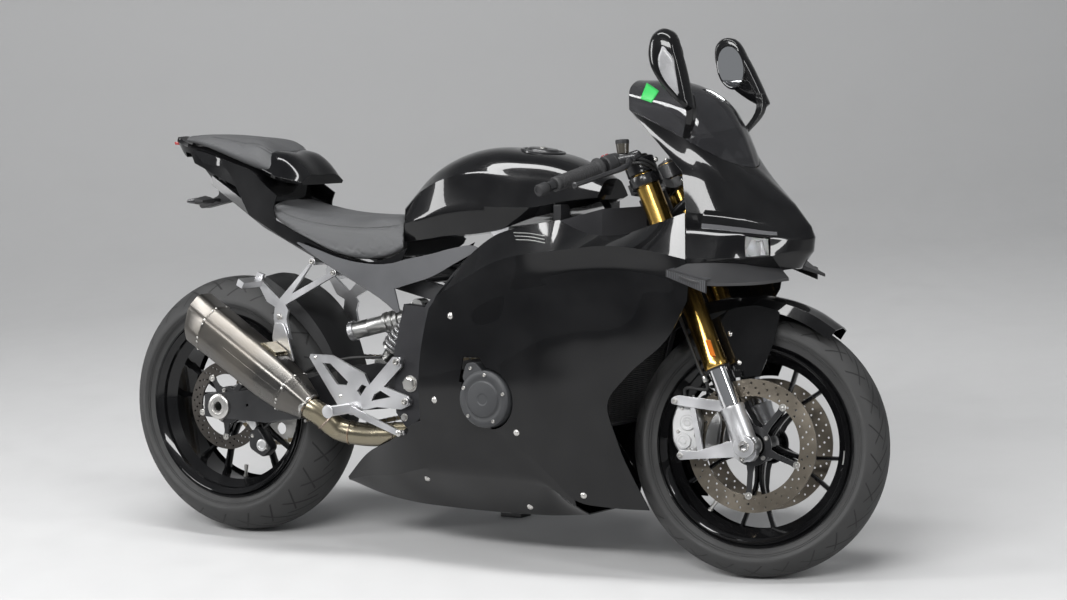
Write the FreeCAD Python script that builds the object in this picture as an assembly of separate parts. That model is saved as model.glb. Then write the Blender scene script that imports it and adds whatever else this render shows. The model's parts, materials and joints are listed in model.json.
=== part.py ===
import FreeCAD, Part
import math
import os

# Sport bike, built upright in its own frame and then set down as it parks.
# Own frame: millimetres, origin on the ground under the rear axle, +X to the front, +Y to the left, +Z up.

V = FreeCAD.Vector
os.makedirs("parts", exist_ok=True)

# Driving sizes; the front's tables were read at a wheelbase of TABLE_BASE and move ahead with the front wheel
WHEELBASE = 1457.0
TABLE_BASE = 1457.0
RAKE = math.radians(23.8)
FORK_OFFSET = 29.8
FORK_Y = 107.0
LEAN = math.radians(9.0)
STEER_REST = math.radians(11.7)

FLANGE_R = 231.5
FRONT_PROFILE, FRONT_HALF, FRONT_CROWN, FRONT_SEAT = 68.5, 60.0, 66.4, 46.0
REAR_PROFILE, REAR_HALF, REAR_CROWN, REAR_SEAT = 88.5, 95.0, 106.8, 76.0
BEAD_R = FLANGE_R - 13.5
FRONT_R = FLANGE_R + FRONT_PROFILE
REAR_R = FLANGE_R + REAR_PROFILE
FRONT_DISC_R, FRONT_DISC_Y, DISC_T = 151.0, 67.0, 5.0
REAR_DISC_R, REAR_DISC_Y = 110.0, -84.0
SPROCKET_R, SPROCKET_Y, CHAIN_W = 113.7, 109.0, 16.0
GEARBOX_R, GEARBOX_X, GEARBOX_Z = 43.0, 690.0, 405.0
PANEL_T = 3.0

# The steering axis: its foot on the ground, its direction and the direction square to it
TRAIL = (FRONT_R * math.sin(RAKE) - FORK_OFFSET) / math.cos(RAKE)
AXIS_FOOT = V(TABLE_BASE + TRAIL, 0, 0)
AXIS_DIR = V(-math.sin(RAKE), 0, math.cos(RAKE))
AXIS_FWD = V(math.cos(RAKE), 0, math.sin(RAKE))
REAR_AXLE = V(0, 0, REAR_R)
FRONT_AXLE = V(TABLE_BASE, 0, FRONT_R)
AXLE_S = TRAIL * math.sin(RAKE) + FRONT_R * math.cos(RAKE)
AHEAD = V(WHEELBASE - TABLE_BASE, 0, 0)
FRONT_CAMBER = math.asin(math.sin(LEAN) * math.cos(STEER_REST)
                         + math.cos(LEAN) * math.sin(RAKE) * math.sin(STEER_REST))


# Helpers

def drawn(x):
    """Where a table's x comes to stand: the length between engine and steering head follows the wheelbase."""
    return x + AHEAD.x * min(1.0, max(0.0, (x - 700.0) / 300.0))


def by_axle(axle, points):
    """Outline points (x, z) given from an axle."""
    return [(axle.x + x, axle.z + z) for x, z in points]


def polygon(points):
    """A closed wire through 3-D points."""
    pts = [V(*p) for p in points]
    return Part.makePolygon(pts + [pts[0]])


def prism_y(points, y0, y1):
    """Extrudes an outline of (x, z) points from y0 to y1."""
    face = Part.Face(polygon([(x, y0, z) for x, z in points]))
    return face.extrude(V(0, y1 - y0, 0))


def prism_x(points, x0, x1):
    """Extrudes an outline of (y, z) points from x0 to x1."""
    face = Part.Face(polygon([(x0, y, z) for y, z in points]))
    return face.extrude(V(x1 - x0, 0, 0))


def prism_z(points, z0, z1):
    """Extrudes an outline of (x, y) points from z0 to z1."""
    face = Part.Face(polygon([(x, y, z0) for x, y in points]))
    return face.extrude(V(0, 0, z1 - z0))


def rod(a, b, r):
    """A round bar of radius r from a to b."""
    a, b = V(*a), V(*b)
    return Part.makeCylinder(r, (b - a).Length, a, b - a)


def tube(a, b, outer, inner):
    """A round tube from a to b, open at both ends."""
    d = (V(*b) - V(*a)).normalize()
    return rod(a, b, outer).cut(rod(V(*a) - d, V(*b) + d, inner))


def bent_rod(points, r):
    """A round bar of radius r along a chain of points, with ball corners."""
    shape = rod(points[0], points[1], r)
    for a, b in zip(points[1:-1], points[2:]):
        shape = shape.fuse(Part.makeSphere(r, V(*a))).fuse(rod(a, b, r))
    return shape


def revolve_y(profile, centre):
    """Turns an outline of (radius, y) points round the Y line through centre."""
    face = Part.Face(polygon([(centre.x + r, centre.y + y, centre.z) for r, y in profile]))
    return face.revolve(centre, V(0, 1, 0), 360)


def ruled(sections):
    """A solid with flat-ruled walls through closed outlines of 3-D points."""
    return Part.makeLoft([polygon(s) for s in sections], True, True)


def mirror(shape):
    """The same shape on the bike's other side."""
    return shape.mirror(V(0, 0, 0), V(0, 1, 0))


def both(shape):
    """A shape and its mirror image, as two solids of one node."""
    return Part.makeCompound([shape, mirror(shape)])


def ruled_face(a, b, c, d):
    """The face ruled between the edges a-b and d-c."""
    return Part.makeRuledSurface(Part.makeLine(a, b), Part.makeLine(d, c))


def skin(rows, t, skip=()):
    """A panel of thickness t under a grid of outer points; the cells in skip stay open."""
    p = [[V(*q) for q in row] for row in rows]
    ni, nj = len(p), len(p[0])
    inner = []
    for i in range(ni):
        line = []
        for j in range(nj):
            down = p[min(i + 1, ni - 1)][j] - p[max(i - 1, 0)][j]
            along = p[i][min(j + 1, nj - 1)] - p[i][max(j - 1, 0)]
            line.append(p[i][j] - down.cross(along).normalize() * t)
        inner.append(line)
    faces, sides = [], {}
    for i in range(ni - 1):
        for j in range(nj - 1):
            if (i, j) in skip:
                continue
            ring = [(i, j), (i, j + 1), (i + 1, j + 1), (i + 1, j)]
            faces.append(ruled_face(*[p[a][b] for a, b in ring]))
            faces.append(ruled_face(*[inner[a][b] for a, b in ring]))
            for a, b in zip(ring, ring[1:] + ring[:1]):
                key = tuple(sorted((a, b)))
                sides[key] = sides.get(key, 0) + 1
    for (a, b), count in sides.items():
        if count == 1:
            faces.append(ruled_face(p[a[0]][a[1]], p[b[0]][b[1]], inner[b[0]][b[1]], inner[a[0]][a[1]]))
    shell = Part.Shell(faces)
    shell.sewShape()
    solid = Part.Solid(shell)
    if solid.Volume < 0:
        solid.reverse()
    return solid


def fork_point(s, y=0.0, ahead=0.0):
    """The point a distance s up the steering axis, moved ahead square to it and across by y."""
    return AXIS_FOOT + AXIS_DIR * s + AXIS_FWD * ahead + V(0, y, 0)


def fork_box(s0, s1, f0, f1, y0, y1):
    """A block square to the steering axis."""
    corners = [(s0, f0), (s1, f0), (s1, f1), (s0, f1)]
    pts = [fork_point(s, y0, f) for s, f in corners]
    return Part.Face(polygon(pts)).extrude(V(0, y1 - y0, 0))


# Wheels

def tyre(centre, radius, half, crown, seat, marks):
    """A tyre as a hollow carcass seated on its rim; marks are the crown angles that carry an edge."""
    base = radius - crown
    top = [(base + crown * math.cos(a), crown * math.sin(a)) for a in marks]
    shoulder = top[-1][0] - 6
    outer = [(BEAD_R, -seat), (FLANGE_R + 3, -seat - 2)] + top + [(FLANGE_R + 3, seat + 2), (BEAD_R, seat)]
    inner = [(BEAD_R, seat - 14), (shoulder, half - 12), (radius - 12, half * 0.35),
             (radius - 12, -half * 0.35), (shoulder, -half + 12), (BEAD_R, -seat + 14)]
    return revolve_y(outer + inner, centre)


def rim(centre, seat, flange, spoke_y, hub_r, hub_half, turn):
    """A cast wheel: drop-centre rim, five forked spokes and a bored hub."""
    well = FLANGE_R - 35.5
    half = [(FLANGE_R, flange), (FLANGE_R, seat + 2), (BEAD_R, seat), (BEAD_R - 2, seat - 16), (well, seat - 30)]
    under = [(well - 7, seat - 30), (BEAD_R - 10, seat - 14), (BEAD_R - 8, seat - 2), (FLANGE_R - 7.5, flange)]
    outline = half + [(r, -y) for r, y in reversed(half)] + [(r, -y) for r, y in reversed(under)] + under
    shape = revolve_y(outline, centre)
    hub = Part.makeCylinder(hub_r, 2 * hub_half, centre - V(0, hub_half, 0), V(0, 1, 0))
    end, fork = well - 3, well * 0.57
    stem = [(hub_r - 8, -15), (fork - 16, -9), (end, -46), (end, -32), (fork, 0), (end, 32), (end, 46),
            (fork - 16, 9), (hub_r - 8, 15)]
    for k in range(5):
        spoke = prism_y([(x, z) for x, z in stem], -spoke_y, spoke_y)
        spoke.rotate(V(0, 0, 0), V(0, 1, 0), turn + 72 * k)
        spoke.translate(centre)
        hub = hub.fuse(spoke)
    bore = Part.makeCylinder(16, 2 * hub_half + 2, centre - V(0, hub_half + 1, 0), V(0, 1, 0))
    return shape.fuse(hub).cut(bore)


def brake_disc(centre, r, y, inner_r, pins):
    """A drilled brake disc with its carrier arms, centred on y."""
    c = centre + V(0, y - DISC_T / 2, 0)
    ring = Part.makeCylinder(r, DISC_T, c, V(0, 1, 0)).cut(Part.makeCylinder(inner_r, DISC_T, c, V(0, 1, 0)))
    hub = Part.makeCylinder(46, DISC_T, c, V(0, 1, 0)).cut(Part.makeCylinder(30, DISC_T, c, V(0, 1, 0)))
    arm = prism_y([(43, -9), (inner_r + 4, -7), (inner_r + 4, 7), (43, 9)], -DISC_T / 2, DISC_T / 2)
    for k in range(pins):
        a = arm.copy()
        a.rotate(V(0, 0, 0), V(0, 1, 0), 360.0 / pins * k + 20)
        a.translate(centre + V(0, y, 0))
        hub = hub.fuse(a)
    return ring.fuse(hub)


front_marks = [-1.09, -0.66, -FRONT_CAMBER, 0.0, FRONT_CAMBER, 0.66, 1.09]
rear_marks = [-1.09, -0.63, -LEAN, LEAN, 0.63, 1.09]
front_tyre = tyre(FRONT_AXLE, FRONT_R, FRONT_HALF, FRONT_CROWN, FRONT_SEAT, front_marks)
rear_tyre = tyre(REAR_AXLE, REAR_R, REAR_HALF, REAR_CROWN, REAR_SEAT, rear_marks)
front_rim = rim(FRONT_AXLE, FRONT_SEAT, FRONT_SEAT + 8, 13.0, 40.0, 58.0, 18.0)
rear_rim = rim(REAR_AXLE, REAR_SEAT, REAR_SEAT + 8, 15.0, 50.0, 76.0, 50.0)
disc_right = brake_disc(FRONT_AXLE, FRONT_DISC_R, -FRONT_DISC_Y, 112.0, 5)
front_discs = Part.makeCompound([disc_right, mirror(disc_right)])
for side in (-1, 1):
    boss = tube((TABLE_BASE, side * 58, FRONT_R), (TABLE_BASE, side * (FRONT_DISC_Y - DISC_T / 2), FRONT_R), 42, 30)
    front_rim = front_rim.fuse(boss)
rear_disc = brake_disc(REAR_AXLE, REAR_DISC_R, REAR_DISC_Y, 78.0, 5)
rear_rim = rear_rim.fuse(tube((0, -76, REAR_R), (0, REAR_DISC_Y + DISC_T / 2, REAR_R), 42, 30))
cush = tube((0, 76, REAR_R), (0, SPROCKET_Y - 3, REAR_R), 62, 30)
rear_rim = rear_rim.fuse(cush)
sprocket = revolve_y([(30, -3), (SPROCKET_R - 6.5, -3), (SPROCKET_R - 6.5, 3), (30, 3)],
                     REAR_AXLE + V(0, SPROCKET_Y, 0))
for k in range(5):
    a = math.radians(72 * k)
    hole = REAR_AXLE + V(80 * math.cos(a), SPROCKET_Y - 4, 80 * math.sin(a))
    sprocket = sprocket.cut(Part.makeCylinder(15, 8, hole, V(0, 1, 0)))


# Chain, as one closed run of links round both sprockets

def chain_loop(offset):
    """The chain line round both sprockets, moved outward by offset."""
    r0, r1 = SPROCKET_R + offset, GEARBOX_R + offset
    dx, dz = GEARBOX_X, GEARBOX_Z - REAR_R
    dist, tilt = math.hypot(dx, dz), math.atan2(dz, dx)
    lean_in = math.acos((r0 - r1) / dist)
    pts = []
    for k in range(17):
        a = tilt + lean_in + (2 * math.pi - 2 * lean_in) * k / 16
        pts.append((r0 * math.cos(a), REAR_R + r0 * math.sin(a)))
    for k in range(9):
        a = tilt - lean_in + 2 * lean_in * k / 8
        pts.append((dx + r1 * math.cos(a), GEARBOX_Z + r1 * math.sin(a)))
    return pts


chain = prism_y(chain_loop(7), SPROCKET_Y - CHAIN_W / 2, SPROCKET_Y + CHAIN_W / 2)
chain = chain.cut(prism_y(chain_loop(-4), SPROCKET_Y - CHAIN_W, SPROCKET_Y + CHAIN_W))

# Swingarm: two arms with a cross member; the left arm passes between the chain's runs.
# Columns: x, inner y, outer y, low z, high z
ARM_RIGHT = [(612, 62, 96, 376, 446), (470, 66, 104, 350, 450), (370, 101, 128, 322, 428),
             (150, 101, 124, 288, 372), (-48, 92, 114, 292, 348)]
ARM_LEFT = [(612, 62, 92, 376, 446), (470, 62, 92, 350, 440), (400, 72, 112, 336, 396),
            (350, 120, 142, 312, 378), (150, 121, 144, 288, 356), (-48, 121, 142, 292, 348)]


def arm(table, side):
    """One arm of the swingarm from its table of sections."""
    return ruled([[(x, side * y0, z0), (x, side * y1, z0), (x, side * y1, z1), (x, side * y0, z1)]
                  for x, y0, y1, z0, z1 in table])


swingarm = arm(ARM_RIGHT, -1).fuse(arm(ARM_LEFT, 1))
swingarm = swingarm.fuse(ruled([[(x, -64, z0), (x, 64, z0), (x, 64, z1), (x, -64, z1)]
                                for x, z0, z1 in ((590, 380, 440), (470, 356, 440), (408, 372, 420))]))
swingarm = swingarm.fuse(rod((GEARBOX_X - 82, -98, 411), (GEARBOX_X - 82, 94, 411), 30))
swingarm = swingarm.fuse(rod((0, -117, REAR_R), (0, -92, REAR_R), 33))
swingarm = swingarm.fuse(rod((0, 121, REAR_R), (0, 143, REAR_R), 30))
swingarm = swingarm.cut(rod((0, -150, REAR_R), (0, 150, REAR_R), 15.0))
swingarm = swingarm.cut(rod((GEARBOX_X - 82, -150, 411), (GEARBOX_X - 82, 150, 411), 12.5))
for y0, y1, z in ((-130, -90, 328), (112, 150, 320)):
    swingarm = swingarm.cut(rod((90, y0, z), (90, y1, z), 4.0))

rear_axle = rod((0, -117, REAR_R), (0, 143, REAR_R), 15.0)
rear_axle = rear_axle.fuse(tube((0, -125, REAR_R), (0, -117, REAR_R), 31, 12))
rear_axle = rear_axle.fuse(tube((0, 143, REAR_R), (0, 152, REAR_R), 24, 12))
for y0, y1 in ((-92, -86.5), (112, 121)):
    rear_axle = rear_axle.fuse(tube((0, y0, REAR_R), (0, y1, REAR_R), 26, 14.9))

swingarm = swingarm.cut(rear_axle)

cheek = by_axle(REAR_AXLE, [(78, -58), (104, -44), (146, -98), (120, -124), (76, -102)])
bridge = by_axle(REAR_AXLE, [(122, -68), (146, -98), (120, -124), (96, -116)])
rear_caliper = prism_y(cheek, -99, -88.5).fuse(prism_y(cheek, -79.5, -66)).fuse(prism_y(bridge, -99, -66))
rear_caliper = rear_caliper.cut(Part.makeCylinder(REAR_DISC_R + 3, 9, V(0, -88.5, REAR_R), V(0, 1, 0)))
bracket = by_axle(REAR_AXLE, [(60, -20), (92, -58), (104, -44), (96, -20)])
rear_caliper = rear_caliper.fuse(prism_y(bracket, -102, -92)).cut(swingarm)

hugger_rows = []
for a, w in ((18, 60), (30, 68), (42, 75), (54, 78), (64, 74), (72, 60)):
    c, s = math.cos(math.radians(a)), math.sin(math.radians(a))
    r = REAR_R + 22
    hugger_rows.append([(r * c - 4, -w - 4, REAR_R + (r - 6) * s - 34), (r * c, -w, REAR_R + r * s),
                        ((r + 6) * c, 0, REAR_R + (r + 6) * s), (r * c, w, REAR_R + r * s),
                        (r * c - 4, w + 4, REAR_R + (r - 6) * s - 34)])
tongue = prism_y([(326, 424), (409, 420.7), (426, 426.1), (425, 430), (408, 426), (326, 430)], -26, 26)
hugger_tab = prism_z([(298, -118), (320, -118), (320, -66), (298, -66)], 415.6, 419.6)
hugger = skin(hugger_rows, PANEL_T).fuse(tongue).fuse(hugger_tab)

# Engine: one plain block, with its side covers as pieces of their own
CRANKCASE = [(650, 330), (955, 330), (955, 400), (1010, 505), (1002, 596), (880, 560), (810, 452), (690, 462),
             (650, 380)]
SUMP = [(650, 240), (720, 192), (930, 192), (952, 262), (955, 330), (650, 330)]
engine = prism_y(CRANKCASE, -185, 185).fuse(prism_y(SUMP, -138, 138))
engine = engine.cut(prism_y([(630, 475), (768, 475), (768, 335), (630, 335)], 92, 200))
clutch_cover = rod((861, -185, 394), (861, -238, 394), 67)
clutch_cover = clutch_cover.fuse(prism_y([(800, 440), (812, 476), (836, 478), (868, 446), (840, 400)], -232, -185))
clutch_cover = clutch_cover.fuse(rod((861, -238, 394), (861, -241, 394), 40))
generator_cover = rod((872, 185, 396), (872, 203, 396), 60).fuse(rod((872, 203, 396), (872, 207, 396), 40))
gearbox_shaft = rod((GEARBOX_X, 92, GEARBOX_Z), (GEARBOX_X, 101, GEARBOX_Z), 14)
gearbox_shaft = gearbox_shaft.fuse(rod((GEARBOX_X, 101, GEARBOX_Z), (GEARBOX_X, 117, GEARBOX_Z), GEARBOX_R - 5))

radiator = ruled([[(x, -165, z), (x + 34, -165, z - 10), (x + 34, 165, z - 10), (x, 165, z)]
                  for x, z in ((1052, 330), (1128, 590))])
for side in (-1, 1):
    strap = prism_y([(1004, 640), (1018, 650), (1134, 578), (1122, 562)], side * 164.3, side * 168.3)
    radiator = radiator.fuse(strap)

# Frame: steering head, two beams and two pivot plates.
# Columns: x, centre y, centre z, half width, half height
BEAM = [(1188, 30, 790, 18, 50), (1110, 96, 776, 20, 58), (1010, 142, 742, 18, 62), (860, 158, 682, 16, 58),
        (740, 156, 618, 16, 58), (652, 146, 540, 16, 60)]


def beam(side):
    """One main beam from its table of sections."""
    return ruled([[(drawn(x), side * (y - w), z - h), (drawn(x), side * (y + w), z - h),
                   (drawn(x), side * (y + w), z + h), (drawn(x), side * (y - w), z + h)] for x, y, z, w, h in BEAM])


PIVOT_PLATE = [(700, 590), (704, 480), (662, 466), (646, 340), (600, 300), (566, 340), (560, 480), (590, 600)]
head_foot = fork_point(790) + AHEAD
head = Part.makeCylinder(34, 150, head_foot, AXIS_DIR)
frame = head.fuse(beam(1)).fuse(beam(-1))
for side in (-1, 1):
    plate = prism_y(PIVOT_PLATE, side * 132, side * 162)
    frame = frame.fuse(plate)
    frame = frame.fuse(rod((GEARBOX_X - 82, side * 99, 411), (GEARBOX_X - 82, side * 132, 411), 24))
    frame = frame.fuse(prism_y([(950, 700), (1026, 700), (1012, 594), (980, 590)], side * 146, side * 164))
frame = frame.fuse(rod((640, -140, 566), (640, 140, 566), 22))
frame = frame.cut(Part.makeCylinder(17.3, 170, head_foot - AXIS_DIR * 10, AXIS_DIR))
frame = frame.cut(Part.makeCylinder(22, 118, head_foot + AXIS_DIR * 16, AXIS_DIR))
frame = frame.cut(rod((GEARBOX_X - 82, -170, 411), (GEARBOX_X - 82, 170, 411), 12.0))
STAND_PIVOT = V(548, 178, 300)
STAND_FOOT_Y = 285.0
STAND_FOOT = V(620, STAND_FOOT_Y, STAND_FOOT_Y * math.tan(LEAN))
STAND_DIR = (STAND_FOOT - STAND_PIVOT).normalize()
STAND_AXIS = STAND_DIR.cross(V(-0.95, 0.05, -0.05)).normalize()
frame = frame.fuse(rod(tuple(STAND_PIVOT - STAND_AXIS * 22), tuple(STAND_PIVOT + STAND_AXIS * 13), 6))
frame = frame.fuse(prism_y([(600, 380), (640, 360), (600, 300), (562, 286), (534, 286), (534, 316)], 150, 162))
swing_pivot = rod((GEARBOX_X - 82, -164, 411), (GEARBOX_X - 82, 164, 411), 12.0)

SUBFRAME = [(700, 128, 620, 10, 20), (520, 112, 656, 10, 20), (330, 98, 698, 10, 18), (120, 78, 782, 9, 14),
            (-60, 52, 880, 8, 12)]
subframe = None
for side in (-1, 1):
    rail = ruled([[(x, side * (y - w), z - h), (x, side * (y + w), z - h), (x, side * (y + w), z + h),
                   (x, side * (y - w), z + h)] for x, y, z, w, h in SUBFRAME])
    subframe = rail if subframe is None else subframe.fuse(rail)
for x, z, w in ((560, 648, 112), (330, 698, 94), (0, 850, 60)):
    subframe = subframe.fuse(rod((x, -w, z), (x, w, z), 9))
subframe = subframe.cut(frame)
engine = engine.cut(frame)

# Fuel tank and rider seat meet on a line that runs forward on both sides
SEAT_LINE = [(490, 0), (704, 340), (1300, 340), (1300, -340), (704, -340)]
TANK = {500: [(0, 806), (45, 800), (78, 780), (92, 760), (70, 735)],
        560: [(0, 866), (62, 855), (106, 826), (128, 785), (110, 745)],
        620: [(0, 922), (76, 904), (126, 868), (144, 800), (128, 752)],
        700: [(0, 958), (84, 940), (138, 900), (156, 820), (140, 764)],
        780: [(0, 970), (86, 954), (134, 910), (162, 835), (150, 770)],
        860: [(0, 963), (80, 950), (126, 898), (164, 835), (152, 784)],
        940: [(0, 953), (70, 942), (114, 892), (150, 836), (138, 812)],
        1010: [(0, 930), (55, 920), (88, 884), (112, 850), (90, 832)],
        1070: [(0, 900), (38, 893), (60, 872), (70, 858), (50, 852)]}


def closed(x, half):
    """A full cross-section from its right half, listed from the top centre down."""
    right = [(x, -y, z) for y, z in half]
    left = [(x, y, z) for y, z in reversed(half) if y > 0]
    return right + left


tank = ruled([closed(drawn(x), half) for x, half in TANK.items()]).common(prism_z(SEAT_LINE, 700, 1000))
for side in (-1, 1):
    tank = tank.fuse(prism_y([(drawn(x), z) for x, z in ((990, 804.3), (1010, 804.3), (1010, 842), (990, 842))],
                             side * 94, side * 134))
SEAT = {150: [(0, 838), (60, 834), (104, 822), (112, 812), (90, 800)],
        220: [(0, 816), (80, 814), (130, 800), (140, 782), (110, 770)],
        300: [(0, 802), (90, 801), (140, 786), (152, 750), (120, 742)],
        380: [(0, 797), (90, 796), (140, 778), (154, 720), (120, 712)],
        470: [(0, 798), (80, 797), (132, 776), (150, 705), (115, 700)],
        540: [(0, 802), (70, 801), (118, 782), (142, 716), (105, 712)],
        590: [(0, 806), (60, 804), (104, 788), (136, 745), (100, 738)]}
seat_cut = prism_z([(x - 0.4, y) for x, y in SEAT_LINE], 650, 1000)
rider_seat = ruled([closed(x, half) for x, half in SEAT.items()]).cut(seat_cut)
for side in (-1, 1):
    rider_seat = rider_seat.fuse(prism_y([(480, 685.1), (500, 685.1), (500, 708), (480, 708)],
                                         side * 98, side * 116))

# Tail: pillion pad on a cowl with side panels
PILLION = {-160: [(0, 992), (22, 990), (36, 984), (30, 974.3)],
           -60: [(0, 993), (60, 990), (84, 976), (76, 961.3)],
           40: [(0, 984), (74, 980), (104, 950), (94, 933.3)],
           110: [(0, 976), (80, 972), (110, 928), (98, 911.3)],
           180: [(0, 950), (80, 944), (108, 896), (96, 884)],
           236: [(0, 902), (70, 898), (92, 882), (84, 874)]}
pillion_seat = ruled([closed(x, half) for x, half in PILLION.items()])
COWL = {-190: [(0, 988), (30, 986), (34, 976), (26, 968)],
        -162: [(0, 974), (30, 973), (50, 968), (40, 944)],
        -60: [(0, 961), (60, 960), (80, 952), (78, 905)],
        40: [(0, 933), (80, 932), (98, 922), (96, 868)],
        110: [(0, 911), (84, 910), (102, 900), (98, 838)],
        140: [(0, 840), (84, 838), (90, 834), (88, 822)]}
tail_cowl = ruled([closed(x, half) for x, half in COWL.items()])
tail_cowl = tail_cowl.cut(prism_y([(-150, 890), (-150, 950), (-60, 935), (118, 872), (118, 780), (0, 780)], -60, 60))
for side in (-1, 1):
    tail_cowl = tail_cowl.fuse(prism_z([(-40, side * 48), (-20, side * 48), (-20, side * 59), (-40, side * 59)],
                                       881.7, 934))
tail_light = prism_x([(-26, 966), (26, 966), (30, 974), (-30, 974)], -206, -191)
plate_holder = prism_y([(-150, 943), (-110, 948), (-44, 872), (-30, 828), (-128, 806), (-136, 815), (-68, 842),
                        (-78, 868)], -22, 22)
for side in (-1, 1):
    stalk = rod((-70, side * 21, 829), (-68, side * 66, 829), 5)
    lens = ruled([[(x, side * (66 + dy), 829 + dz) for dy, dz in ((0, -h), (48, -h * 0.5), (48, h * 0.5), (0, h))]
                  for x, h in ((-98, 8), (-70, 13), (-48, 6))])
    plate_holder = plate_holder.fuse(stalk).fuse(lens)
plate_holder = plate_holder.cut(tail_cowl)

PANEL_ROWS = [[(-190, -48, 1000), (0, -112, 1000), (260, -118, 1000), (640, -148, 1000)],
              [(-190, -48, 900), (0, -112, 900), (260, -124, 880), (640, -149, 880)],
              [(-190, -60, 660), (0, -114, 660), (260, -136, 660), (640, -150, 660)]]
TAIL_SIDE = [(-104, 956), (-60, 951), (44, 926), (112, 904), (146, 876), (188, 848), (178, 820), (186, 786),
             (220, 774), (300, 740), (380, 709), (470, 695), (540, 708), (590, 732), (566, 690), (448, 680),
             (389, 690), (270, 722), (100, 798), (62, 858), (28, 910), (-60, 926)]
slab = skin(PANEL_ROWS, 4.0)
tail_panel = slab.common(prism_y(TAIL_SIDE, -220, 0)).cut(rider_seat)
tail_panels = both(tail_panel)

COVER_ROWS = [[(240, -146, 800), (480, -164, 800), (640, -172, 800), (860, -192, 800)],
              [(240, -147, 680), (480, -166, 680), (640, -176, 680), (860, -196, 680)],
              [(240, -140, 560), (480, -160, 560), (640, -172, 560), (860, -192, 560)]]
SIDE_COVER = [(270, 738), (330, 722), (389, 706), (448, 696), (565, 697), (600, 706), (679, 722), (750, 739),
              (806, 745), (825, 738), (792, 722), (750, 702), (679, 668), (622, 651), (568, 636), (582, 582),
              (572, 578), (542, 599), (441, 650), (352, 691)]
side_cover = skin(COVER_ROWS, 4.0).common(prism_y(SIDE_COVER, -260, 0))
for x, z, y0, y1 in ((560, 650, -126.9, -169), (430, 672, -116.4, -158.5)):
    side_cover = side_cover.fuse(rod((x, y0, z), (x, y1, z), 8))
side_covers = both(side_cover)

# Fairing sides: each row runs from the rear to the front, rows from the upper edge to the lower one
FAIRING = [
    [(752, -202, 676), (800, -200, 722), (870, -194, 772), (950, -190, 795), (1036, -184, 810), (1096, -178, 784),
     (1195, -176, 780), (1273, -172, 804), (1350, -158, 832)],
    [(721, -222, 627), (792, -232, 664), (915, -240, 720), (985, -242, 734), (1050, -243, 742), (1110, -243, 750),
     (1200, -242, 758), (1290, -240, 752), (1392, -231, 733)],
    [(712, -221, 612), (790, -232, 630), (915, -240, 680), (985, -236, 694), (1050, -230, 702), (1110, -226, 708),
     (1200, -225, 712), (1290, -230, 708), (1398, -229, 697)],
    [(700, -220, 598), (790, -231, 592), (915, -238, 640), (985, -232, 652), (1060, -226, 664), (1120, -224, 668),
     (1200, -224, 670), (1290, -228, 662), (1392, -224, 640)],
    [(690, -219, 565), (790, -230, 555), (905, -234, 575), (970, -233, 582), (1040, -232, 590), (1120, -230, 596),
     (1200, -226, 592), (1270, -222, 582), (1345, -218, 562)],
    [(672, -217, 480), (785, -228, 470), (900, -230, 475), (955, -229, 475), (1010, -227, 475), (1070, -223, 472),
     (1120, -219, 468), (1170, -214, 463), (1222, -206, 458)],
    [(666, -215, 420), (780, -224, 405), (890, -226, 405), (940, -224, 405), (990, -222, 405), (1040, -218, 405),
     (1085, -213, 404), (1130, -207, 403), (1174, -200, 402)],
    [(665, -209, 352), (768, -214, 340), (875, -214, 336), (920, -212, 322), (970, -206, 304), (1020, -199, 296),
     (1070, -192, 292), (1120, -184, 296), (1184, -176, 310)],
    [(665, -206, 325), (760, -209, 322), (870, -208, 318), (915, -203, 292), (965, -194, 262), (1010, -180, 218),
     (1062, -160, 165), (1150, -148, 152), (1248, -140, 152)]]
fairing_right = skin([[(drawn(x), y, z) for x, y, z in row] for row in FAIRING], PANEL_T)
for x, z, y0, y1 in ((900, 700, -171.3, -238), (930, 500, -185.3, -229)):
    fairing_right = fairing_right.fuse(rod((x, y0, z), (x, y1, z), 8))
fairing_left = mirror(fairing_right)
fairing_right = fairing_right.cut(rod((861, -260, 394), (861, -190, 394), 73))
fairing_right = fairing_right.cut(prism_y([(788, 430), (802, 490), (846, 492), (890, 430)], -260, -190))

# Belly pan: columns are x, top y, top z, chine y, chine z, bottom y, bottom z
BELLY = [(372, 88, 166, 84, 158, 60, 150), (450, 120, 230, 112, 176, 66, 130), (560, 172, 276, 150, 190, 78, 116),
         (665, 202.4, 330, 172, 215, 90, 113), (760, 205.4, 327, 176, 215, 96, 112),
         (870, 204.4, 323, 174, 215, 96, 112), (962, 191, 267, 168, 206, 92, 114),
         (1058, 156.4, 167, 148, 148, 88, 122)]
belly_rows = [[], [], [], [], [], []]
for x, y0, z0, y1, z1, y2, z2 in BELLY:
    for row, (y, z) in zip(belly_rows, ((-y0, z0), (-y1, z1), (-y2, z2), (y2, z2), (y1, z1), (y0, z0))):
        row.append((drawn(x), y, z))
belly_pan = skin(belly_rows, PANEL_T)

# Nose cowl: rows from the lower edge on the right over the top; the open cells hold the headlamps
NOSE = [
    [(1400, -226, 692), (1430, -198, 692), (1465, -158, 693), (1500, -108, 696), (1535, -55, 702), (1558, 0, 706)],
    [(1394, -231, 735), (1440, -208, 735), (1497, -147, 735), (1535, -100, 738), (1564, -54, 742), (1588, 0, 744)],
    [(1374, -196, 794), (1430, -172, 790), (1490, -136, 784), (1532, -95, 779), (1568, -50, 776), (1592, 0, 776)],
    [(1352, -158, 834), (1412, -136, 828), (1470, -108, 818), (1522, -76, 806), (1558, -40, 802), (1584, 0, 800)],
    [(1335, -146, 925), (1390, -126, 905), (1440, -98, 886), (1488, -68, 866), (1524, -36, 852), (1543, 0, 848)],
    [(1194, -138, 1062), (1300, -134, 1014), (1380, -116, 970), (1414, -76, 946), (1434, -38, 934), (1444, 0, 930)]]
nose_rows = [list(c) for c in zip(*NOSE)]
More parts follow.
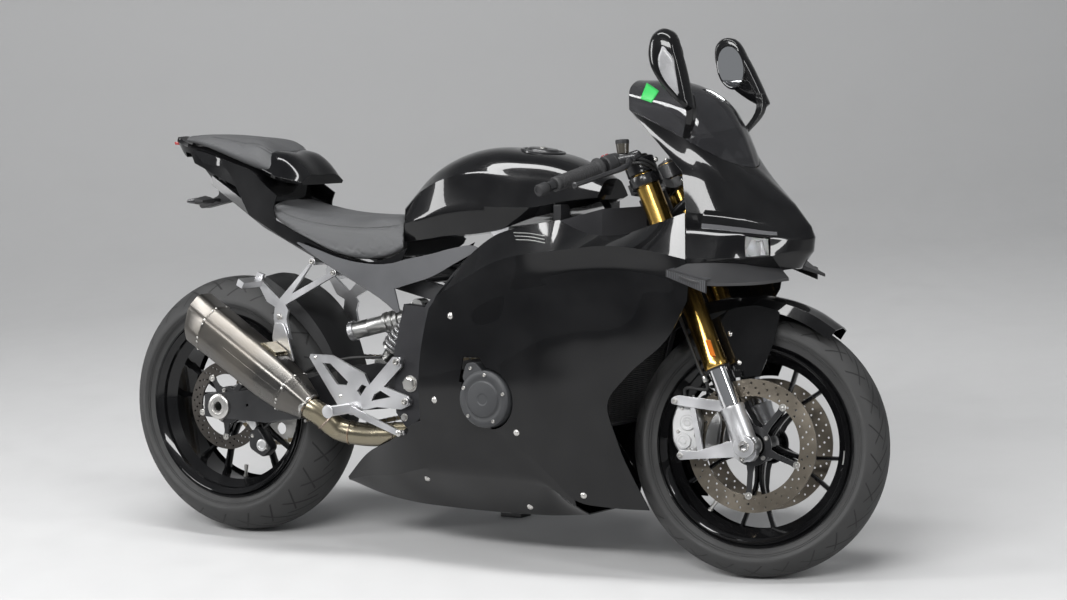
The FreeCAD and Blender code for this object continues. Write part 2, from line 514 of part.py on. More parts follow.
nose_rows = [[(x, -y, z) for x, y, z in row] for row in nose_rows[:-1]] + [nose_rows[-1]] \
    + [row for row in reversed(nose_rows[:-1])]
nose_rows = [[(x, y, z) for x, y, z in reversed(row)] for row in nose_rows]
nose_cowl = skin(nose_rows, PANEL_T, skip=((2, 3), (7, 3)))
LAMP_CELL = [NOSE[1][2], NOSE[1][3], NOSE[2][3], NOSE[2][2]]


def lamp(side):
    """A headlamp lens block that fills its opening in the nose with an even gap."""
    pts = [V(x, side * -y, z) for x, y, z in LAMP_CELL]
    mid = (pts[0] + pts[1] + pts[2] + pts[3]) * 0.25
    n = (pts[1] - pts[0]).cross(pts[3] - pts[0]).normalize()
    if n.x < 0:
        n = n * -1
    flat = [q - n * (q - mid).dot(n) for q in pts]
    front = [mid + (q - mid) * 0.93 - n * 2 for q in flat]
    back = [mid + (q - mid) * 0.8 - n * 46 for q in flat]
    return ruled([[tuple(q) for q in front], [tuple(q) for q in back]])


headlamps = Part.makeCompound([lamp(-1), lamp(1)])

# Windscreen: rows from the right edge over the top to the left edge
SCREEN = [
    [(1194, -137.6, 1062.5), (1300, -133.6, 1014.5), (1380, -115.6, 970.5), (1414, -75.7, 946.5),
     (1434, -37.7, 934.5)],
    [(1180, -112, 1104), (1290, -110, 1066), (1368, -96, 1018), (1404, -62, 984), (1436.5, -28, 933.6)],
    [(1168, -64, 1124), (1280, -62, 1108), (1356, -56, 1068), (1398, -38, 1012), (1439.2, -18, 932.5)],
    [(1162, 0, 1128), (1276, 0, 1120), (1354, 0, 1084), (1402, 0, 1020), (1443.8, 0, 930.6)]]
screen_rows = SCREEN + [[(x, -y, z) for x, y, z in row] for row in reversed(SCREEN[:-1])]
windscreen = skin(screen_rows, PANEL_T)

# Winglets: blades that leave the nose just off its surface, with a turned-down tip.
# One row for each of the nose's first five columns: the height on the nose, and the outer edge's x, y, z
WINGLET = [(724, 1369, -270, 708), (726, 1452, -272, 687), (722, 1502, -212, 683), (714, 1542, -156, 684),
           (708, 1576, -88, 690)]


def wing_section(j, z, x, y, zo):
    """A winglet section from the nose's column j at height z to the outer edge, in one upright plane."""
    a, b = V(*NOSE[0][j]), V(*NOSE[1][j])
    n = (b - a).cross(V(*NOSE[1][j + 1]) - V(*NOSE[1][max(j - 1, 0)])).normalize()
    n = n if n.y < 0 else n * -1
    top, low = [a + (b - a) * ((h - a.z) / (b.z - a.z)) + n * 0.35 for h in (z, z - 8)]
    out = V(x - top.x, y - top.y, 0).normalize()
    under = top - V(0, 0, 8) + out * ((low - top + V(0, 0, 8)).dot(n) / out.dot(n))
    return [tuple(top), (x, y, zo), (x, y, zo - 7), tuple(under)]


winglet = ruled([wing_section(j, *row) for j, row in enumerate(WINGLET)])
tip = ruled([[(1366, -268, 712), (1366, -273, 712), (1366, -273, 696), (1366, -268, 696)],
             [(1466, -266, 690), (1466, -271, 690), (1466, -271, 662), (1466, -266, 662)]])
winglets = both(winglet.fuse(tip))

# Mirrors, folded back: a blade-shaped housing on a stalk; the left one is folded further back
MIRROR_FOLD = 14.0
MIRROR = [(1276, 1204), (1286, 1232), (1310, 1243), (1334, 1234), (1352, 1190), (1372, 1120), (1384, 1066),
          (1372, 1060), (1340, 1086), (1300, 1130), (1280, 1165)]
housing = ruled([[(x + 6, -168, z - 4) for x, z in MIRROR], [(x, -184, z) for x, z in MIRROR],
                 [(1318 + (x - 1318) * 0.8, -206, 1158 + (z - 1158) * 0.8) for x, z in MIRROR]])
stalk = ruled([[(x, y, z), (x, y - w, z), (x + 18, y - w, z), (x + 18, y, z)]
               for x, y, z, w in ((1330, -127, 998, 8), (1362, -156, 1064, 20), (1358, -160, 1096, 20))])
left_housing = mirror(housing)
left_housing.rotate(V(1365, 0, 1065), V(0, 1, 0), -MIRROR_FOLD)
mirrors = Part.makeCompound([housing.fuse(stalk).cut(windscreen), left_housing.fuse(mirror(stalk)).cut(windscreen)])

display = ruled([[(x, -70, z), (x, 70, z), (x + 16, 70, z + 11), (x + 16, -70, z + 11)]
                 for x, z in ((1282, 922), (1328, 996))])
stay = rod(tuple(fork_point(880, 0, 34)), (1350, 0, 925), 11).fuse(rod((1350, -134, 925), (1350, 134, 925), 8))
stay = stay.fuse(rod((1318, 0, 895), (1318, 0, 953.5), 7)).cut(head.translated(AHEAD * -1)).cut(nose_cowl)

# Exhaust: headers to a box under the engine, link pipe and silencer on the right
collector = prism_y([(596, 180), (590, 300), (636, 322), (648, 230), (700, 186), (700, 134), (640, 134)], -100, 90)
header = bent_rod([(1003, 0, 480), (1003, 0, 300), (950, 0, 160), (690, 0, 160)], 28)
exhaust_headers = header.fuse(collector).cut(engine)
LINK = [(630, -80, 290), (553, -122, 285), (450, -142, 280), (394, -158, 291), (362, -182, 324), (336, -196, 344)]
SIL_A, SIL_B = V(286, -196, 375), V(-12, -196, 558)
sil_dir = (SIL_B - SIL_A).normalize()
sil_up = V(-sil_dir.z, 0, sil_dir.x) * -1


def sil_ring(p, w, h):
    """A six-sided outline square to the silencer's axis at p, w wide and h high."""
    side = V(0, 1, 0)
    return [tuple(p + side * (w * a) + sil_up * (h * b))
            for a, b in ((-0.5, 0.24), (-0.2, 0.5), (0.3, 0.5), (0.5, 0.1), (0.34, -0.5), (-0.3, -0.5), (-0.5, -0.2))]


silencer = ruled([sil_ring(SIL_A - sil_dir * 62, 62, 62), sil_ring(SIL_A, 88, 80),
                  sil_ring(SIL_A + sil_dir * 70, 100, 92), sil_ring(SIL_B, 104, 96)])
silencer = silencer.cut(ruled([sil_ring(SIL_B - sil_dir * 26, 70, 62), sil_ring(SIL_B + sil_dir * 2, 84, 74)]))
link_pipe = bent_rod(LINK, 28).cut(exhaust_headers).cut(silencer)

# Rider footrests: hanger, heel guard and pedal, from outlines read square to the side
HANGER = [(430, 343), (445, 333), (520, 352), (590, 350), (616, 362), (612, 382), (540, 402), (592, 452), (588, 474),
          (566, 474), (498, 404), (484, 430), (388, 470), (325, 470), (322, 462), (384, 378), (404, 352), (424, 350)]
HOLES = [[(360, 450), (384, 450), (436, 408), (432, 400), (404, 400)],
         [(504, 366), (560, 378), (530, 392), (512, 382)], [(462, 388), (476, 404), (490, 400), (472, 376)]]
hanger = prism_y(HANGER, -176, -168)
for outline in HOLES:
    hanger = hanger.cut(prism_y(outline, -180, -160))
for x, z in ((580, 463), (604, 370)):
    hanger = hanger.fuse(rod((x, -162, z), (x, -182, z), 11))
hanger = hanger.fuse(rod((452, -162, 345), (452, -186, 345), 15))
hanger = hanger.fuse(prism_y([(424, 352), (452, 356), (456, 338), (430, 332)], -262, -176))
pedal = prism_y([(452, 336), (470, 328), (584, 290), (610, 292), (608, 300), (586, 304), (476, 344), (456, 352)],
                -192, -186)
footrest_right = hanger.fuse(pedal)
footrest_left = mirror(hanger)

rest_arm = prism_y([(322, 700), (308, 690), (214, 598), (160, 642), (166, 656), (148, 662), (140, 648), (176, 590),
                    (200, 578), (196, 548), (232, 540), (240, 572), (232, 584), (384, 662), (378, 674), (252, 612)],
                   -150, -142)
silencer_lug = prism_y([(196, 560), (232, 560), (246, 500), (236, 492), (200, 520)], -150, -142)
pillion_peg = prism_y([(150, 650), (168, 640), (160, 626), (144, 634)], -230, -150)
pillion_right = rest_arm.fuse(silencer_lug).fuse(pillion_peg)
for x, z in ((316, 692), (378, 667)):
    pillion_right = pillion_right.fuse(rod((x, -154, z), (x, -100, z), 9))
pillion_right = pillion_right.cut(subframe)
pillion_rests = both(pillion_right)

# Rear shock with its reservoir, beside the engine's rear
shock = rod((548, -30, 586), (446, -30, 446), 18).fuse(rod((532, -30, 564), (468, -30, 476), 32))
shock = shock.fuse(rod((530, -34, 560), (372, -56, 520), 21)).fuse(rod((376, -55, 521), (360, -58, 518), 24))
shock = shock.fuse(rod((446, -58, 446), (446, -2, 446), 16)).fuse(rod((548, -46, 586), (548, -14, 586), 18))
shock = shock.fuse(rod((548, -30, 586), (632, -30, 568), 12)).cut(swingarm).cut(frame)

# Parts that turn with the steering

STEM_LOW, STEM_TOP = 742.0, 968.0
stem = Part.makeCylinder(17, STEM_TOP - STEM_LOW + 10, fork_point(STEM_LOW), AXIS_DIR)
clamps = stem
for s0, s1 in ((738, 776), (948, 972)):
    plate = fork_box(s0, s1, -24, FORK_OFFSET + 8, -78, 78)
    for side in (-1, 1):
        plate = plate.fuse(Part.makeCylinder(37, s1 - s0, fork_point(s0, side * FORK_Y, FORK_OFFSET), AXIS_DIR))
        plate = plate.fuse(fork_box(s0, s1, 4, FORK_OFFSET + 26, side * 60, side * 96))
    clamps = clamps.fuse(plate)
clamps = clamps.fuse(Part.makeCylinder(19, 12, fork_point(972), AXIS_DIR))
for side in (-1, 1):
    clamps = clamps.cut(Part.makeCylinder(27, 300, fork_point(720, side * FORK_Y, FORK_OFFSET), AXIS_DIR))
clamps = clamps.cut(Part.makeCylinder(9, 60, fork_point(STEM_LOW - 6), AXIS_DIR))


def leg(s0, s1, r, side):
    """A length of one fork leg."""
    return Part.makeCylinder(r, s1 - s0, fork_point(s0, side * FORK_Y, FORK_OFFSET), AXIS_DIR)


# Outlines of the fork feet and calipers, as x and z from the front axle
LOWER_END = AXLE_S + 190
UPPER_ARM = [(-39, 98), (-167, 108), (-181, 100), (-181, 88), (-157, 84), (-33, 72)]
LOWER_ARM = [(-5, -24), (-117, -34), (-157, -38), (-165, -28), (-157, -16), (-115, -16), (-17, 18)]
ARM_WEB = [(-139, 92), (-127, 90), (-101, -20), (-115, -22)]
CALIPER = [(-171, 94), (-135, 98), (-111, 52), (-117, -14), (-157, -36), (-181, 0), (-185, 50)]
PISTONS = [(-145, 46), (-153, 4)]
lowers = []
for side in (-1, 1):
    low = leg(AXLE_S + 57, LOWER_END, 22, side).fuse(leg(AXLE_S + 3, AXLE_S + 95, 27, side))
    low = low.fuse(tube((TABLE_BASE, side * 80, FRONT_R), (TABLE_BASE, side * 132, FRONT_R), 26, 12.5))
    for outline, out in ((UPPER_ARM, 112), (LOWER_ARM, 112), (ARM_WEB, 108)):
        low = low.fuse(prism_y(by_axle(FRONT_AXLE, outline), side * 99.5, side * out))
    lowers.append(low.cut(rod((TABLE_BASE, side * 80, FRONT_R), (TABLE_BASE, side * 140, FRONT_R), 12.5)))
fork_lowers = Part.makeCompound(lowers)
front_axle = rod((TABLE_BASE, -136, FRONT_R), (TABLE_BASE, 132, FRONT_R), 12.5)
front_axle = front_axle.cut(rod((TABLE_BASE, -137, FRONT_R), (TABLE_BASE, 133, FRONT_R), 8))
for side in (-1, 1):
    front_axle = front_axle.fuse(tube((TABLE_BASE, side * 58.3, FRONT_R), (TABLE_BASE, side * 80, FRONT_R), 20, 12.4))


def front_caliper(side):
    """A radial caliper astride the front disc."""
    body = prism_y(by_axle(FRONT_AXLE, CALIPER), side * 48, side * 95)
    gap = DISC_T + 6
    slot_foot = FRONT_AXLE + V(0, side * FRONT_DISC_Y - gap / 2, 0)
    body = body.cut(Part.makeCylinder(FRONT_DISC_R + 5, gap, slot_foot, V(0, 1, 0)))
    for x, z in by_axle(FRONT_AXLE, PISTONS):
        body = body.fuse(rod((x, side * 95, z), (x, side * 99, z), 18))
    return body


front_calipers = Part.makeCompound([front_caliper(-1), front_caliper(1)])

guard_rows = []
for a in (56, 68, 80, 92, 104, 116, 130):
    c, s = math.cos(math.radians(a)), math.sin(math.radians(a))
    grow = FRONT_R + 30 + (a - 56) * 0.32
    w = 40 + 26 * math.sin(math.radians(min(90, (a - 50) * 2.2)))
    guard_rows.append([(TABLE_BASE + (grow - 34) * c, -w - 5, FRONT_R + (grow - 34) * s),
                       (TABLE_BASE + (grow - 8) * c, -w, FRONT_R + (grow - 8) * s),
                       (TABLE_BASE + grow * c, 0, FRONT_R + grow * s),
                       (TABLE_BASE + (grow - 8) * c, w, FRONT_R + (grow - 8) * s),
                       (TABLE_BASE + (grow - 34) * c, w + 5, FRONT_R + (grow - 34) * s)])
front_mudguard = skin(guard_rows, PANEL_T)
GUARD_SIDE = [(-117, 272), (-57, 308), (0, 318), (58, 306), (43, 230), (19, 170), (-3, 108), (-19, 102), (-49, 170),
              (-85, 220)]
GUARD_LUG = [(-75, 170), (-27, 170), (-23, 140), (-67, 140)]
for side in (-1, 1):
    fin = prism_y(by_axle(FRONT_AXLE, GUARD_SIDE), side * 70, side * 73)
    lug = prism_y(by_axle(FRONT_AXLE, GUARD_LUG), side * 70, side * 84.7)
    front_mudguard = front_mudguard.fuse(fin).fuse(lug)
front_mudguard = front_mudguard.cut(Part.makeCylinder(FRONT_DISC_R + 6, 170, FRONT_AXLE - V(0, 85, 0), V(0, 1, 0)))

reflectors = both(prism_y(by_axle(FRONT_AXLE, [(-83, 200), (-71, 200), (-85, 236), (-97, 236)]), -139, -134.2))

# Handlebars: columns are x, y, z of the right bar from the clamp to the end
BAR = [(1184, -128, 948), (1133, -225, 916), (1056, -360, 862)]
bar_dir = (V(*BAR[2]) - V(*BAR[1])).normalize()
grip_a, grip_b = V(*BAR[1]), V(*BAR[2])
bars = []
for side in (-1, 1):
    clamp = leg(976, 1012, 36, side).cut(leg(970, 1020, 27.0, side))
    bar = rod(BAR[0], BAR[1], 11).fuse(Part.makeSphere(11, grip_a)).fuse(rod(BAR[1], tuple(grip_b + bar_dir * 4), 11))
    bar = bar.fuse(rod(tuple(grip_b + bar_dir * 3), tuple(grip_b + bar_dir * 30), 13))
    bar = bar if side < 0 else mirror(bar)
    bars.append(clamp.fuse(bar))
bars = [b.cut(leg(960, 1030, 27.0, side)) for b, side in zip(bars, (-1, 1))]
fork_uppers = Part.makeCompound([leg(LOWER_END, 1014, 27, side) for side in (-1, 1)])
handlebars = Part.makeCompound(bars)
grip = rod(tuple(grip_a + bar_dir * 8), tuple(grip_b), 17).cut(rod(tuple(grip_a), tuple(grip_b + bar_dir), 11))
grips = both(grip)
inner_dir = (V(*BAR[1]) - V(*BAR[0])).normalize()
pod_mid = grip_a - inner_dir * 26
pod = rod(tuple(pod_mid - inner_dir * 20), tuple(pod_mid + inner_dir * 18), 24)
lever_a = pod_mid - bar_dir * 30 + V(34, -2, 6)
lever_b = lever_a + bar_dir * 60 + V(30, 0, 0)
lever_c = grip_b + V(62, 6, 6)
lever = bent_rod([tuple(lever_a), tuple(lever_b), tuple(lever_c)], 6)
master = rod(tuple(lever_a + V(-14, 10, 2)), tuple(lever_a + bar_dir * -22 + V(-8, 0, 2)), 11)
control = pod.fuse(lever).fuse(master).fuse(rod(tuple(pod_mid + V(8, 0, 4)), tuple(lever_a), 12))
control = control.cut(bars[0])
reservoir = rod(tuple(lever_a + V(-26, -4, 6)), tuple(lever_a + V(-30, -4, 40)), 15)
hand_controls = Part.makeCompound([control.fuse(reservoir).cut(bars[0]), mirror(control)])

hoses = []
for side in (-1, 1):
    runs = [FRONT_AXLE + V(-155, side * 84, 92)] + [fork_point(s, side * y, -10) for s, y in ((520, 104), (640, 106), (734, 104))]
    hoses.append(bent_rod([tuple(q) for q in runs], 4).cut(front_calipers))
brake_hoses = Part.makeCompound(hoses)

# The side stand's leg, pivot boss and foot, deployed: the foot is flat on the ground when the bike leans on it
leg_end = STAND_FOOT + V(0, -4, 16)
side_stand = rod(tuple(STAND_PIVOT + STAND_DIR * 8), tuple(leg_end), 12)
side_stand = side_stand.fuse(Part.makeSphere(12, leg_end))
side_stand = side_stand.fuse(rod(tuple(STAND_PIVOT - STAND_AXIS * 9), tuple(STAND_PIVOT + STAND_AXIS * 9), 17))
side_stand = side_stand.cut(rod(tuple(STAND_PIVOT - STAND_AXIS * 30), tuple(STAND_PIVOT + STAND_AXIS * 30), 6.3))
foot_pts = [(590, STAND_FOOT_Y - 26), (650, STAND_FOOT_Y - 26), (662, STAND_FOOT_Y), (650, STAND_FOOT_Y + 26),
            (590, STAND_FOOT_Y + 26)]
foot = ruled([[(x, y, y * math.tan(LEAN) + h) for x, y in foot_pts] for h in (0.0, 10.0)])
side_stand = side_stand.fuse(foot)
under = ruled([[(x, y, y * math.tan(LEAN) + h) for x, y in ((500, 180), (720, 180), (720, 400), (500, 400))]
               for h in (-60.0, 0.0)])
side_stand = side_stand.cut(under)

CHASSIS = {
    "frame": frame, "subframe": subframe, "swing_pivot": swing_pivot, "engine": engine,
    "clutch_cover": clutch_cover, "generator_cover": generator_cover, "gearbox_sprocket": gearbox_shaft,
    "radiator": radiator, "exhaust_headers": exhaust_headers, "link_pipe": link_pipe, "silencer": silencer,
    "fuel_tank": tank, "rider_seat": rider_seat, "pillion_seat": pillion_seat, "tail_cowl": tail_cowl,
    "tail_panels": tail_panels, "tail_light": tail_light, "plate_holder": plate_holder,
    "side_covers": side_covers, "fairing_right": fairing_right, "fairing_left": fairing_left,
    "belly_pan": belly_pan, "nose_cowl": nose_cowl, "nose_stay": stay, "windscreen": windscreen,
    "winglets": winglets, "headlamps": headlamps, "mirrors": mirrors, "display": display,
    "footrest_right": footrest_right, "footrest_left": footrest_left, "pillion_rests": pillion_rests,
    "swingarm": swingarm, "rear_axle": rear_axle, "rear_caliper": rear_caliper, "hugger": hugger,
    "shock": shock, "chain": chain}
STEERING = {
    "fork_clamps": clamps, "fork_uppers": fork_uppers, "fork_lowers": fork_lowers, "front_axle": front_axle,
    "front_calipers": front_calipers, "front_mudguard": front_mudguard, "reflectors": reflectors,
    "handlebars": handlebars, "grips": grips, "hand_controls": hand_controls, "brake_hoses": brake_hoses}
FRONT_WHEEL = {"front_tyre": front_tyre, "front_rim": front_rim, "front_discs": front_discs}
REAR_WHEEL = {"rear_tyre": rear_tyre, "rear_rim": rear_rim, "rear_disc": rear_disc, "rear_sprocket": sprocket}
SIDE_STAND = {"side_stand": side_stand}

# What stands ahead of the steering head moves with the wheelbase
NOSE_NODES = ("radiator", "nose_cowl", "nose_stay", "windscreen", "winglets", "headlamps", "mirrors", "display")
for group, names in ((CHASSIS, NOSE_NODES), (STEERING, STEERING), (FRONT_WHEEL, FRONT_WHEEL)):
    for name in names:
        group[name] = group[name].translated(AHEAD)

# Setting down: steer the front, lean the bike, pitch it until both tyres touch, then centre it

def lowest(axle, axis, radius, crown):
    """The height of a round-crowned wheel's lowest point."""
    return axle.z - (radius - crown) * math.sqrt(1 - axis.z ** 2) - crown


steer = FreeCAD.Placement(V(0, 0, 0), FreeCAD.Rotation(AXIS_DIR, math.degrees(STEER_REST)), AXIS_FOOT + AHEAD)
lean = FreeCAD.Placement(V(0, 0, 0), FreeCAD.Rotation(V(1, 0, 0), -math.degrees(LEAN)))
pitch, lift = 0.0, 0.0
for _ in range(6):
    set_down = FreeCAD.Placement(V(0, 0, lift), FreeCAD.Rotation(V(0, 1, 0), math.degrees(pitch))).multiply(lean)
    front_place = set_down.multiply(steer)
    low_r = lowest(set_down.multVec(REAR_AXLE), set_down.Rotation.multVec(V(0, 1, 0)), REAR_R, REAR_CROWN)
    low_f = lowest(front_place.multVec(FRONT_AXLE + AHEAD), front_place.Rotation.multVec(V(0, 1, 0)), FRONT_R, FRONT_CROWN)
    pitch += math.atan2(low_f - low_r, WHEELBASE)
    lift -= low_r


def placed(shape, placement):
    """A copy of a shape moved by a placement."""
    out = shape.copy()
    out.Placement = placement.multiply(out.Placement)
    return out


parts = {name: placed(s, set_down) for group in (CHASSIS, REAR_WHEEL, SIDE_STAND) for name, s in group.items()}
parts.update({name: placed(s, set_down.multiply(steer)) for group in (STEERING, FRONT_WHEEL)
              for name, s in group.items()})
low, high = [1e9] * 3, [-1e9] * 3
for shape in parts.values():
    for point in shape.tessellate(0.2)[0]:
        for k, value in enumerate(point):
            low[k], high[k] = min(low[k], value), max(high[k], value)
CENTRE = V(-(low[0] + high[0]) / 2, -(low[1] + high[1]) / 2, 0)
BIKE_TO_ROW = FreeCAD.Placement(CENTRE, FreeCAD.Rotation()).multiply(set_down)
FRONT_TO_ROW = BIKE_TO_ROW.multiply(steer)
for name, shape in parts.items():
    placed(shape, FreeCAD.Placement(CENTRE, FreeCAD.Rotation())).exportStep("parts/%s.step" % name)
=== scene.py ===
"""Looks for a faired sport bike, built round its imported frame.

Sizes are in millimetres in the bike's own frame: origin on the ground under the rear axle, +X to the front,
+Y to the left and +Z up, with the bike upright and its front straight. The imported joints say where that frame
stands in the row.
"""

import json
import logging
import math
from collections.abc import Callable
from dataclasses import dataclass, field
from enum import Enum

import bmesh
import bpy
from mathutils import Matrix, Vector
from mathutils.bvhtree import BVHTree
from mathutils.kdtree import KDTree

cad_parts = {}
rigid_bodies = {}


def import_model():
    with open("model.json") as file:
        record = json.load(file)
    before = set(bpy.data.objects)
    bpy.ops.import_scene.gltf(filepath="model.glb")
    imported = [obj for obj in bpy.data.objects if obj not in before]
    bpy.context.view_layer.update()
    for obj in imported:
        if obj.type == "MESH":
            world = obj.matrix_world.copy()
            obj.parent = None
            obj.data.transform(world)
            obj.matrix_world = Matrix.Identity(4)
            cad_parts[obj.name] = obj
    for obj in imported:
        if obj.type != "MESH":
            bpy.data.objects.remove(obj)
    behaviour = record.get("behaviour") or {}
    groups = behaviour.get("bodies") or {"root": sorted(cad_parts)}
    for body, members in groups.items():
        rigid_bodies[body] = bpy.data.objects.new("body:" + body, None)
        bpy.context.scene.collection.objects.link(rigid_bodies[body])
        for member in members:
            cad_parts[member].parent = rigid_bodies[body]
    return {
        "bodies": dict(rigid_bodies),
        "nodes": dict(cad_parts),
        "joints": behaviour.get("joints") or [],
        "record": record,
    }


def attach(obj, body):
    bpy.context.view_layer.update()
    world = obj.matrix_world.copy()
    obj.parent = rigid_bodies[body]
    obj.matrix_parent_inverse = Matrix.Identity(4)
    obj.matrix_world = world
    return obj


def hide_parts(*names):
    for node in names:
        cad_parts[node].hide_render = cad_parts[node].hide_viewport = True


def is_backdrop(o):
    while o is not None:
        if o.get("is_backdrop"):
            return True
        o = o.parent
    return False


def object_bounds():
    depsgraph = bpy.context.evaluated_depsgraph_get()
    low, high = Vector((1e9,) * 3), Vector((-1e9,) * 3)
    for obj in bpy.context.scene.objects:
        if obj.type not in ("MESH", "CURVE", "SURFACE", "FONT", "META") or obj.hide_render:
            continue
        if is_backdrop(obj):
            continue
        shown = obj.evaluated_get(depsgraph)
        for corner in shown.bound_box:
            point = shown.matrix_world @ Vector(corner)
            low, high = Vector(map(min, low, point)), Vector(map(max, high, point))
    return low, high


log = logging.getLogger("sport_bike")

MM = 0.001
Point = tuple[float, float, float]
Flat = list[tuple[float, float]]
Rows = list[list[Vector]]
ACROSS = Vector((0, 1, 0))
FRONT_AXLE = Vector((1457, 0, 300))
REAR_AXLE = Vector((0, 0, 320))
WELD_GAP = 0.00002
SMOOTH_ANGLE = 35.0
PHOTO_WIDTH = 1067.0
SENSOR = 36.0


class Side(Enum):
    """The bike's two sides, by the sign of Y."""

    RIGHT = -1
    LEFT = 1

    @property
    def label(self) -> str:
        """The side's word in the pieces' names."""
        return self.name.lower()

    def first(self, *nodes: str) -> tuple[str, ...]:
        """The nodes for the right side, which is built first, and none for the left."""
        return nodes if self is Side.RIGHT else ()


class Texture(Enum):
    """The fine surface that a finish carries."""

    SMOOTH = "smooth"
    PEEL = "orange peel"
    GRAIN = "moulded grain"
    BRUSHED = "brushed"
    CAST = "cast"
    LEATHER = "leather"
    RUBBER = "rubber"


class Body(Enum):
    """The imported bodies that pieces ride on."""

    CHASSIS = "chassis"
    STEERING = "steering"
    FRONT_WHEEL = "front_wheel"
    REAR_WHEEL = "rear_wheel"


# Shader node groups that several finishes share


class ShaderKit:
    """Builds each shared shader node group once."""

    def __init__(self) -> None:
        """Starts with no group built."""
        self._made: dict[str, bpy.types.NodeTree] = {}

    def _start(self, name: str, inputs: list[tuple[str, str, float]], outputs: list[tuple[str, str]]) -> tuple:
        """Makes an empty group with its sockets.

        Args:
            name: the group's name.
            inputs: name, socket type and default of each input.
            outputs: name and socket type of each output.

        Returns:
            The tree, its input node and its output node.
        """
        tree = bpy.data.node_groups.new(name, "ShaderNodeTree")
        for label, kind, value in inputs:
            socket = tree.interface.new_socket(name=label, in_out="INPUT", socket_type=kind)
            socket.default_value = value
        for label, kind in outputs:
            tree.interface.new_socket(name=label, in_out="OUTPUT", socket_type=kind)
        self._made[name] = tree
        return tree, tree.nodes.new("NodeGroupInput"), tree.nodes.new("NodeGroupOutput")

    def wear(self) -> bpy.types.NodeTree:
        """A soft cloud of handling marks and dust: a mask from 0 to 1.

        Returns:
            The group, with input Scale and outputs Cloud and Specks.
        """
        if "Handling marks" in self._made:
            return self._made["Handling marks"]
        tree, gin, gout = self._start("Handling marks", [("Scale", "NodeSocketFloat", 12.0)],
                                      [("Cloud", "NodeSocketFloat"), ("Specks", "NodeSocketFloat")])
        n, link = tree.nodes, tree.links
        coord = n.new("ShaderNodeTexCoord")
        cloud = n.new("ShaderNodeTexNoise")
        cloud.inputs["Detail"].default_value = 4.0
        link.new(coord.outputs["Object"], cloud.inputs["Vector"])
        link.new(gin.outputs["Scale"], cloud.inputs["Scale"])
        ramp = n.new("ShaderNodeMapRange")
        ramp.inputs["From Min"].default_value = 0.35
        ramp.inputs["From Max"].default_value = 0.7
        link.new(cloud.outputs["Fac"], ramp.inputs["Value"])
        specks = n.new("ShaderNodeTexNoise")
        specks.inputs["Scale"].default_value = 900.0
        link.new(coord.outputs["Object"], specks.inputs["Vector"])
        cut = n.new("ShaderNodeMapRange")
        cut.inputs["From Min"].default_value = 0.62
        cut.inputs["From Max"].default_value = 0.74
        link.new(specks.outputs["Fac"], cut.inputs["Value"])
        link.new(ramp.outputs["Result"], gout.inputs["Cloud"])
        link.new(cut.outputs["Result"], gout.inputs["Specks"])
        return tree

    def relief(self, texture: Texture) -> bpy.types.NodeTree:
        """The height field of a fine surface.

        Args:
            texture: which surface.

        Returns:
            The group, with input Size (features per metre) and output Height.
        """
        name = "Relief " + texture.value
        if name in self._made:
            return self._made[name]
        tree, gin, gout = self._start(name, [("Size", "NodeSocketFloat", 600.0)], [("Height", "NodeSocketFloat")])
        n, link = tree.nodes, tree.links
        coord = n.new("ShaderNodeTexCoord")
        vector = coord.outputs["Object"]
        if texture is Texture.BRUSHED:
            stretch = n.new("ShaderNodeMapping")
            stretch.inputs["Scale"].default_value = (0.03, 1.0, 0.6)
            stretch.inputs["Rotation"].default_value = (0.0, math.radians(31.0), 0.0)
            link.new(vector, stretch.inputs["Vector"])
            vector = stretch.outputs["Vector"]
        if texture in (Texture.GRAIN, Texture.LEATHER, Texture.CAST):
            cells = n.new("ShaderNodeTexVoronoi")
            cells.feature = "SMOOTH_F1" if texture is Texture.LEATHER else "F1"
            link.new(vector, cells.inputs["Vector"])
            link.new(gin.outputs["Size"], cells.inputs["Scale"])
            height = cells.outputs["Distance"]
        else:
            noise = n.new("ShaderNodeTexNoise")
            noise.inputs["Detail"].default_value = 3.0 if texture is not Texture.PEEL else 0.0
            link.new(vector, noise.inputs["Vector"])
            link.new(gin.outputs["Size"], noise.inputs["Scale"])
            height = noise.outputs["Fac"]
        link.new(height, gout.inputs["Height"])
        return tree


KIT = ShaderKit()


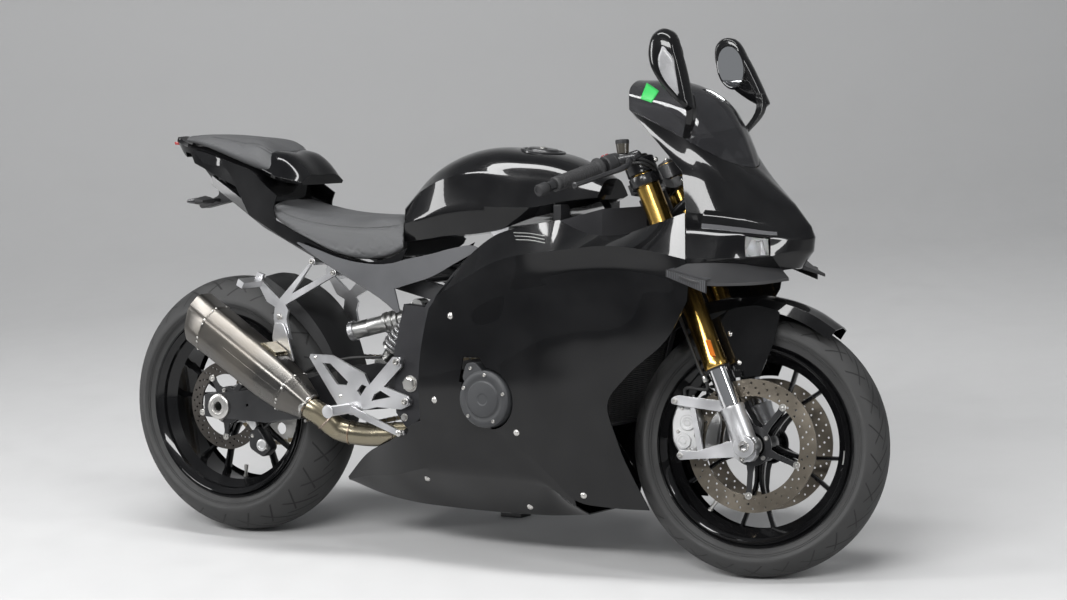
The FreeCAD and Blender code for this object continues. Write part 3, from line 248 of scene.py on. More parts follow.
@dataclass(frozen=True)
class Finish:
    """One surface finish, given as plain shader values.

    Args:
        name: the material's name.
        colour: base colour.
        rough: roughness.
        metal: metallic share.
        coat: clear coat's weight.
        texture: the fine surface.
        size: the fine surface's features per metre.
        depth: the fine surface's bump distance in millimetres.
        shift: how far marks lighten or darken the colour.
        clear: transmission share, for lenses and screens.
        alpha: opacity.
        tint: the colour of the marks, where shift isn't enough.
        spec: the base layer's mirror level.
    """

    name: str
    colour: tuple[float, float, float]
    rough: float = 0.4
    metal: float = 0.0
    coat: float = 0.0
    texture: Texture = Texture.SMOOTH
    size: float = 600.0
    depth: float = 0.02
    shift: float = 0.25
    clear: float = 0.0
    alpha: float = 1.0
    tint: tuple[float, float, float] | None = None
    spec: float = 0.5

    def material(self) -> bpy.types.Material:
        """The Blender material of this finish, made at its first use.

        Returns:
            The material.
        """
        found = bpy.data.materials.get("finish_" + self.name)
        if found is not None:
            return found
        mat = bpy.data.materials.new("finish_" + self.name)
        mat.use_nodes = True
        n, link = mat.node_tree.nodes, mat.node_tree.links
        shader = n["Principled BSDF"]
        shader.inputs["Metallic"].default_value = self.metal
        shader.inputs["Coat Weight"].default_value = self.coat
        shader.inputs["Coat Roughness"].default_value = 0.03
        shader.inputs["Transmission Weight"].default_value = self.clear
        shader.inputs["Alpha"].default_value = self.alpha
        shader.inputs["Specular IOR Level"].default_value = self.spec
        shader.inputs["Roughness"].default_value = self.rough
        shader.inputs["Base Color"].default_value = (*self.colour, 1.0)
        marks = n.new("ShaderNodeGroup")
        marks.node_tree = KIT.wear()
        marks.inputs["Scale"].default_value = 9.0
        tone = n.new("ShaderNodeMix")
        tone.data_type = "RGBA"
        tone.inputs["A"].default_value = (*self.colour, 1.0)
        other = self.tint or tuple(min(1.0, c * (1.0 + self.shift) + 0.004 * (1.0 - self.clear)) for c in self.colour)
        tone.inputs["B"].default_value = (*other, 1.0)
        link.new(marks.outputs["Cloud"], tone.inputs["Factor"])
        link.new(tone.outputs["Result"], shader.inputs["Base Color"])
        if self.clear < 0.5:
            rough = n.new("ShaderNodeMapRange")
            rough.inputs["To Min"].default_value = max(0.02, self.rough * 0.85)
            rough.inputs["To Max"].default_value = min(1.0, self.rough * 1.25)
            link.new(marks.outputs["Cloud"], rough.inputs["Value"])
            link.new(rough.outputs["Result"], shader.inputs["Roughness"])
        if self.texture is not Texture.SMOOTH:
            relief = n.new("ShaderNodeGroup")
            relief.node_tree = KIT.relief(self.texture)
            relief.inputs["Size"].default_value = self.size
            bump = n.new("ShaderNodeBump")
            bump.inputs["Strength"].default_value = 0.5
            bump.inputs["Distance"].default_value = self.depth * MM
            link.new(relief.outputs["Height"], bump.inputs["Height"])
            link.new(bump.outputs["Normal"], shader.inputs["Normal"])
        return mat


GLOSS_BLACK = Finish("gloss_black", (0.003, 0.003, 0.0034), 0.2, coat=0.6, texture=Texture.PEEL, size=350.0,
                     depth=0.004, shift=0.1, spec=0.06)
BLACK_PAINT = Finish("black_paint", (0.009, 0.009, 0.01), 0.32, coat=0.3, texture=Texture.CAST, size=900.0, depth=0.03)
FRAME_GREY = Finish("frame_grey", (0.016, 0.016, 0.018), 0.5, texture=Texture.CAST, size=1100.0, depth=0.04, spec=0.25)
ENGINE_BLACK = Finish("engine_black", (0.02, 0.02, 0.021), 0.5, 0.3, texture=Texture.CAST, size=700.0, depth=0.08)
MATT_BLACK = Finish("matt_black", (0.016, 0.016, 0.017), 0.56, texture=Texture.GRAIN, size=1500.0, depth=0.05, spec=0.3)
COVER_GREY = Finish("cover_grey", (0.055, 0.056, 0.06), 0.5, texture=Texture.GRAIN, size=1300.0, depth=0.04)
SEAT_COVER = Finish("seat_cover", (0.055, 0.056, 0.058), 0.62, texture=Texture.LEATHER, size=620.0, depth=0.12)
STEEL = Finish("machined_steel", (0.50, 0.49, 0.47), 0.3, 1.0, texture=Texture.BRUSHED, size=900.0, depth=0.01)
DISC_STEEL = Finish("disc_steel", (0.17, 0.15, 0.122), 0.36, 1.0, texture=Texture.BRUSHED, size=500.0, depth=0.02)
REAR_STEEL = Finish("rear_disc_steel", (0.06, 0.055, 0.05), 0.4, 1.0, texture=Texture.BRUSHED, size=500.0, depth=0.02)
CHROME = Finish("hard_chrome", (0.72, 0.72, 0.73), 0.09, 1.0, shift=0.02)
SILVER = Finish("silver_alloy", (0.56, 0.56, 0.57), 0.36, 1.0, texture=Texture.CAST, size=1500.0, depth=0.02, shift=0.1)
GOLD = Finish("gold_tube", (0.60, 0.38, 0.10), 0.22, 1.0, texture=Texture.BRUSHED, size=500.0, depth=0.008, shift=0.1)
TITANIUM = Finish("satin_titanium", (0.13, 0.125, 0.118), 0.3, 1.0, texture=Texture.BRUSHED, size=420.0, depth=0.03,
                  tint=(0.15, 0.138, 0.122))
WARM_PIPE = Finish("warm_pipe", (0.25, 0.225, 0.17), 0.28, 1.0, texture=Texture.BRUSHED, size=420.0, depth=0.03,
                   tint=(0.27, 0.235, 0.16))
HEATED = Finish("heated_pipe", (0.34, 0.25, 0.17), 0.3, 1.0, texture=Texture.BRUSHED, size=300.0, depth=0.02,
                tint=(0.25, 0.22, 0.21))
TYRE = Finish("tyre_rubber", (0.018, 0.018, 0.018), 0.68, texture=Texture.RUBBER, size=900.0, depth=0.08, shift=0.5)
GRIP = Finish("grip_rubber", (0.016, 0.016, 0.017), 0.6, texture=Texture.GRAIN, size=1100.0, depth=0.06)
SCREEN = Finish("smoke_screen", (0.03, 0.03, 0.033), 0.05, clear=0.55, alpha=0.86, shift=0.05)
LENS = Finish("clear_lens", (0.7, 0.72, 0.75), 0.03, clear=1.0, shift=0.0)
LAMP_COVER = Finish("lamp_cover", (0.01, 0.01, 0.011), 0.03, alpha=0.2, shift=0.0)
DAYLIGHT = Finish("daylight_lens", (0.07, 0.07, 0.074), 0.16, coat=0.4, texture=Texture.GRAIN, size=240.0, depth=0.2)
REFLECTOR = Finish("lamp_reflector", (0.42, 0.43, 0.45), 0.16, 1.0, shift=0.05)
DARK_LENS = Finish("dark_lens", (0.02, 0.02, 0.022), 0.06, coat=0.6, shift=0.1)
RED_LENS = Finish("red_lens", (0.28, 0.012, 0.012), 0.12, coat=0.5, texture=Texture.GRAIN, size=260.0, depth=0.2)
AMBER = Finish("amber_reflector", (0.62, 0.16, 0.012), 0.18, coat=0.6, texture=Texture.GRAIN, size=420.0, depth=0.2)
RADIATOR = Finish("radiator_black", (0.03, 0.03, 0.03), 0.5, 0.5, shift=0.4)
GREEN = Finish("green_sticker", (0.015, 0.34, 0.06), 0.5, shift=0.05)
MIRROR = Finish("mirror_face", (0.8, 0.81, 0.82), 0.02, 1.0, shift=0.0)

SLOT_FINISH: dict[str, Finish] = {
    "frame_grey": FRAME_GREY, "frame_black": BLACK_PAINT, "engine_black": ENGINE_BLACK, "steel": STEEL,
    "disc_steel": DISC_STEEL, "titanium": TITANIUM, "silver": SILVER, "radiator_alloy": RADIATOR, "gold": GOLD,
    "gloss_black_metal": GLOSS_BLACK, "gloss_black": GLOSS_BLACK, "matt_black": MATT_BLACK, "cover_grey": COVER_GREY,
    "seat": SEAT_COVER, "tyre": TYRE, "grip": GRIP, "screen": SCREEN, "lamp": LENS, "tail_red": RED_LENS,
    "amber": AMBER}


# Curves and grids


def spline(points: list[Vector], steps: int, sharp: frozenset[int] = frozenset(), closed: bool = False) -> list[Vector]:
    """A smooth line through points, with a corner at the sharp ones.

    Args:
        points: what the line passes through.
        steps: how many parts each stretch is cut into.
        sharp: indices of the points where the line may turn a corner.
        closed: whether the line returns to its start.

    Returns:
        The points of the line.
    """
    count = len(points)
    last = count if closed else count - 1

    def tangent(i: int, j: int) -> Vector:
        """The line's direction per unit of length at point i, on the stretch towards j.

        Args:
            i: the point's index.
            j: the index of the stretch's other end.

        Returns:
            The direction.
        """
        a, b = points[i], points[j]
        if i in sharp or (not closed and i in (0, count - 1)):
            step = (b - a) if j > i or (closed and j == 0) else (a - b)
            return step / max(step.length, 1e-9)
        before, after = points[i - 1], points[(i + 1) % count]
        d0, d1 = max((a - before).length, 1e-9), max((after - a).length, 1e-9)
        return ((a - before) / d0 * d1 + (after - a) / d1 * d0) / (d0 + d1)

    out: list[Vector] = []
    for i in range(last):
        j = (i + 1) % count
        a, b = points[i], points[j]
        length = (b - a).length
        ta, tb = tangent(i, j), tangent(j, i) if not (closed and j == 0) else tangent(0, 1)
        for k in range(steps):
            t = k / steps
            out.append(a * (2 * t ** 3 - 3 * t ** 2 + 1) + ta * length * (t ** 3 - 2 * t ** 2 + t)
                       + b * (3 * t ** 2 - 2 * t ** 3) + tb * length * (t ** 3 - t ** 2))
    if not closed:
        out.append(points[-1].copy())
    return out


def dense(rows: list[list[Point]], down: int = 6, along: int = 6, sharp_rows: tuple[int, ...] = (),
          sharp_columns: tuple[int, ...] = ()) -> Rows:
    """A fine grid of points on the smooth surface through a coarse one.

    Args:
        rows: the coarse grid.
        down: parts between two rows.
        along: parts between two columns.
        sharp_rows: rows that are creases.
        sharp_columns: columns that are creases.

    Returns:
        The fine grid, row by row.
    """
    wide = [spline([Vector(p) for p in row], along, frozenset(sharp_columns)) for row in rows]
    columns = [spline([row[j] for row in wide], down, frozenset(sharp_rows)) for j in range(len(wide[0]))]
    return [[column[i] for column in columns] for i in range(len(columns[0]))]


def ring(centre: Vector, normal: Vector, radius: float, sides: int = 24,
         up: Vector = Vector((0, 0, 1))) -> list[Vector]:
    """A circle of points.

    Args:
        centre: its centre.
        normal: the line it lies square to.
        radius: its radius.
        sides: how many points.
        up: a direction that fixes where the circle starts.

    Returns:
        The points.
    """
    n = normal.normalized()
    a = up - n * up.dot(n)
    a = a.normalized() if a.length > 1e-6 else n.orthogonal().normalized()
    b = n.cross(a)
    return [centre + (a * math.cos(t) + b * math.sin(t)) * radius
            for t in (2 * math.pi * k / sides for k in range(sides))]


class Shape:
    """Collects points and faces in bike millimetres and becomes one finished piece."""

    def __init__(self, name: str) -> None:
        """Starts an empty shape.

        Args:
            name: the piece's name.
        """
        self.name = name
        self.points: list[Vector] = []
        self.faces: list[tuple[int, ...]] = []
        self.paints: list[int] = []
        self.maps: Flat = []
        self.paint = 0

    def _put(self, points: list[Vector], maps: Flat | None = None) -> int:
        """Adds points and returns the first one's index.

        Args:
            points: the points.
            maps: each point's place on the surface's map, or none for points without one.

        Returns:
            The first point's index.
        """
        first = len(self.points)
        self.points += points
        self.maps += maps or [(0.0, 0.0)] * len(points)
        return first

    def _face(self, *corners: int) -> None:
        """Adds one face in the current paint."""
        self.faces.append(corners)
        self.paints.append(self.paint)

    def grid(self, rows: Rows, close: bool = False, skip: frozenset[tuple[int, int]] = frozenset()) -> "Shape":
        """Adds a grid of faces.

        Args:
            rows: the grid's points.
            close: whether each row returns to its start.
            skip: cells that stay open, by row and column.

        Returns:
            This shape.
        """
        wide, tall = len(rows[0]), len(rows)
        maps = [(j / max(wide - 1, 1), i / max(tall - 1, 1)) for i in range(tall) for j in range(wide)]
        first = self._put([p for row in rows for p in row], maps)
        for i in range(tall - 1):
            for j in range(wide if close else wide - 1):
                if (i, j) in skip:
                    continue
                k = (j + 1) % wide
                self._face(first + i * wide + j, first + i * wide + k, first + (i + 1) * wide + k,
                           first + (i + 1) * wide + j)
        return self

    def loft(self, rings: Rows, caps: bool = True) -> "Shape":
        """Adds a skin through closed rings of equal counts, with flat ends if asked.

        Args:
            rings: the rings, in order.
            caps: whether its ends are closed.

        Returns:
            This shape.
        """
        first = len(self.points)
        self.grid(rings, close=True)
        if caps:
            wide = len(rings[0])
            self._face(*reversed(range(first, first + wide)))
            start = first + (len(rings) - 1) * wide
            self._face(*range(start, start + wide))
        return self

    def rod(self, a: Vector, b: Vector, radius: float, sides: int = 24, edge: float = 0.0) -> "Shape":
        """Adds a round bar with an optional small chamfer at both ends.

        Args:
            a: its start.
            b: its end.
            radius: its radius.
            sides: points round it.
            edge: the chamfer's width.

        Returns:
            This shape.
        """
        a, b = Vector(a), Vector(b)
        d = (b - a).normalized()
        marks = [(a, radius - edge), (a + d * edge, radius), (b - d * edge, radius), (b, radius - edge)] \
            if edge else [(a, radius), (b, radius)]
        return self.loft([ring(p, d, r, sides) for p, r in marks])

    def turned(self, a: Vector, axis: Vector, profile: Flat, sides: int = 32,
               caps: bool = True) -> "Shape":
        """Adds a turned form.

        Args:
            a: the axis's start.
            axis: its direction.
            profile: distance along the axis and radius, in order.
            sides: points round it.
            caps: whether its ends are closed.

        Returns:
            This shape.
        """
        d = Vector(axis).normalized()
        return self.loft([ring(Vector(a) + d * s, d, r, sides) for s, r in profile], caps)

    def hose(self, path: list[Vector], radius: float, sides: int = 12, caps: bool = True) -> "Shape":
        """Adds a round tube along a path, without twist.

        Args:
            path: its middle line.
            radius: its radius.
            sides: points round it.
            caps: whether its ends are closed.

        Returns:
            This shape.
        """
        rings: Rows = []
        up = Vector((0.13, 0.31, 0.94))
        for i, p in enumerate(path):
            d = (path[min(i + 1, len(path) - 1)] - path[max(i - 1, 0)]).normalized()
            up = (up - d * up.dot(d)).normalized()
            rings.append(ring(p, d, radius, sides, up))
        return self.loft(rings, caps)

    def slab(self, outline: list[Vector], lift: Vector) -> "Shape":
        """Adds a plate: a flat outline moved by lift."""
        return self.loft([outline, [p + lift for p in outline]])

    def model(self) -> bpy.types.Object:
        """The shape as an object that other pieces copy; it isn't in the scene and has no place of its own.

        Returns:
            The object.
        """
        mesh = bpy.data.meshes.new(self.name)
        mesh.from_pydata(self.points, [], self.faces)
        for polygon in mesh.polygons:
            polygon.use_smooth = True
        return bpy.data.objects.new(self.name, mesh)

    def build(self, bike: "BikeFrame", body: Body, *finishes: Finish, slot: str = "", replaces: tuple[str, ...] = (),
              bevel: float = 0.0, smooth: float = SMOOTH_ANGLE) -> bpy.types.Object:
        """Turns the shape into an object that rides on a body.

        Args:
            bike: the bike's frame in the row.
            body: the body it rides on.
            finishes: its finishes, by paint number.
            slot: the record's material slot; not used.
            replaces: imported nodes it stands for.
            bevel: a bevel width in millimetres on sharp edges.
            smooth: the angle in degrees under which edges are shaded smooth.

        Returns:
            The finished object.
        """
        place = bike.of(body)
        mesh = bpy.data.meshes.new(self.name)
        mesh.from_pydata([place @ (p * MM) for p in self.points], [], self.faces)
        layer = mesh.uv_layers.new(name="surface")
        for loop in mesh.loops:
            layer.data[loop.index].uv = self.maps[loop.vertex_index]
        for polygon, paint in zip(mesh.polygons, self.paints):
            polygon.material_index = min(paint, len(finishes) - 1)
            polygon.use_smooth = True
        for finish in finishes:
            mesh.materials.append(finish.material())
        work = bmesh.new()
        work.from_mesh(mesh)
        bmesh.ops.remove_doubles(work, verts=work.verts, dist=WELD_GAP)
        bmesh.ops.recalc_face_normals(work, faces=work.faces)
        limit = math.radians(smooth)
        for edge in work.edges:
            if len(edge.link_faces) == 2 and edge.calc_face_angle(0.0) > limit:
                edge.smooth = False
        work.to_mesh(mesh)
        work.free()
        obj = bpy.data.objects.new(self.name, mesh)
        bpy.context.scene.collection.objects.link(obj)
        if bevel:
            _bevel(obj, bevel)
        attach(obj, body.value)
        if replaces:
            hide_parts(*replaces)
        return obj


def _bevel(obj: bpy.types.Object, width: float, angle: float = 32.0) -> None:
    """Rounds an object's sharp edges.

    Args:
        obj: the object.
        width: the round's width in millimetres.
        angle: edges sharper than this, in degrees, are rounded.
    """
    mod = obj.modifiers.new("edges", "BEVEL")
    mod.width, mod.segments, mod.limit_method = width * MM, 2, "ANGLE"
    mod.angle_limit = math.radians(angle)
    mod.harden_normals = True


def _shell(obj: bpy.types.Object, thickness: float, offset: float = -1.0) -> None:
    """Gives an open skin a wall.

    Args:
        obj: the skin.
        thickness: the wall in millimetres.
        offset: -1 to grow it inwards, 1 outwards and 0 both ways.
    """
    wall = obj.modifiers.new("wall", "SOLIDIFY")
    wall.thickness, wall.offset = thickness * MM, offset


def _face_out(obj: bpy.types.Object, core: Vector) -> None:
    """Turns an open skin's faces so that they look away from a point inside it.

    Args:
        obj: the skin.
        core: the point, in metres in the row.
    """
    total = sum((p.center - core).normalized().dot(p.normal) * p.area for p in obj.data.polygons)
    if total < 0:
        obj.data.flip_normals()


def finish_skin(obj: bpy.types.Object, core: Vector, wall: float, edge: float, angle: float = 50.0) -> None:
    """Turns an open skin outwards, gives it a wall and rounds its edges.

    Args:
        obj: the skin.
        core: a point inside it, in metres in the row.
        wall: its thickness in millimetres, grown inwards.
        edge: the round's width in millimetres.
        angle: edges sharper than this, in degrees, are rounded.
    """
    _face_out(obj, core)
    _shell(obj, wall)
    _bevel(obj, edge, angle)


def sided(p: Vector, s: float) -> Vector:
    """A point with its Y multiplied by s, which is 1 or -1."""
    return Vector((p.x, p.y * s, p.z))


@dataclass
class BikeFrame:
    """The bike's own frame and its turned front's frame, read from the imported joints.

    Args:
        rake: the steering axis's angle from upright.
        trail: the front wheel's trail in millimetres.
        rear_axle: the rear axle in the bike's frame, in metres.
        front_axle: the front axle in the bike's frame, in metres.
        chassis: the frame of everything but the turned front, in the row.
        front: the turned front's frame, in the row.
    """

    rake: float = math.radians(23.8)
    trail: float = 99.8
    rear_axle: Point = (0.0, 0.0, 0.320)
    front_axle: Point = (1.457, 0.0, 0.300)
    chassis: Matrix = field(default_factory=Matrix)
    front: Matrix = field(default_factory=Matrix)

    def read(self, joints: list[dict]) -> "BikeFrame":
        """Works out both frames.

        Args:
            joints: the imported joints.

        Returns:
            This frame.
        """
        by = {j["name"]: j for j in joints}
        steer = Vector(by["steering"]["axis"]).normalized()
        self.chassis = self._frame(by["rear_wheel_spin"], steer, Vector(self.rear_axle))
        self.front = self._frame(by["front_wheel_spin"], steer, Vector(self.front_axle))
        return self

    def _frame(self, joint: dict, steer: Vector, axle: Vector) -> Matrix:
        """The frame whose Y runs along a wheel's joint and whose rake follows the steering axis.

        Args:
            joint: the wheel's packed joint.
            steer: the steering axis's direction.
            axle: the axle's middle in the bike's frame, in metres.

        Returns:
            The frame in the row.
        """
        y = Vector(joint["axis"]).normalized()
        ahead = y.cross(steer).normalized()
        x = ahead * math.cos(self.rake) - steer * math.sin(self.rake)
        z = x.cross(y)
        turn = Matrix((x, y, z)).transposed()
        return Matrix.Translation(Vector(joint["pos_m"]) - turn @ axle) @ turn.to_4x4()

    def fork(self, s: float, y: float = 0.0, ahead: float = 0.0) -> Vector:
        """The point a distance s up the steering axis, moved ahead square to it and across by y."""
        return Vector((FRONT_AXLE.x + self.trail - math.sin(self.rake) * s + math.cos(self.rake) * ahead, y,
                       math.cos(self.rake) * s + math.sin(self.rake) * ahead))

    def of(self, body: Body) -> Matrix:
        """The frame that a body's pieces are placed in."""
        return self.front if body in (Body.STEERING, Body.FRONT_WHEEL) else self.chassis

    @property
    def fork_up(self) -> Vector:
        """The steering axis's direction."""
        return Vector((-math.sin(self.rake), 0.0, math.cos(self.rake)))


@dataclass
class Assembly:
    """A group of pieces that are placed through the bike's frame.

    Args:
        bike: the bike's frame.
    """

    bike: BikeFrame

    @property
    def fixed(self) -> tuple[BikeFrame, Body]:
        """The frame and body of pieces on the chassis."""
        return self.bike, Body.CHASSIS

    @property
    def steered(self) -> tuple[BikeFrame, Body]:
        """The frame and body of pieces that turn with the bars."""
        return self.bike, Body.STEERING


# Working tools on whole objects


def bake(obj: bpy.types.Object) -> bpy.types.Object:
    """Replaces an object's mesh with its evaluated one and drops its modifiers.

    Args:
        obj: the object.

    Returns:
        The same object.
    """
    bpy.context.view_layer.update()
    graph = bpy.context.evaluated_depsgraph_get()
    mesh = bpy.data.meshes.new_from_object(obj.evaluated_get(graph), preserve_all_data_layers=True, depsgraph=graph)
    obj.modifiers.clear()
    obj.data = mesh
    return obj


def carve(obj: bpy.types.Object, tools: list[bpy.types.Object], operation: str = "DIFFERENCE") -> bpy.types.Object:
    """Cuts an object with others, which are then removed.

    Args:
        obj: the object.
        tools: closed cutting objects.
        operation: the boolean operation.

    Returns:
        The cut object.
    """
    for tool in tools:
        cut = obj.modifiers.new("cut", "BOOLEAN")
        cut.operation, cut.solver, cut.object = operation, "EXACT", tool
    bake(obj)
    for tool in tools:
        bpy.data.objects.remove(tool)
    work = bmesh.new()
    work.from_mesh(obj.data)
    bmesh.ops.remove_doubles(work, verts=work.verts, dist=WELD_GAP)
    bmesh.ops.dissolve_degenerate(work, edges=work.edges, dist=WELD_GAP)
    for edge in work.edges:
        if len(edge.link_faces) == 2 and edge.calc_face_angle(0.0) > math.radians(SMOOTH_ANGLE):
            edge.smooth = False
    for face in work.faces:
        face.smooth = True
    work.to_mesh(obj.data)
    work.free()
    return obj


def panel(name: str, outline: Flat, depth: Callable[[float, float], float], steps: int = 4,
          cell: float = 14.0, sharp: frozenset[int] = frozenset()) -> Shape:
    """A skin over an outline seen from the side.

    Args:
        name: the piece's name.
        outline: corners as x and z.
        depth: gives y for an x and a z.
        steps: parts of each side of the outline.
        cell: the size of the grid that the skin is cut into.
        sharp: corners that stay sharp.

    Returns:
        The open skin.
    """
    corners = [Vector((x, 0.0, z)) for x, z in outline]
    loop = spline(corners, steps, sharp, closed=True)
    work = bmesh.new()
    work.faces.new([work.verts.new(p) for p in loop])
    low = [min(p[k] for p in loop) for k in (0, 2)]
    high = [max(p[k] for p in loop) for k in (0, 2)]
    for axis, normal in ((0, (1, 0, 0)), (1, (0, 0, 1))):
        for k in range(1, int((high[axis] - low[axis]) / cell) + 1):
            place = [0.0, 0.0, 0.0]
            place[0 if axis == 0 else 2] = low[axis] + k * cell
            geometry = list(work.verts) + list(work.edges) + list(work.faces)
            bmesh.ops.bisect_plane(work, geom=geometry, plane_co=place, plane_no=normal, dist=0.01)
    shape = Shape(name)
    shape._put([Vector((v.co.x, depth(v.co.x, v.co.z), v.co.z)) for v in work.verts],
               [(v.co.x / 100.0, v.co.z / 100.0) for v in work.verts])
    work.verts.index_update()
    for face in work.faces:
        shape._face(*[v.index for v in face.verts])
    work.free()
    return shape


def over(rows: list[list[Point]]) -> Callable[[float, float], float]:
    """The depth y of a coarse side surface at an x and a z, by straight-line blending.

    Args:
        rows: points, upper row first, each row from the rear to the front.

    Returns:
        The function from x and z to y.
    """
    def level(row: list[Point], x: float) -> tuple[float, float]:
        """The row's y and z at x.

        Args:
            row: the row's points, from the rear to the front.
            x: the place.

        Returns:
            Its y and z there.
        """
        for a, b in zip(row, row[1:]):
            if x <= b[0] or b is row[-1]:
                t = (x - a[0]) / (b[0] - a[0])
                t = t * t * (3 - 2 * t) * 0.35 + t * 0.65 if 0 <= t <= 1 else t
                return a[1] + (b[1] - a[1]) * t, a[2] + (b[2] - a[2]) * t
        return row[-1][1], row[-1][2]

    def depth(x: float, z: float) -> float:
        """The surface's y.

        Args:
            x: the place along the bike.
            z: its height.

        Returns:
            The y there.
        """
        marks = [level(row, x) for row in rows]
        for (y0, z0), (y1, z1) in zip(marks, marks[1:]):
            if z >= z1 or (y1, z1) == marks[-1]:
                t = (z - z0) / (z1 - z0)
                return y0 + (y1 - y0) * t
        return marks[-1][0]

    return depth


def half_section(x: float, half: Flat) -> list[Point]:
    """A closed cross-section from its right half, from the top centre down and back up the left.

    Args:
        x: where it stands.
        half: y and z from the top centre to the bottom corner.

    Returns:
        The ring of points.
    """
    return [(x, -y, z) for y, z in half] + [(x, y, z) for y, z in reversed(half) if y > 0]


def sections(table: dict[float, Flat], down: int = 5, along: int = 6,
             sharp: tuple[int, ...] = ()) -> Rows:
    """Smooth rings through a table of half sections.

    Args:
        table: half sections by x.
        down: parts between two sections.
        along: parts between two points of a ring.
        sharp: points of the half section that are edges.

    Returns:
        The rings.
    """
    rings = [half_section(x, half) for x, half in table.items()]
    count = len(rings[0])
    edges = frozenset([*sharp, *[(count - k) % count for k in sharp]])
    wide = [spline([Vector(p) for p in ring_], along, edges, closed=True) for ring_ in rings]
    columns = [spline([row[j] for row in wide], down) for j in range(len(wide[0]))]
    return [[column[i] for column in columns] for i in range(len(columns[0]))]


# Tables of the bodywork, as in the part's source

NOSE: list[list[Point]] = [
    [(1400, -226, 692), (1430, -198, 692), (1465, -158, 693), (1500, -108, 696), (1535, -55, 702), (1558, 0, 706)],
    [(1394, -231, 735), (1440, -208, 735), (1497, -147, 735), (1535, -100, 738), (1564, -54, 742), (1588, 0, 744)],
    [(1374, -196, 794), (1430, -172, 790), (1490, -136, 784), (1532, -95, 779), (1568, -50, 776), (1592, 0, 776)],
    [(1352, -158, 834), (1412, -136, 828), (1470, -108, 818), (1522, -76, 806), (1558, -40, 802), (1584, 0, 800)],
    [(1335, -146, 925), (1390, -126, 905), (1440, -98, 886), (1488, -68, 866), (1524, -36, 852), (1543, 0, 848)],
    [(1194, -138, 1062), (1300, -134, 1014), (1380, -116, 970), (1414, -76, 946), (1434, -38, 934), (1444, 0, 930)]]
SCREEN_ROWS: list[list[Point]] = [
    [(1194, -137.6, 1062.5), (1300, -133.6, 1014.5), (1380, -115.6, 970.5), (1414, -75.7, 946.5),
     (1434, -37.7, 934.5)],
    [(1180, -112, 1104), (1290, -110, 1066), (1368, -96, 1018), (1404, -62, 984), (1436.5, -28, 933.6)],
    [(1168, -64, 1124), (1280, -62, 1108), (1356, -56, 1068), (1398, -38, 1012), (1439.2, -18, 932.5)],
    [(1162, 0, 1128), (1276, 0, 1120), (1354, 0, 1084), (1402, 0, 1020), (1443.8, 0, 930.6)]]
FAIRING: list[list[Point]] = [
    [(752, -202, 676), (800, -200, 722), (870, -194, 772), (950, -190, 795), (1036, -184, 810), (1096, -178, 784),
     (1195, -176, 780), (1273, -172, 804), (1350, -158, 832)],
    [(721, -222, 627), (792, -232, 664), (915, -240, 720), (985, -242, 734), (1050, -243, 742), (1110, -243, 750),
     (1200, -242, 758), (1290, -240, 752), (1392, -231, 733)],
    [(712, -221, 612), (790, -232, 630), (915, -240, 680), (985, -236, 694), (1050, -230, 702), (1110, -226, 708),
     (1200, -225, 712), (1290, -230, 708), (1398, -229, 697)],
    [(700, -220, 598), (790, -231, 592), (915, -238, 640), (985, -232, 652), (1060, -226, 664), (1120, -224, 668),
     (1200, -224, 670), (1290, -228, 662), (1392, -224, 640)],
    [(690, -219, 565), (790, -230, 555), (905, -234, 575), (970, -233, 582), (1040, -232, 590), (1120, -230, 596),
     (1200, -226, 592), (1270, -222, 582), (1345, -218, 562)],
    [(672, -217, 480), (785, -228, 470), (900, -230, 475), (955, -229, 475), (1010, -227, 475), (1070, -223, 472),
     (1120, -219, 468), (1170, -214, 463), (1222, -206, 458)],
    [(666, -215, 420), (780, -224, 405), (890, -226, 405), (940, -224, 405), (990, -222, 405), (1040, -218, 405),
     (1085, -213, 404), (1130, -207, 403), (1174, -200, 402)],
    [(665, -209, 352), (768, -214, 340), (875, -214, 336), (920, -212, 322), (970, -206, 304), (1020, -199, 296),
     (1070, -192, 292), (1120, -184, 296), (1184, -176, 310)],
    [(665, -206, 325), (760, -209, 322), (870, -208, 318), (915, -203, 292), (965, -194, 262), (1010, -180, 218),
     (1062, -160, 165), (1150, -148, 152), (1248, -140, 152)]]
BELLY: list[tuple[float, ...]] = [
    (372, 88, 166, 84, 158, 60, 150), (450, 120, 230, 112, 176, 66, 130), (560, 172, 276, 150, 190, 78, 116),
    (665, 202.4, 330, 172, 215, 90, 113), (760, 205.4, 327, 176, 215, 96, 112),
    (870, 204.4, 323, 174, 215, 96, 112), (962, 191, 267, 168, 206, 92, 114),
    (1058, 156.4, 167, 148, 148, 88, 122)]
TANK: dict[float, Flat] = {
    500: [(0, 806), (45, 800), (78, 780), (92, 760), (70, 735)],
    560: [(0, 866), (62, 855), (106, 826), (128, 785), (110, 745)],
    620: [(0, 922), (76, 904), (126, 868), (144, 800), (128, 752)],
    700: [(0, 958), (84, 940), (138, 900), (156, 820), (140, 764)],
    780: [(0, 970), (86, 954), (134, 910), (162, 835), (150, 770)],
    860: [(0, 963), (80, 950), (126, 898), (164, 835), (152, 784)],
    940: [(0, 953), (70, 942), (114, 892), (150, 836), (138, 812)],
    1010: [(0, 930), (55, 920), (88, 884), (112, 850), (90, 832)],
    1070: [(0, 900), (38, 893), (60, 872), (70, 858), (50, 852)]}
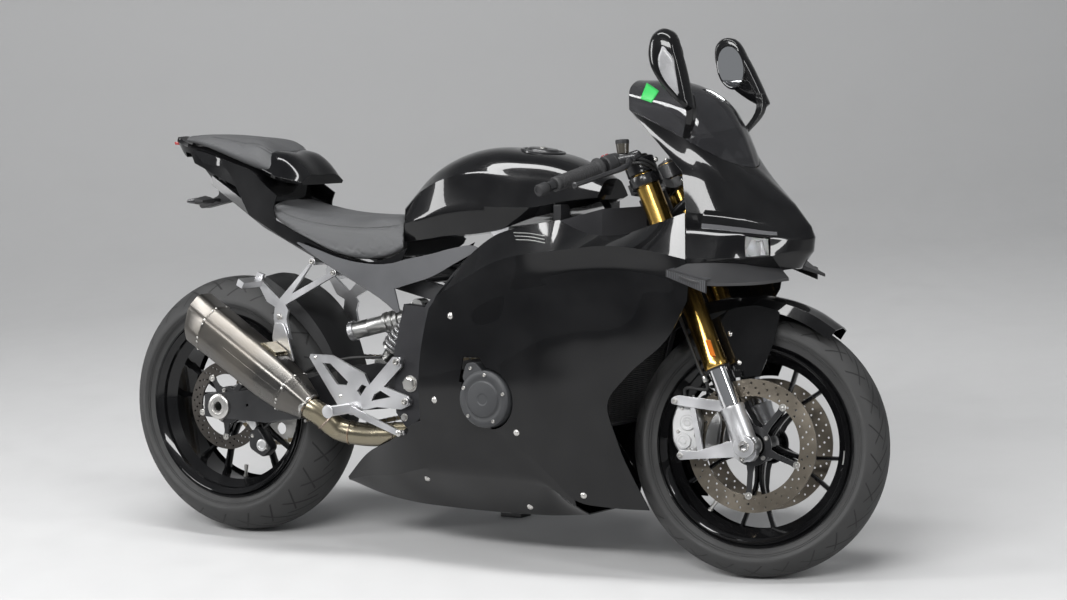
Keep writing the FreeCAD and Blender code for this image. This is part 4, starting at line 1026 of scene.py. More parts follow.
SEAT: dict[float, Flat] = {
    150: [(0, 838), (60, 834), (104, 822), (112, 812), (90, 800)],
    220: [(0, 816), (80, 814), (130, 800), (140, 782), (110, 770)],
    300: [(0, 802), (90, 801), (140, 786), (152, 750), (120, 742)],
    380: [(0, 797), (90, 796), (140, 778), (154, 720), (120, 712)],
    470: [(0, 798), (80, 797), (132, 776), (150, 705), (115, 700)],
    540: [(0, 802), (70, 801), (118, 782), (142, 716), (105, 712)],
    590: [(0, 806), (60, 804), (104, 788), (136, 745), (100, 738)]}
PILLION: dict[float, Flat] = {
    -160: [(0, 992), (22, 990), (36, 984), (30, 974.3)], -60: [(0, 993), (60, 990), (84, 976), (76, 961.3)],
    40: [(0, 984), (74, 980), (104, 950), (94, 933.3)], 110: [(0, 976), (80, 972), (110, 928), (98, 911.3)],
    180: [(0, 950), (80, 944), (108, 896), (96, 884)], 236: [(0, 902), (70, 898), (92, 882), (84, 874)]}
COWL: dict[float, Flat] = {
    -190: [(0, 988), (30, 986), (34, 976), (26, 968)], -162: [(0, 974), (30, 973), (50, 968), (40, 944)],
    -60: [(0, 961), (60, 960), (80, 952), (78, 905)], 40: [(0, 933), (80, 932), (98, 922), (96, 868)],
    110: [(0, 911), (84, 910), (102, 900), (98, 838)], 140: [(0, 840), (84, 838), (90, 834), (88, 822)]}
SEAT_LINE = [(490, 0), (704, 340), (1300, 340), (1300, -340), (704, -340)]
TAIL_ROWS: list[list[Point]] = [
    [(-190, -48, 1000), (0, -112, 1000), (260, -118, 1000), (640, -148, 1000)],
    [(-190, -48, 900), (0, -112, 900), (260, -124, 880), (640, -149, 880)],
    [(-190, -60, 660), (0, -114, 660), (260, -136, 660), (640, -150, 660)]]
TAIL_SIDE = [(-104, 956), (-60, 951), (44, 926), (112, 904), (146, 876), (188, 848), (178, 820), (186, 786),
             (220, 774), (300, 740), (380, 709), (470, 695), (540, 708), (590, 732), (566, 690), (448, 680),
             (389, 690), (270, 722), (100, 798), (62, 858), (28, 910), (-60, 926)]
COVER_ROWS: list[list[Point]] = [
    [(240, -146, 800), (480, -164, 800), (640, -172, 800), (860, -192, 800)],
    [(240, -147, 680), (480, -166, 680), (640, -176, 680), (860, -196, 680)],
    [(240, -140, 560), (480, -160, 560), (640, -172, 560), (860, -192, 560)]]
SIDE_COVER = [(270, 738), (330, 722), (389, 706), (448, 696), (565, 697), (600, 706), (679, 722), (750, 739),
              (806, 745), (825, 738), (792, 722), (750, 702), (679, 668), (622, 651), (568, 636), (582, 582),
              (572, 578), (542, 599), (441, 650), (352, 691)]
WINGLET = [(0, 724, 1369, -270, 708), (1, 726, 1452, -272, 687), (2, 722, 1502, -212, 683),
           (3, 714, 1542, -156, 684), (4, 708, 1576, -88, 690)]
MIRROR_SIDE = [(1276, 1204), (1286, 1232), (1310, 1243), (1334, 1234), (1352, 1190), (1372, 1120), (1384, 1066),
               (1372, 1060), (1340, 1086), (1300, 1130), (1280, 1165)]


def full_rows(rows: list[list[Point]]) -> list[list[Point]]:
    """Extends rows that end on the bike's middle plane with their mirror image."""
    return [row + [(x, -y, z) for x, y, z in reversed(row[:-1])] for row in rows]


def cutter(bike: BikeFrame, name: str, outline: Flat, y0: float, y1: float,
           plan: bool = False) -> bpy.types.Object:
    """A closed cutting prism, across the bike or upright.

    Args:
        bike: the bike's frame.
        name: its name.
        outline: corners as x and z, or as x and y for an upright one.
        y0: its start across the bike, or its foot.
        y1: its other end.
        plan: whether it stands upright.

    Returns:
        The cutting object.
    """
    shape = Shape(name)
    if plan:
        shape.slab([Vector((x, y, y0)) for x, y in outline], Vector((0, 0, y1 - y0)))
    else:
        shape.slab([Vector((x, y0, z)) for x, z in outline], Vector((0, y1 - y0, 0)))
    return shape.build(bike, Body.CHASSIS, MATT_BLACK)


def circle_outline(x: float, z: float, radius: float, sides: int = 48) -> Flat:
    """A circle's corners in side view."""
    return [(x + radius * math.cos(2 * math.pi * k / sides), z + radius * math.sin(2 * math.pi * k / sides))
            for k in range(sides)]


@dataclass
class Bodywork(Assembly):
    """The painted and moulded panels.

    Args:
        bike: the bike's frame.
        wall: the panels' thickness.
        side_wall: the thickness of the tail's side panels and the covers beside the seat.
        fine: parts between two control points.
    """

    wall: float = 3.0
    side_wall: float = 4.0
    fine: int = 7

    def build(self) -> None:
        """Builds every panel."""
        self.fairings()
        self.nose()
        self.screen()
        self.belly()
        self.tank()
        self.tail()
        self.covers()
        self.mirrors()

    def fairings(self) -> None:
        """Both fairing sides, the right one with the clutch cover's round opening."""
        rows = dense(FAIRING, self.fine, self.fine, sharp_rows=(1, 3), sharp_columns=(4,))
        bosses = ((900, 700, -171.3, -236), (930, 500, -185.3, -227))
        for side in Side:
            shape = Shape("fairing_" + side.label + "_panel")
            shape.grid([[sided(p, -side.value) for p in row] for row in rows])
            obj = shape.build(*self.fixed, GLOSS_BLACK, slot="gloss_black", replaces=("fairing_" + side.label,))
            _face_out(obj, self.bike.chassis @ Vector((1.0, 0.0, 0.5)))
            _shell(obj, self.wall)
            if side is Side.RIGHT:
                lobe = [(788, 430), (802, 490), (846, 492), (890, 430)]
                carve(obj, [cutter(self.bike, "round_cut", circle_outline(861, 394, 72.5), -260, -190),
                            cutter(self.bike, "lobe_cut", lobe, -260, -190)])
            _bevel(obj, 2.2, 24)
            bosses_shape = Shape("fairing_" + side.label + "_bosses")
            for x, z, y0, y1 in bosses:
                bosses_shape.rod(Vector((x, -y0 * side.value, z)), Vector((x, -y1 * side.value, z)), 8.0, 20)
            bosses_shape.build(*self.fixed, MATT_BLACK, slot="matt_black")

    def nose(self) -> None:
        """The nose cowl with its two lamp openings, lenses and the lamps behind them."""
        rows = full_rows(NOSE)
        n = self.fine
        skip = frozenset((i, j) for i in range(n, 2 * n) for c in (2, 7) for j in range(c * n, (c + 1) * n))
        grid = dense(rows, n, n, sharp_rows=(1, 2, 3, 4), sharp_columns=(2, 8))
        obj = Shape("nose_cowl_panel").grid(grid, skip=skip).build(
            *self.fixed, GLOSS_BLACK, slot="gloss_black", replaces=("nose_cowl",))
        inside = self.bike.chassis @ Vector((1.3, 0.0, 0.85))
        finish_skin(obj, inside, self.wall, 0.8)
        for side in Side:
            self._lamp(side)
            strip = [[sided(p, -side.value) for p in row[round(0.6 * n):round(3.4 * n)]]
                     for row in grid[2 * n + 1:2 * n + 4]]
            cover = Shape("daylight_strip_" + side.label).grid(strip).build(*self.fixed, DAYLIGHT, slot="lamp")
            _face_out(cover, inside)
            _shell(cover, 2.4, 1.0)
            _bevel(cover, 0.8, 50)
        for side in Side:
            rings = spline_rows([self._wing_ring(row, side) for row in WINGLET], 8)
            Shape("winglet_" + side.label).loft(rings).build(
                *self.fixed, WINGLET_RIBS, slot="matt_black", bevel=1.2, replaces=side.first("winglets"))
            tip = [[(1366, -268, 712), (1366, -273, 712), (1366, -273, 696), (1366, -268, 696)],
                   [(1466, -266, 690), (1466, -271, 690), (1466, -271, 662), (1466, -266, 662)]]
            Shape("winglet_tip_" + side.label).loft(
                [[Vector((x, -y * side.value, z)) for x, y, z in quad] for quad in tip]).build(
                *self.fixed, MATT_BLACK, slot="matt_black", bevel=1.0)
            ribs = Shape("winglet_ribs_" + side.label)
            for k in range(22):
                t = (k + 1) / 23
                x, top, low = 1366 + 100 * t, 711 - 22 * t, 697 - 34 * t
                ribs.slab([Vector((x, side.value * (273 - 2 * t), z)) for z in (low, top)]
                          + [Vector((x + 2.2, side.value * (273 - 2 * t), z)) for z in (top, low)],
                          Vector((0, side.value * 1.4, 0)))
                ribs.slab([Vector((x + dx, side.value * y, top + dz)) for dx, y, dz in (
                    (0, 268, 1.2), (2.2, 268, 1.2), (4.2, 246, 3.6), (2.0, 246, 3.6))], Vector((0, 0, 1.0)))
            ribs.build(*self.fixed, COVER_GREY, slot="matt_black")

    def _wing_ring(self, row: tuple[float, ...], side: Side) -> list[Vector]:
        """One section of a winglet, in the upright plane through the nose's column.

        Args:
            row: the nose's column, the root's height, and the outer point's x, y and z.
            side: the bike's side.

        Returns:
            The section's corners.
        """
        j, z, x, y, zo = row
        a, b = Vector(NOSE[0][j]), Vector(NOSE[1][j])
        n = (b - a).cross(Vector(NOSE[1][j + 1]) - Vector(NOSE[1][max(j - 1, 0)])).normalized()
        n = n if n.y < 0 else -n
        top, low = [a + (b - a) * ((h - a.z) / (b.z - a.z)) + n * 0.35 for h in (z, z - 8)]
        out = Vector((x - top.x, y - top.y, 0)).normalized()
        drop = Vector((0, 0, 8))
        under = top - drop + out * ((low - top + drop).dot(n) / out.dot(n))
        points = [top, Vector((x, y, zo)), Vector((x, y, zo - 7)), under]
        return [sided(p, -side.value) for p in points]

    def _lamp(self, side: Side) -> None:
        """One headlamp: clear cover, tapered dark bezel, dark bowl and a projector.

        Args:
            side: the bike's side.
        """
        cell = [Vector((x, -y * side.value, z)) for x, y, z in (NOSE[1][2], NOSE[1][3], NOSE[2][3], NOSE[2][2])]
        mid = sum(cell, Vector()) / 4
        n = (cell[1] - cell[0]).cross(cell[3] - cell[0]).normalized()
        n = n if n.x > 0 else -n
        flat = [q - n * (q - mid).dot(n) for q in cell]
        name = side.label

        def ring_at(scale: float, back: float) -> list[Vector]:
            """The opening's outline, scaled and set back."""
            return spline([mid + (q - mid) * scale - n * back for q in flat], 5, frozenset(range(4)), closed=True)

        Shape("headlamp_lens_" + name).loft([ring_at(0.93, 2.0), ring_at(0.93, 5.0)]).build(
            *self.fixed, LAMP_COVER, slot="lamp", bevel=0.8, replaces=side.first("headlamps"))
        bezel = Shape("headlamp_bezel_" + name)
        tapered = [mid + (q - mid) * k for q, k in zip(flat, (0.84, 0.8, 0.8, 0.84))]
        tapered[2] = tapered[2].lerp(tapered[3], 0.16)
        tapered[3] = tapered[3].lerp(tapered[2], 0.34)
        inner = [spline([p - n * back for p in tapered], 5, frozenset(range(4)), closed=True) for back in (7.0, 14.0)]
        bezel.grid([ring_at(0.94, 6.0), inner[0], inner[1], ring_at(0.94, 14.0)], close=True)
        bezel.build(*self.fixed, MATT_BLACK)
        bowl = Shape("headlamp_bowl_" + name)
        bowl.grid([ring_at(0.92, 5.5), ring_at(0.84, 20.0), ring_at(0.66, 36.0)], close=True)
        bowl.paint = 1
        bowl.slab(ring_at(0.66, 36.0), -n * 3)
        bowl.build(*self.fixed, REFLECTOR, MATT_BLACK)
        wide = (flat[1] - flat[0]).normalized()
        lights = Shape("headlamp_optics_" + name)
        centre = mid - n * 22 - wide * 4
        lights.turned(centre - n * 12, n, [(0, 17), (10, 19), (15, 19), (16, 17), (12, 16), (13, 13)], 32)
        lights.paint = 1
        lights.turned(centre + n * 1, n, [(0, 15.5), (5, 13.5), (8, 9), (9.4, 4), (9.6, 0.4)], 32)
        lights.build(*self.fixed, REFLECTOR, LENS)

    def screen(self) -> None:
        """The smoke windscreen and the plain green sticker."""
        grid = dense(full_rows_down(SCREEN_ROWS), 8, 8)
        obj = Shape("windscreen_bubble").grid(grid).build(
            *self.fixed, SCREEN, slot="screen", replaces=("windscreen",))
        finish_skin(obj, self.bike.chassis @ Vector((1.2, 0.0, 0.9)), self.wall, 0.6)
        marks = [Vector((x, -90, z)) for x, z in ((1214, 1124), (1245, 1103), (1224, 1074), (1195, 1083))]
        quads = []
        for v in range(7):
            row = []
            for u in range(7):
                aim = marks[0].lerp(marks[1], u / 6).lerp(marks[3].lerp(marks[2], u / 6), v / 6)
                point, normal = seen_at(self.bike, ("windscreen_bubble",), aim)
                row.append(point + normal * 0.6)
            quads.append(row)
        sticker = Shape("green_sticker").grid(quads).build(*self.fixed, GREEN)
        _shell(sticker, 0.3, 0.0)

    def belly(self) -> None:
        """The belly pan."""
        rows: list[list[Point]] = [[], [], [], [], [], []]
        for x, y0, z0, y1, z1, y2, z2 in BELLY:
            for row, (y, z) in zip(rows, ((-y0, z0), (-y1, z1), (-y2, z2), (y2, z2), (y1, z1), (y0, z0))):
                row.append((x, y, z))
        obj = Shape("belly_pan_panel").grid(dense(rows, self.fine, self.fine, sharp_rows=(1, 2, 3, 4))).build(
            *self.fixed, GLOSS_BLACK, slot="gloss_black", replaces=("belly_pan",))
        finish_skin(obj, self.bike.chassis @ Vector((0.75, 0.0, 0.3)), self.wall, 1.2, 25)

    def tank(self) -> None:
        """The fuel tank with its filler cap and front brackets."""
        rings = sections(TANK, 6, 6, sharp=(2, 3, 4))
        obj = Shape("fuel_tank_shell").loft(rings).build(
            *self.fixed, GLOSS_BLACK, slot="gloss_black", replaces=("fuel_tank",))
        carve(obj, [cutter(self.bike, "seat_line", SEAT_LINE, 700, 1000, plan=True)], "INTERSECT")
        _bevel(obj, 2.0, 40)
        cap = Shape("filler_cap")
        base = Vector((880, 0, 959))
        up = Vector((0.12, 0, 1)).normalized()
        cap.turned(base - up * 2, up, [
            (0, 54), (5, 54), (7, 52), (7, 46), (5, 45), (5, 39), (9, 37), (11, 34), (11, 8)], 64)
        cap.paint = 1
        cap.turned(base + up * 8, up, [(0, 9), (3.5, 9), (4, 8), (4, 3)], 32)
        cap.build(*self.fixed, BLACK_PAINT, STEEL, slot="frame_black")
        foot = Shape("tank_bracket")
        for side in Side:
            foot.slab([Vector((x, side.value * 94, z)) for x, z in (
                (990, 804.3), (1010, 804.3), (1010, 842), (990, 842))], Vector((0, side.value * 40, 0)))
        foot.build(*self.fixed, BLACK_PAINT, bevel=0.8)

    def tail(self) -> None:
        """The tail cowl with its posts, and both tail panels."""
        obj = Shape("tail_cowl_shell").loft(sections(COWL, 6, 4, sharp=(1, 2, 3))).build(
            *self.fixed, GLOSS_BLACK, slot="gloss_black", replaces=("tail_cowl",))
        hollow = [(-150, 890), (-150, 950), (-60, 935), (118, 872), (118, 780), (0, 780)]
        carve(obj, [cutter(self.bike, "tail_hollow", hollow, -60, 60)])
        _bevel(obj, 1.6, 40)
        posts = Shape("tail_cowl_posts")
        for side in Side:
            y0, y1 = side.value * 48, side.value * 59
            posts.slab([Vector((-40, y0, 881.7)), Vector((-20, y0, 881.7)), Vector((-20, y1, 881.7)),
                        Vector((-40, y1, 881.7))], Vector((0, 0, 54)))
        posts.build(*self.fixed, MATT_BLACK, bevel=0.6)
        for side in Side:
            shape = panel("tail_panel_" + side.label, TAIL_SIDE, over(TAIL_ROWS), 4,
                          sharp=frozenset((0, 5, 7, 13, 18)))
            if side is Side.LEFT:
                shape.points = [sided(p, -1) for p in shape.points]
            obj = shape.build(*self.fixed, GLOSS_BLACK, slot="gloss_black", replaces=side.first("tail_panels"))
            finish_skin(obj, self.bike.chassis @ Vector((0.2, 0.0, 0.8)), self.side_wall, 1.4)

    def covers(self) -> None:
        """The matt covers beside the seat."""
        for side in Side:
            shape = panel("side_cover_" + side.label, SIDE_COVER, over(COVER_ROWS), 4,
                          sharp=frozenset((0, 9, 14, 15, 16)))
            if side is Side.LEFT:
                shape.points = [sided(p, -1) for p in shape.points]
            obj = shape.build(*self.fixed, COVER_GREY, slot="cover_grey", replaces=side.first("side_covers"))
            finish_skin(obj, self.bike.chassis @ Vector((0.5, 0.0, 0.68)), self.side_wall, 1.6)
            bosses = Shape("side_cover_bosses_" + side.label)
            for x, z, y0, y1 in ((560, 650, -126.9, -167), (430, 672, -116.4, -156)):
                bosses.rod(Vector((x, -y0 * side.value, z)), Vector((x, -y1 * side.value, z)), 8.0, 20)
            bosses.build(*self.fixed, MATT_BLACK)

    def mirrors(self) -> None:
        """The folded mirrors: housing, stalk, indicator lens, and glass in its rim; the left one folds further back."""
        outline = spline([Vector((x, 0, z)) for x, z in MIRROR_SIDE], 5, frozenset((6, 7)), closed=True)
        mid = Vector((1324, 0, 1150))
        layers = ((-167.6, 0.15), (-167.2, 0.55), (-167.0, 0.9), (-168.2, 0.95), (-172, 0.99), (-184, 1.0),
                  (-194, 0.95), (-201, 0.88), (-205, 0.78), (-207, 0.5), (-207.6, 0.12))
        lens = [(1318, 1203), (1308, 1178), (1310, 1157), (1325, 1128), (1358, 1094), (1362, 1100), (1353, 1146),
                (1346, 1176), (1336, 1190)]
        for side in Side:
            name, s = side.label, -side.value
            fold = math.radians(-14.0 if side is Side.LEFT else 0.0)

            def at(x: float, y: float, z: float) -> Vector:
                """The point on this side, folded about the stalk's top."""
                dx, dz = x - 1365, z - 1065
                return Vector((1365 + dx * math.cos(fold) + dz * math.sin(fold), s * y,
                               1065 - dx * math.sin(fold) + dz * math.cos(fold)))

            rings = [[at(mid.x + (p.x - mid.x) * k, y, mid.z + (p.z - mid.z) * k) for p in outline] for y, k in layers]
            Shape("mirror_housing_" + name).loft(rings).build(
                *self.fixed, GLOSS_BLACK, slot="gloss_black", smooth=50, replaces=side.first("mirrors"))

            def oval(scale: float, y: float) -> list[Vector]:
                """The glass's outline, scaled."""
                return [at(1315 + 33 * scale * math.cos(a), y, 1173 + 48 * scale * math.sin(a))
                        for a in (2 * math.pi * k / 48 for k in range(48))]

            rim = Shape("mirror_glass_" + name)
            rim.grid([oval(1.0, -165.2), oval(1.02, -163.6), oval(1.08, -163.8), oval(1.12, -165.4), oval(1.13, -169)],
                     close=True)
            rim.paint = 1
            rim.loft([oval(1.0, -166.6), oval(1.0, -165.4)])
            rim.build(*self.fixed, GLOSS_BLACK, MIRROR)
            stalk = [(1330, -127, 998, 8), (1362, -156, 1064, 20), (1358, -160, 1096, 20)]
            quads = [[Vector((x, s * y, z)), Vector((x, s * (y - w), z)), Vector((x + 18, s * (y - w), z)),
                      Vector((x + 18, s * y, z))] for x, y, z, w in stalk]
            Shape("mirror_stalk_" + name).loft(spline_rows(quads, 6)).build(
                *self.fixed, GLOSS_BLACK, slot="gloss_black", bevel=2.0)
            loop = spline([at(x, -197, z) for x, z in lens], 4, frozenset((0, 4, 5)), closed=True)
            middle = sum(loop, Vector()) / len(loop)
            Shape("mirror_indicator_" + name).loft(
                [[p + Vector((0, -s * out, 0)) + (middle - p) * k for p in loop]
                 for out, k in ((0.0, 0.0), (9.0, 0.0), (11.0, 0.08), (12.0, 0.3), (12.4, 0.8))]).build(
                *self.fixed, INDICATOR, slot="lamp", smooth=40)


VIEW = Vector((-0.5301, 0.8449, -0.0727))


def seen_at(bike: BikeFrame, names: tuple[str, ...], aim: Vector, back: float = 500.0) -> tuple[Vector, Vector]:
    """Where the photo's line of sight through a point meets pieces.

    Args:
        bike: the bike's frame.
        names: the pieces.
        aim: a point on the line, in bike millimetres.
        back: how far before the point the search starts.

    Returns:
        The place in bike millimetres and the surface's outward direction, or the point itself where nothing is met.
    """
    bpy.context.view_layer.update()
    graph = bpy.context.evaluated_depsgraph_get()
    origin = bike.chassis @ ((aim - VIEW * back) * MM)
    turn = bike.chassis.to_3x3()
    best: tuple[float, Vector, Vector] | None = None
    for name in names:
        hit, place, normal, _ = bpy.data.objects[name].evaluated_get(graph).ray_cast(origin, turn @ VIEW)
        if hit and (best is None or (place - origin).length < best[0]):
            best = ((place - origin).length, place, normal)
    if best is None:
        log.info("nothing at %s", [round(v) for v in aim])
        return aim, Vector((0.0, -1.0, 0.0))
    inverse = bike.chassis.inverted()
    normal = inverse.to_3x3() @ best[2]
    return inverse @ best[1] / MM, normal if normal.dot(VIEW) < 0 else -normal


def full_rows_down(rows: list[list[Point]]) -> list[list[Point]]:
    """Extends rows whose last row lies on the middle plane with the mirror image of the others."""
    return rows + [[(x, -y, z) for x, y, z in row] for row in reversed(rows[:-1])]


def spline_rows(rings: Rows, steps: int, sharp: tuple[int, ...] = ()) -> Rows:
    """Smooth rings between given ones."""
    columns = [spline([ring_[j] for ring_ in rings], steps, frozenset(sharp)) for j in range(len(rings[0]))]
    return [[column[i] for column in columns] for i in range(len(columns[0]))]


WINGLET_RIBS = Finish("ribbed_winglet", (0.016, 0.016, 0.017), 0.42, texture=Texture.GRAIN, size=1400.0, depth=0.05)
INDICATOR = Finish("indicator_lens", (0.2, 0.2, 0.205), 0.3, coat=0.3, texture=Texture.GRAIN, size=200.0, depth=0.6,
                   shift=1.0, spec=0.3)


# Geometry Nodes


class NodeKit:
    """Builds the geometry node trees and runs them on an object."""

    def __init__(self) -> None:
        """Starts with no tree built."""
        self._trees: dict[str, bpy.types.NodeTree] = {}

    def _start(self, name: str, inputs: list[tuple[str, str]]) -> tuple[bpy.types.NodeTree, object, object]:
        """An empty geometry tree with its sockets, an input node and an output node.

        Args:
            name: the tree's name.
            inputs: each input's name and socket type.

        Returns:
            The tree, its input node and its output node.
        """
        tree = bpy.data.node_groups.new(name, "GeometryNodeTree")
        tree.interface.new_socket(name="Geometry", in_out="INPUT", socket_type="NodeSocketGeometry")
        for label, kind in inputs:
            tree.interface.new_socket(name=label, in_out="INPUT", socket_type=kind)
        tree.interface.new_socket(name="Geometry", in_out="OUTPUT", socket_type="NodeSocketGeometry")
        self._trees[name] = tree
        return tree, tree.nodes.new("NodeGroupInput"), tree.nodes.new("NodeGroupOutput")

    @staticmethod
    def _finish(tree: bpy.types.NodeTree, gin: object, gout: object, geometry: object) -> None:
        """Realizes the instances, sets the material and links the output.

        Args:
            tree: the tree.
            gin: its input node.
            gout: its output node.
            geometry: the socket that holds the result.
        """
        real = tree.nodes.new("GeometryNodeRealizeInstances")
        paint = tree.nodes.new("GeometryNodeSetMaterial")
        tree.links.new(geometry, real.inputs["Geometry"])
        tree.links.new(real.outputs["Geometry"], paint.inputs["Geometry"])
        tree.links.new(gin.outputs["Finish"], paint.inputs["Material"])
        tree.links.new(paint.outputs["Geometry"], gout.inputs["Geometry"])

    def scatter(self) -> bpy.types.NodeTree:
        """Puts a small object on every point, turned by the point's normal and spin attributes.

        Returns:
            The tree, with inputs Piece, Scale and Finish.
        """
        if "pieces on points" in self._trees:
            return self._trees["pieces on points"]
        tree, gin, gout = self._start("pieces on points", [
            ("Piece", "NodeSocketObject"), ("Scale", "NodeSocketFloat"), ("Finish", "NodeSocketMaterial")])
        n, link = tree.nodes, tree.links
        info = n.new("GeometryNodeObjectInfo")
        link.new(gin.outputs["Piece"], info.inputs["Object"])
        facing = n.new("GeometryNodeInputNamedAttribute")
        facing.data_type = "FLOAT_VECTOR"
        facing.inputs["Name"].default_value = "facing"
        along = n.new("GeometryNodeInputNamedAttribute")
        along.data_type = "FLOAT_VECTOR"
        along.inputs["Name"].default_value = "along"
        first = n.new("FunctionNodeAlignRotationToVector")
        first.axis = "Z"
        link.new(facing.outputs["Attribute"], first.inputs["Vector"])
        second = n.new("FunctionNodeAlignRotationToVector")
        second.axis, second.pivot_axis = "X", "Z"
        link.new(first.outputs["Rotation"], second.inputs["Rotation"])
        link.new(along.outputs["Attribute"], second.inputs["Vector"])
        place = n.new("GeometryNodeInstanceOnPoints")
        link.new(gin.outputs["Geometry"], place.inputs["Points"])
        link.new(info.outputs["Geometry"], place.inputs["Instance"])
        link.new(second.outputs["Rotation"], place.inputs["Rotation"])
        link.new(gin.outputs["Scale"], place.inputs["Scale"])
        self._finish(tree, gin, gout, place.outputs["Instances"])
        return tree

    def coil(self) -> bpy.types.NodeTree:
        """A coil spring: a spiral with a round section.

        Returns:
            The tree, with inputs Turns, Radius, Height, Wire and Finish.
        """
        if "coil" in self._trees:
            return self._trees["coil"]
        tree, gin, gout = self._start("coil", [
            ("Turns", "NodeSocketFloat"), ("Radius", "NodeSocketFloat"), ("Height", "NodeSocketFloat"),
            ("Wire", "NodeSocketFloat"), ("Finish", "NodeSocketMaterial")])
        n, link = tree.nodes, tree.links
        spiral = n.new("GeometryNodeCurveSpiral")
        spiral.inputs["Resolution"].default_value = 40
        link.new(gin.outputs["Turns"], spiral.inputs["Rotations"])
        link.new(gin.outputs["Radius"], spiral.inputs["Start Radius"])
        link.new(gin.outputs["Radius"], spiral.inputs["End Radius"])
        link.new(gin.outputs["Height"], spiral.inputs["Height"])
        section = n.new("GeometryNodeCurvePrimitiveCircle")
        section.inputs["Resolution"].default_value = 14
        link.new(gin.outputs["Wire"], section.inputs["Radius"])
        sweep = n.new("GeometryNodeCurveToMesh")
        sweep.inputs["Fill Caps"].default_value = True
        link.new(spiral.outputs["Curve"], sweep.inputs["Curve"])
        link.new(section.outputs["Curve"], sweep.inputs["Profile Curve"])
        self._finish(tree, gin, gout, sweep.outputs["Mesh"])
        return tree

    def drilled(self) -> bpy.types.NodeTree:
        """A drilled ring: two circles and a circle on every point, filled and given a thickness.

        Returns:
            The tree, with inputs Outer, Inner, Hole, Thickness and Finish; its points are the hole centres.
        """
        if "drilled ring" in self._trees:
            return self._trees["drilled ring"]
        tree, gin, gout = self._start("drilled ring", [
            ("Outer", "NodeSocketFloat"), ("Inner", "NodeSocketFloat"), ("Hole", "NodeSocketFloat"),
            ("Thickness", "NodeSocketFloat"), ("Finish", "NodeSocketMaterial")])
        n, link = tree.nodes, tree.links
        circles = []
        for label, count in (("Outer", 144), ("Inner", 120), ("Hole", 14)):
            circle = n.new("GeometryNodeCurvePrimitiveCircle")
            circle.inputs["Resolution"].default_value = count
            link.new(gin.outputs[label], circle.inputs["Radius"])
            circles.append(circle)
        holes = n.new("GeometryNodeInstanceOnPoints")
        link.new(gin.outputs["Geometry"], holes.inputs["Points"])
        link.new(circles[2].outputs["Curve"], holes.inputs["Instance"])
        real = n.new("GeometryNodeRealizeInstances")
        link.new(holes.outputs["Instances"], real.inputs["Geometry"])
        join = n.new("GeometryNodeJoinGeometry")
        for source in (circles[0].outputs["Curve"], circles[1].outputs["Curve"], real.outputs["Geometry"]):
            link.new(source, join.inputs["Geometry"])
        fill = n.new("GeometryNodeFillCurve")
        link.new(join.outputs["Geometry"], fill.inputs["Curve"])
        thick = n.new("GeometryNodeExtrudeMesh")
        thick.inputs["Individual"].default_value = False
        link.new(fill.outputs["Mesh"], thick.inputs["Mesh"])
        link.new(gin.outputs["Thickness"], thick.inputs["Offset Scale"])
        flip = n.new("GeometryNodeFlipFaces")
        link.new(fill.outputs["Mesh"], flip.inputs["Mesh"])
        both = n.new("GeometryNodeJoinGeometry")
        link.new(thick.outputs["Mesh"], both.inputs["Geometry"])
        link.new(flip.outputs["Mesh"], both.inputs["Geometry"])
        weld = n.new("GeometryNodeMergeByDistance")
        weld.inputs["Distance"].default_value = 0.00001
        link.new(both.outputs["Geometry"], weld.inputs["Geometry"])
        self._finish(tree, gin, gout, weld.outputs["Geometry"])
        return tree


NODES = NodeKit()


@dataclass
class Spot:
    """Where a small piece sits: its foot, the direction it faces and a direction along it."""

    at: Vector
    facing: Vector
    along: Vector = field(default_factory=lambda: Vector((1.0, 0.0, 0.0)))


def run_tree(bike: BikeFrame, body: Body, name: str, tree: bpy.types.NodeTree, points: list[Spot],
             values: dict[str, object], finish: Finish, place: Matrix | None = None) -> bpy.types.Object:
    """Runs a geometry tree on points and leaves a plain mesh that rides on a body.

    Args:
        bike: the bike's frame.
        body: the body it rides on.
        name: the piece's name.
        tree: the geometry tree.
        points: the points it starts from.
        values: the tree's inputs by name.
        finish: the finish.
        place: where the tree's own frame stands in the bike's, in metres.

    Returns:
        The finished object.
    """
    mesh = bpy.data.meshes.new(name)
    mesh.from_pydata([p.at * MM for p in points], [], [])
    for label in ("facing", "along"):
        layer = mesh.attributes.new(label, "FLOAT_VECTOR", "POINT")
        for k, p in enumerate(points):
            layer.data[k].vector = getattr(p, label).normalized()
    obj = bpy.data.objects.new(name, mesh)
    bpy.context.scene.collection.objects.link(obj)
    mod = obj.modifiers.new("tree", "NODES")
    mod.node_group = tree
    for item in tree.interface.items_tree:
        if item.item_type == "SOCKET" and item.in_out == "INPUT" and item.name in values:
            mod[item.identifier] = values[item.name]
        if item.item_type == "SOCKET" and item.in_out == "INPUT" and item.name == "Finish":
            mod[item.identifier] = finish.material()
    bake(obj)
    obj.data.transform(bike.of(body) @ (place or Matrix.Identity(4)))
    if not obj.data.materials:
        obj.data.materials.append(finish.material())
    _shade(obj.data)
    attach(obj, body.value)
    return obj


def _shade(mesh: bpy.types.Mesh, angle: float = SMOOTH_ANGLE) -> None:
    """Smooth shading with sharp edges past an angle.

    Args:
        mesh: the mesh.
        angle: the angle in degrees.
    """
    work = bmesh.new()
    work.from_mesh(mesh)
    bmesh.ops.recalc_face_normals(work, faces=work.faces)
    for face in work.faces:
        face.smooth = True
    for edge in work.edges:
        if len(edge.link_faces) == 2 and edge.calc_face_angle(0.0) > math.radians(angle):
            edge.smooth = False
    work.to_mesh(mesh)
    work.free()


class Fastener(Enum):
    """Kinds of small fasteners, sized for a radius of 1."""

    SOCKET = "socket screw"
    HEX = "hexagon bolt"
    BUTTON = "button rivet"
    SLEEVE = "disc sleeve"


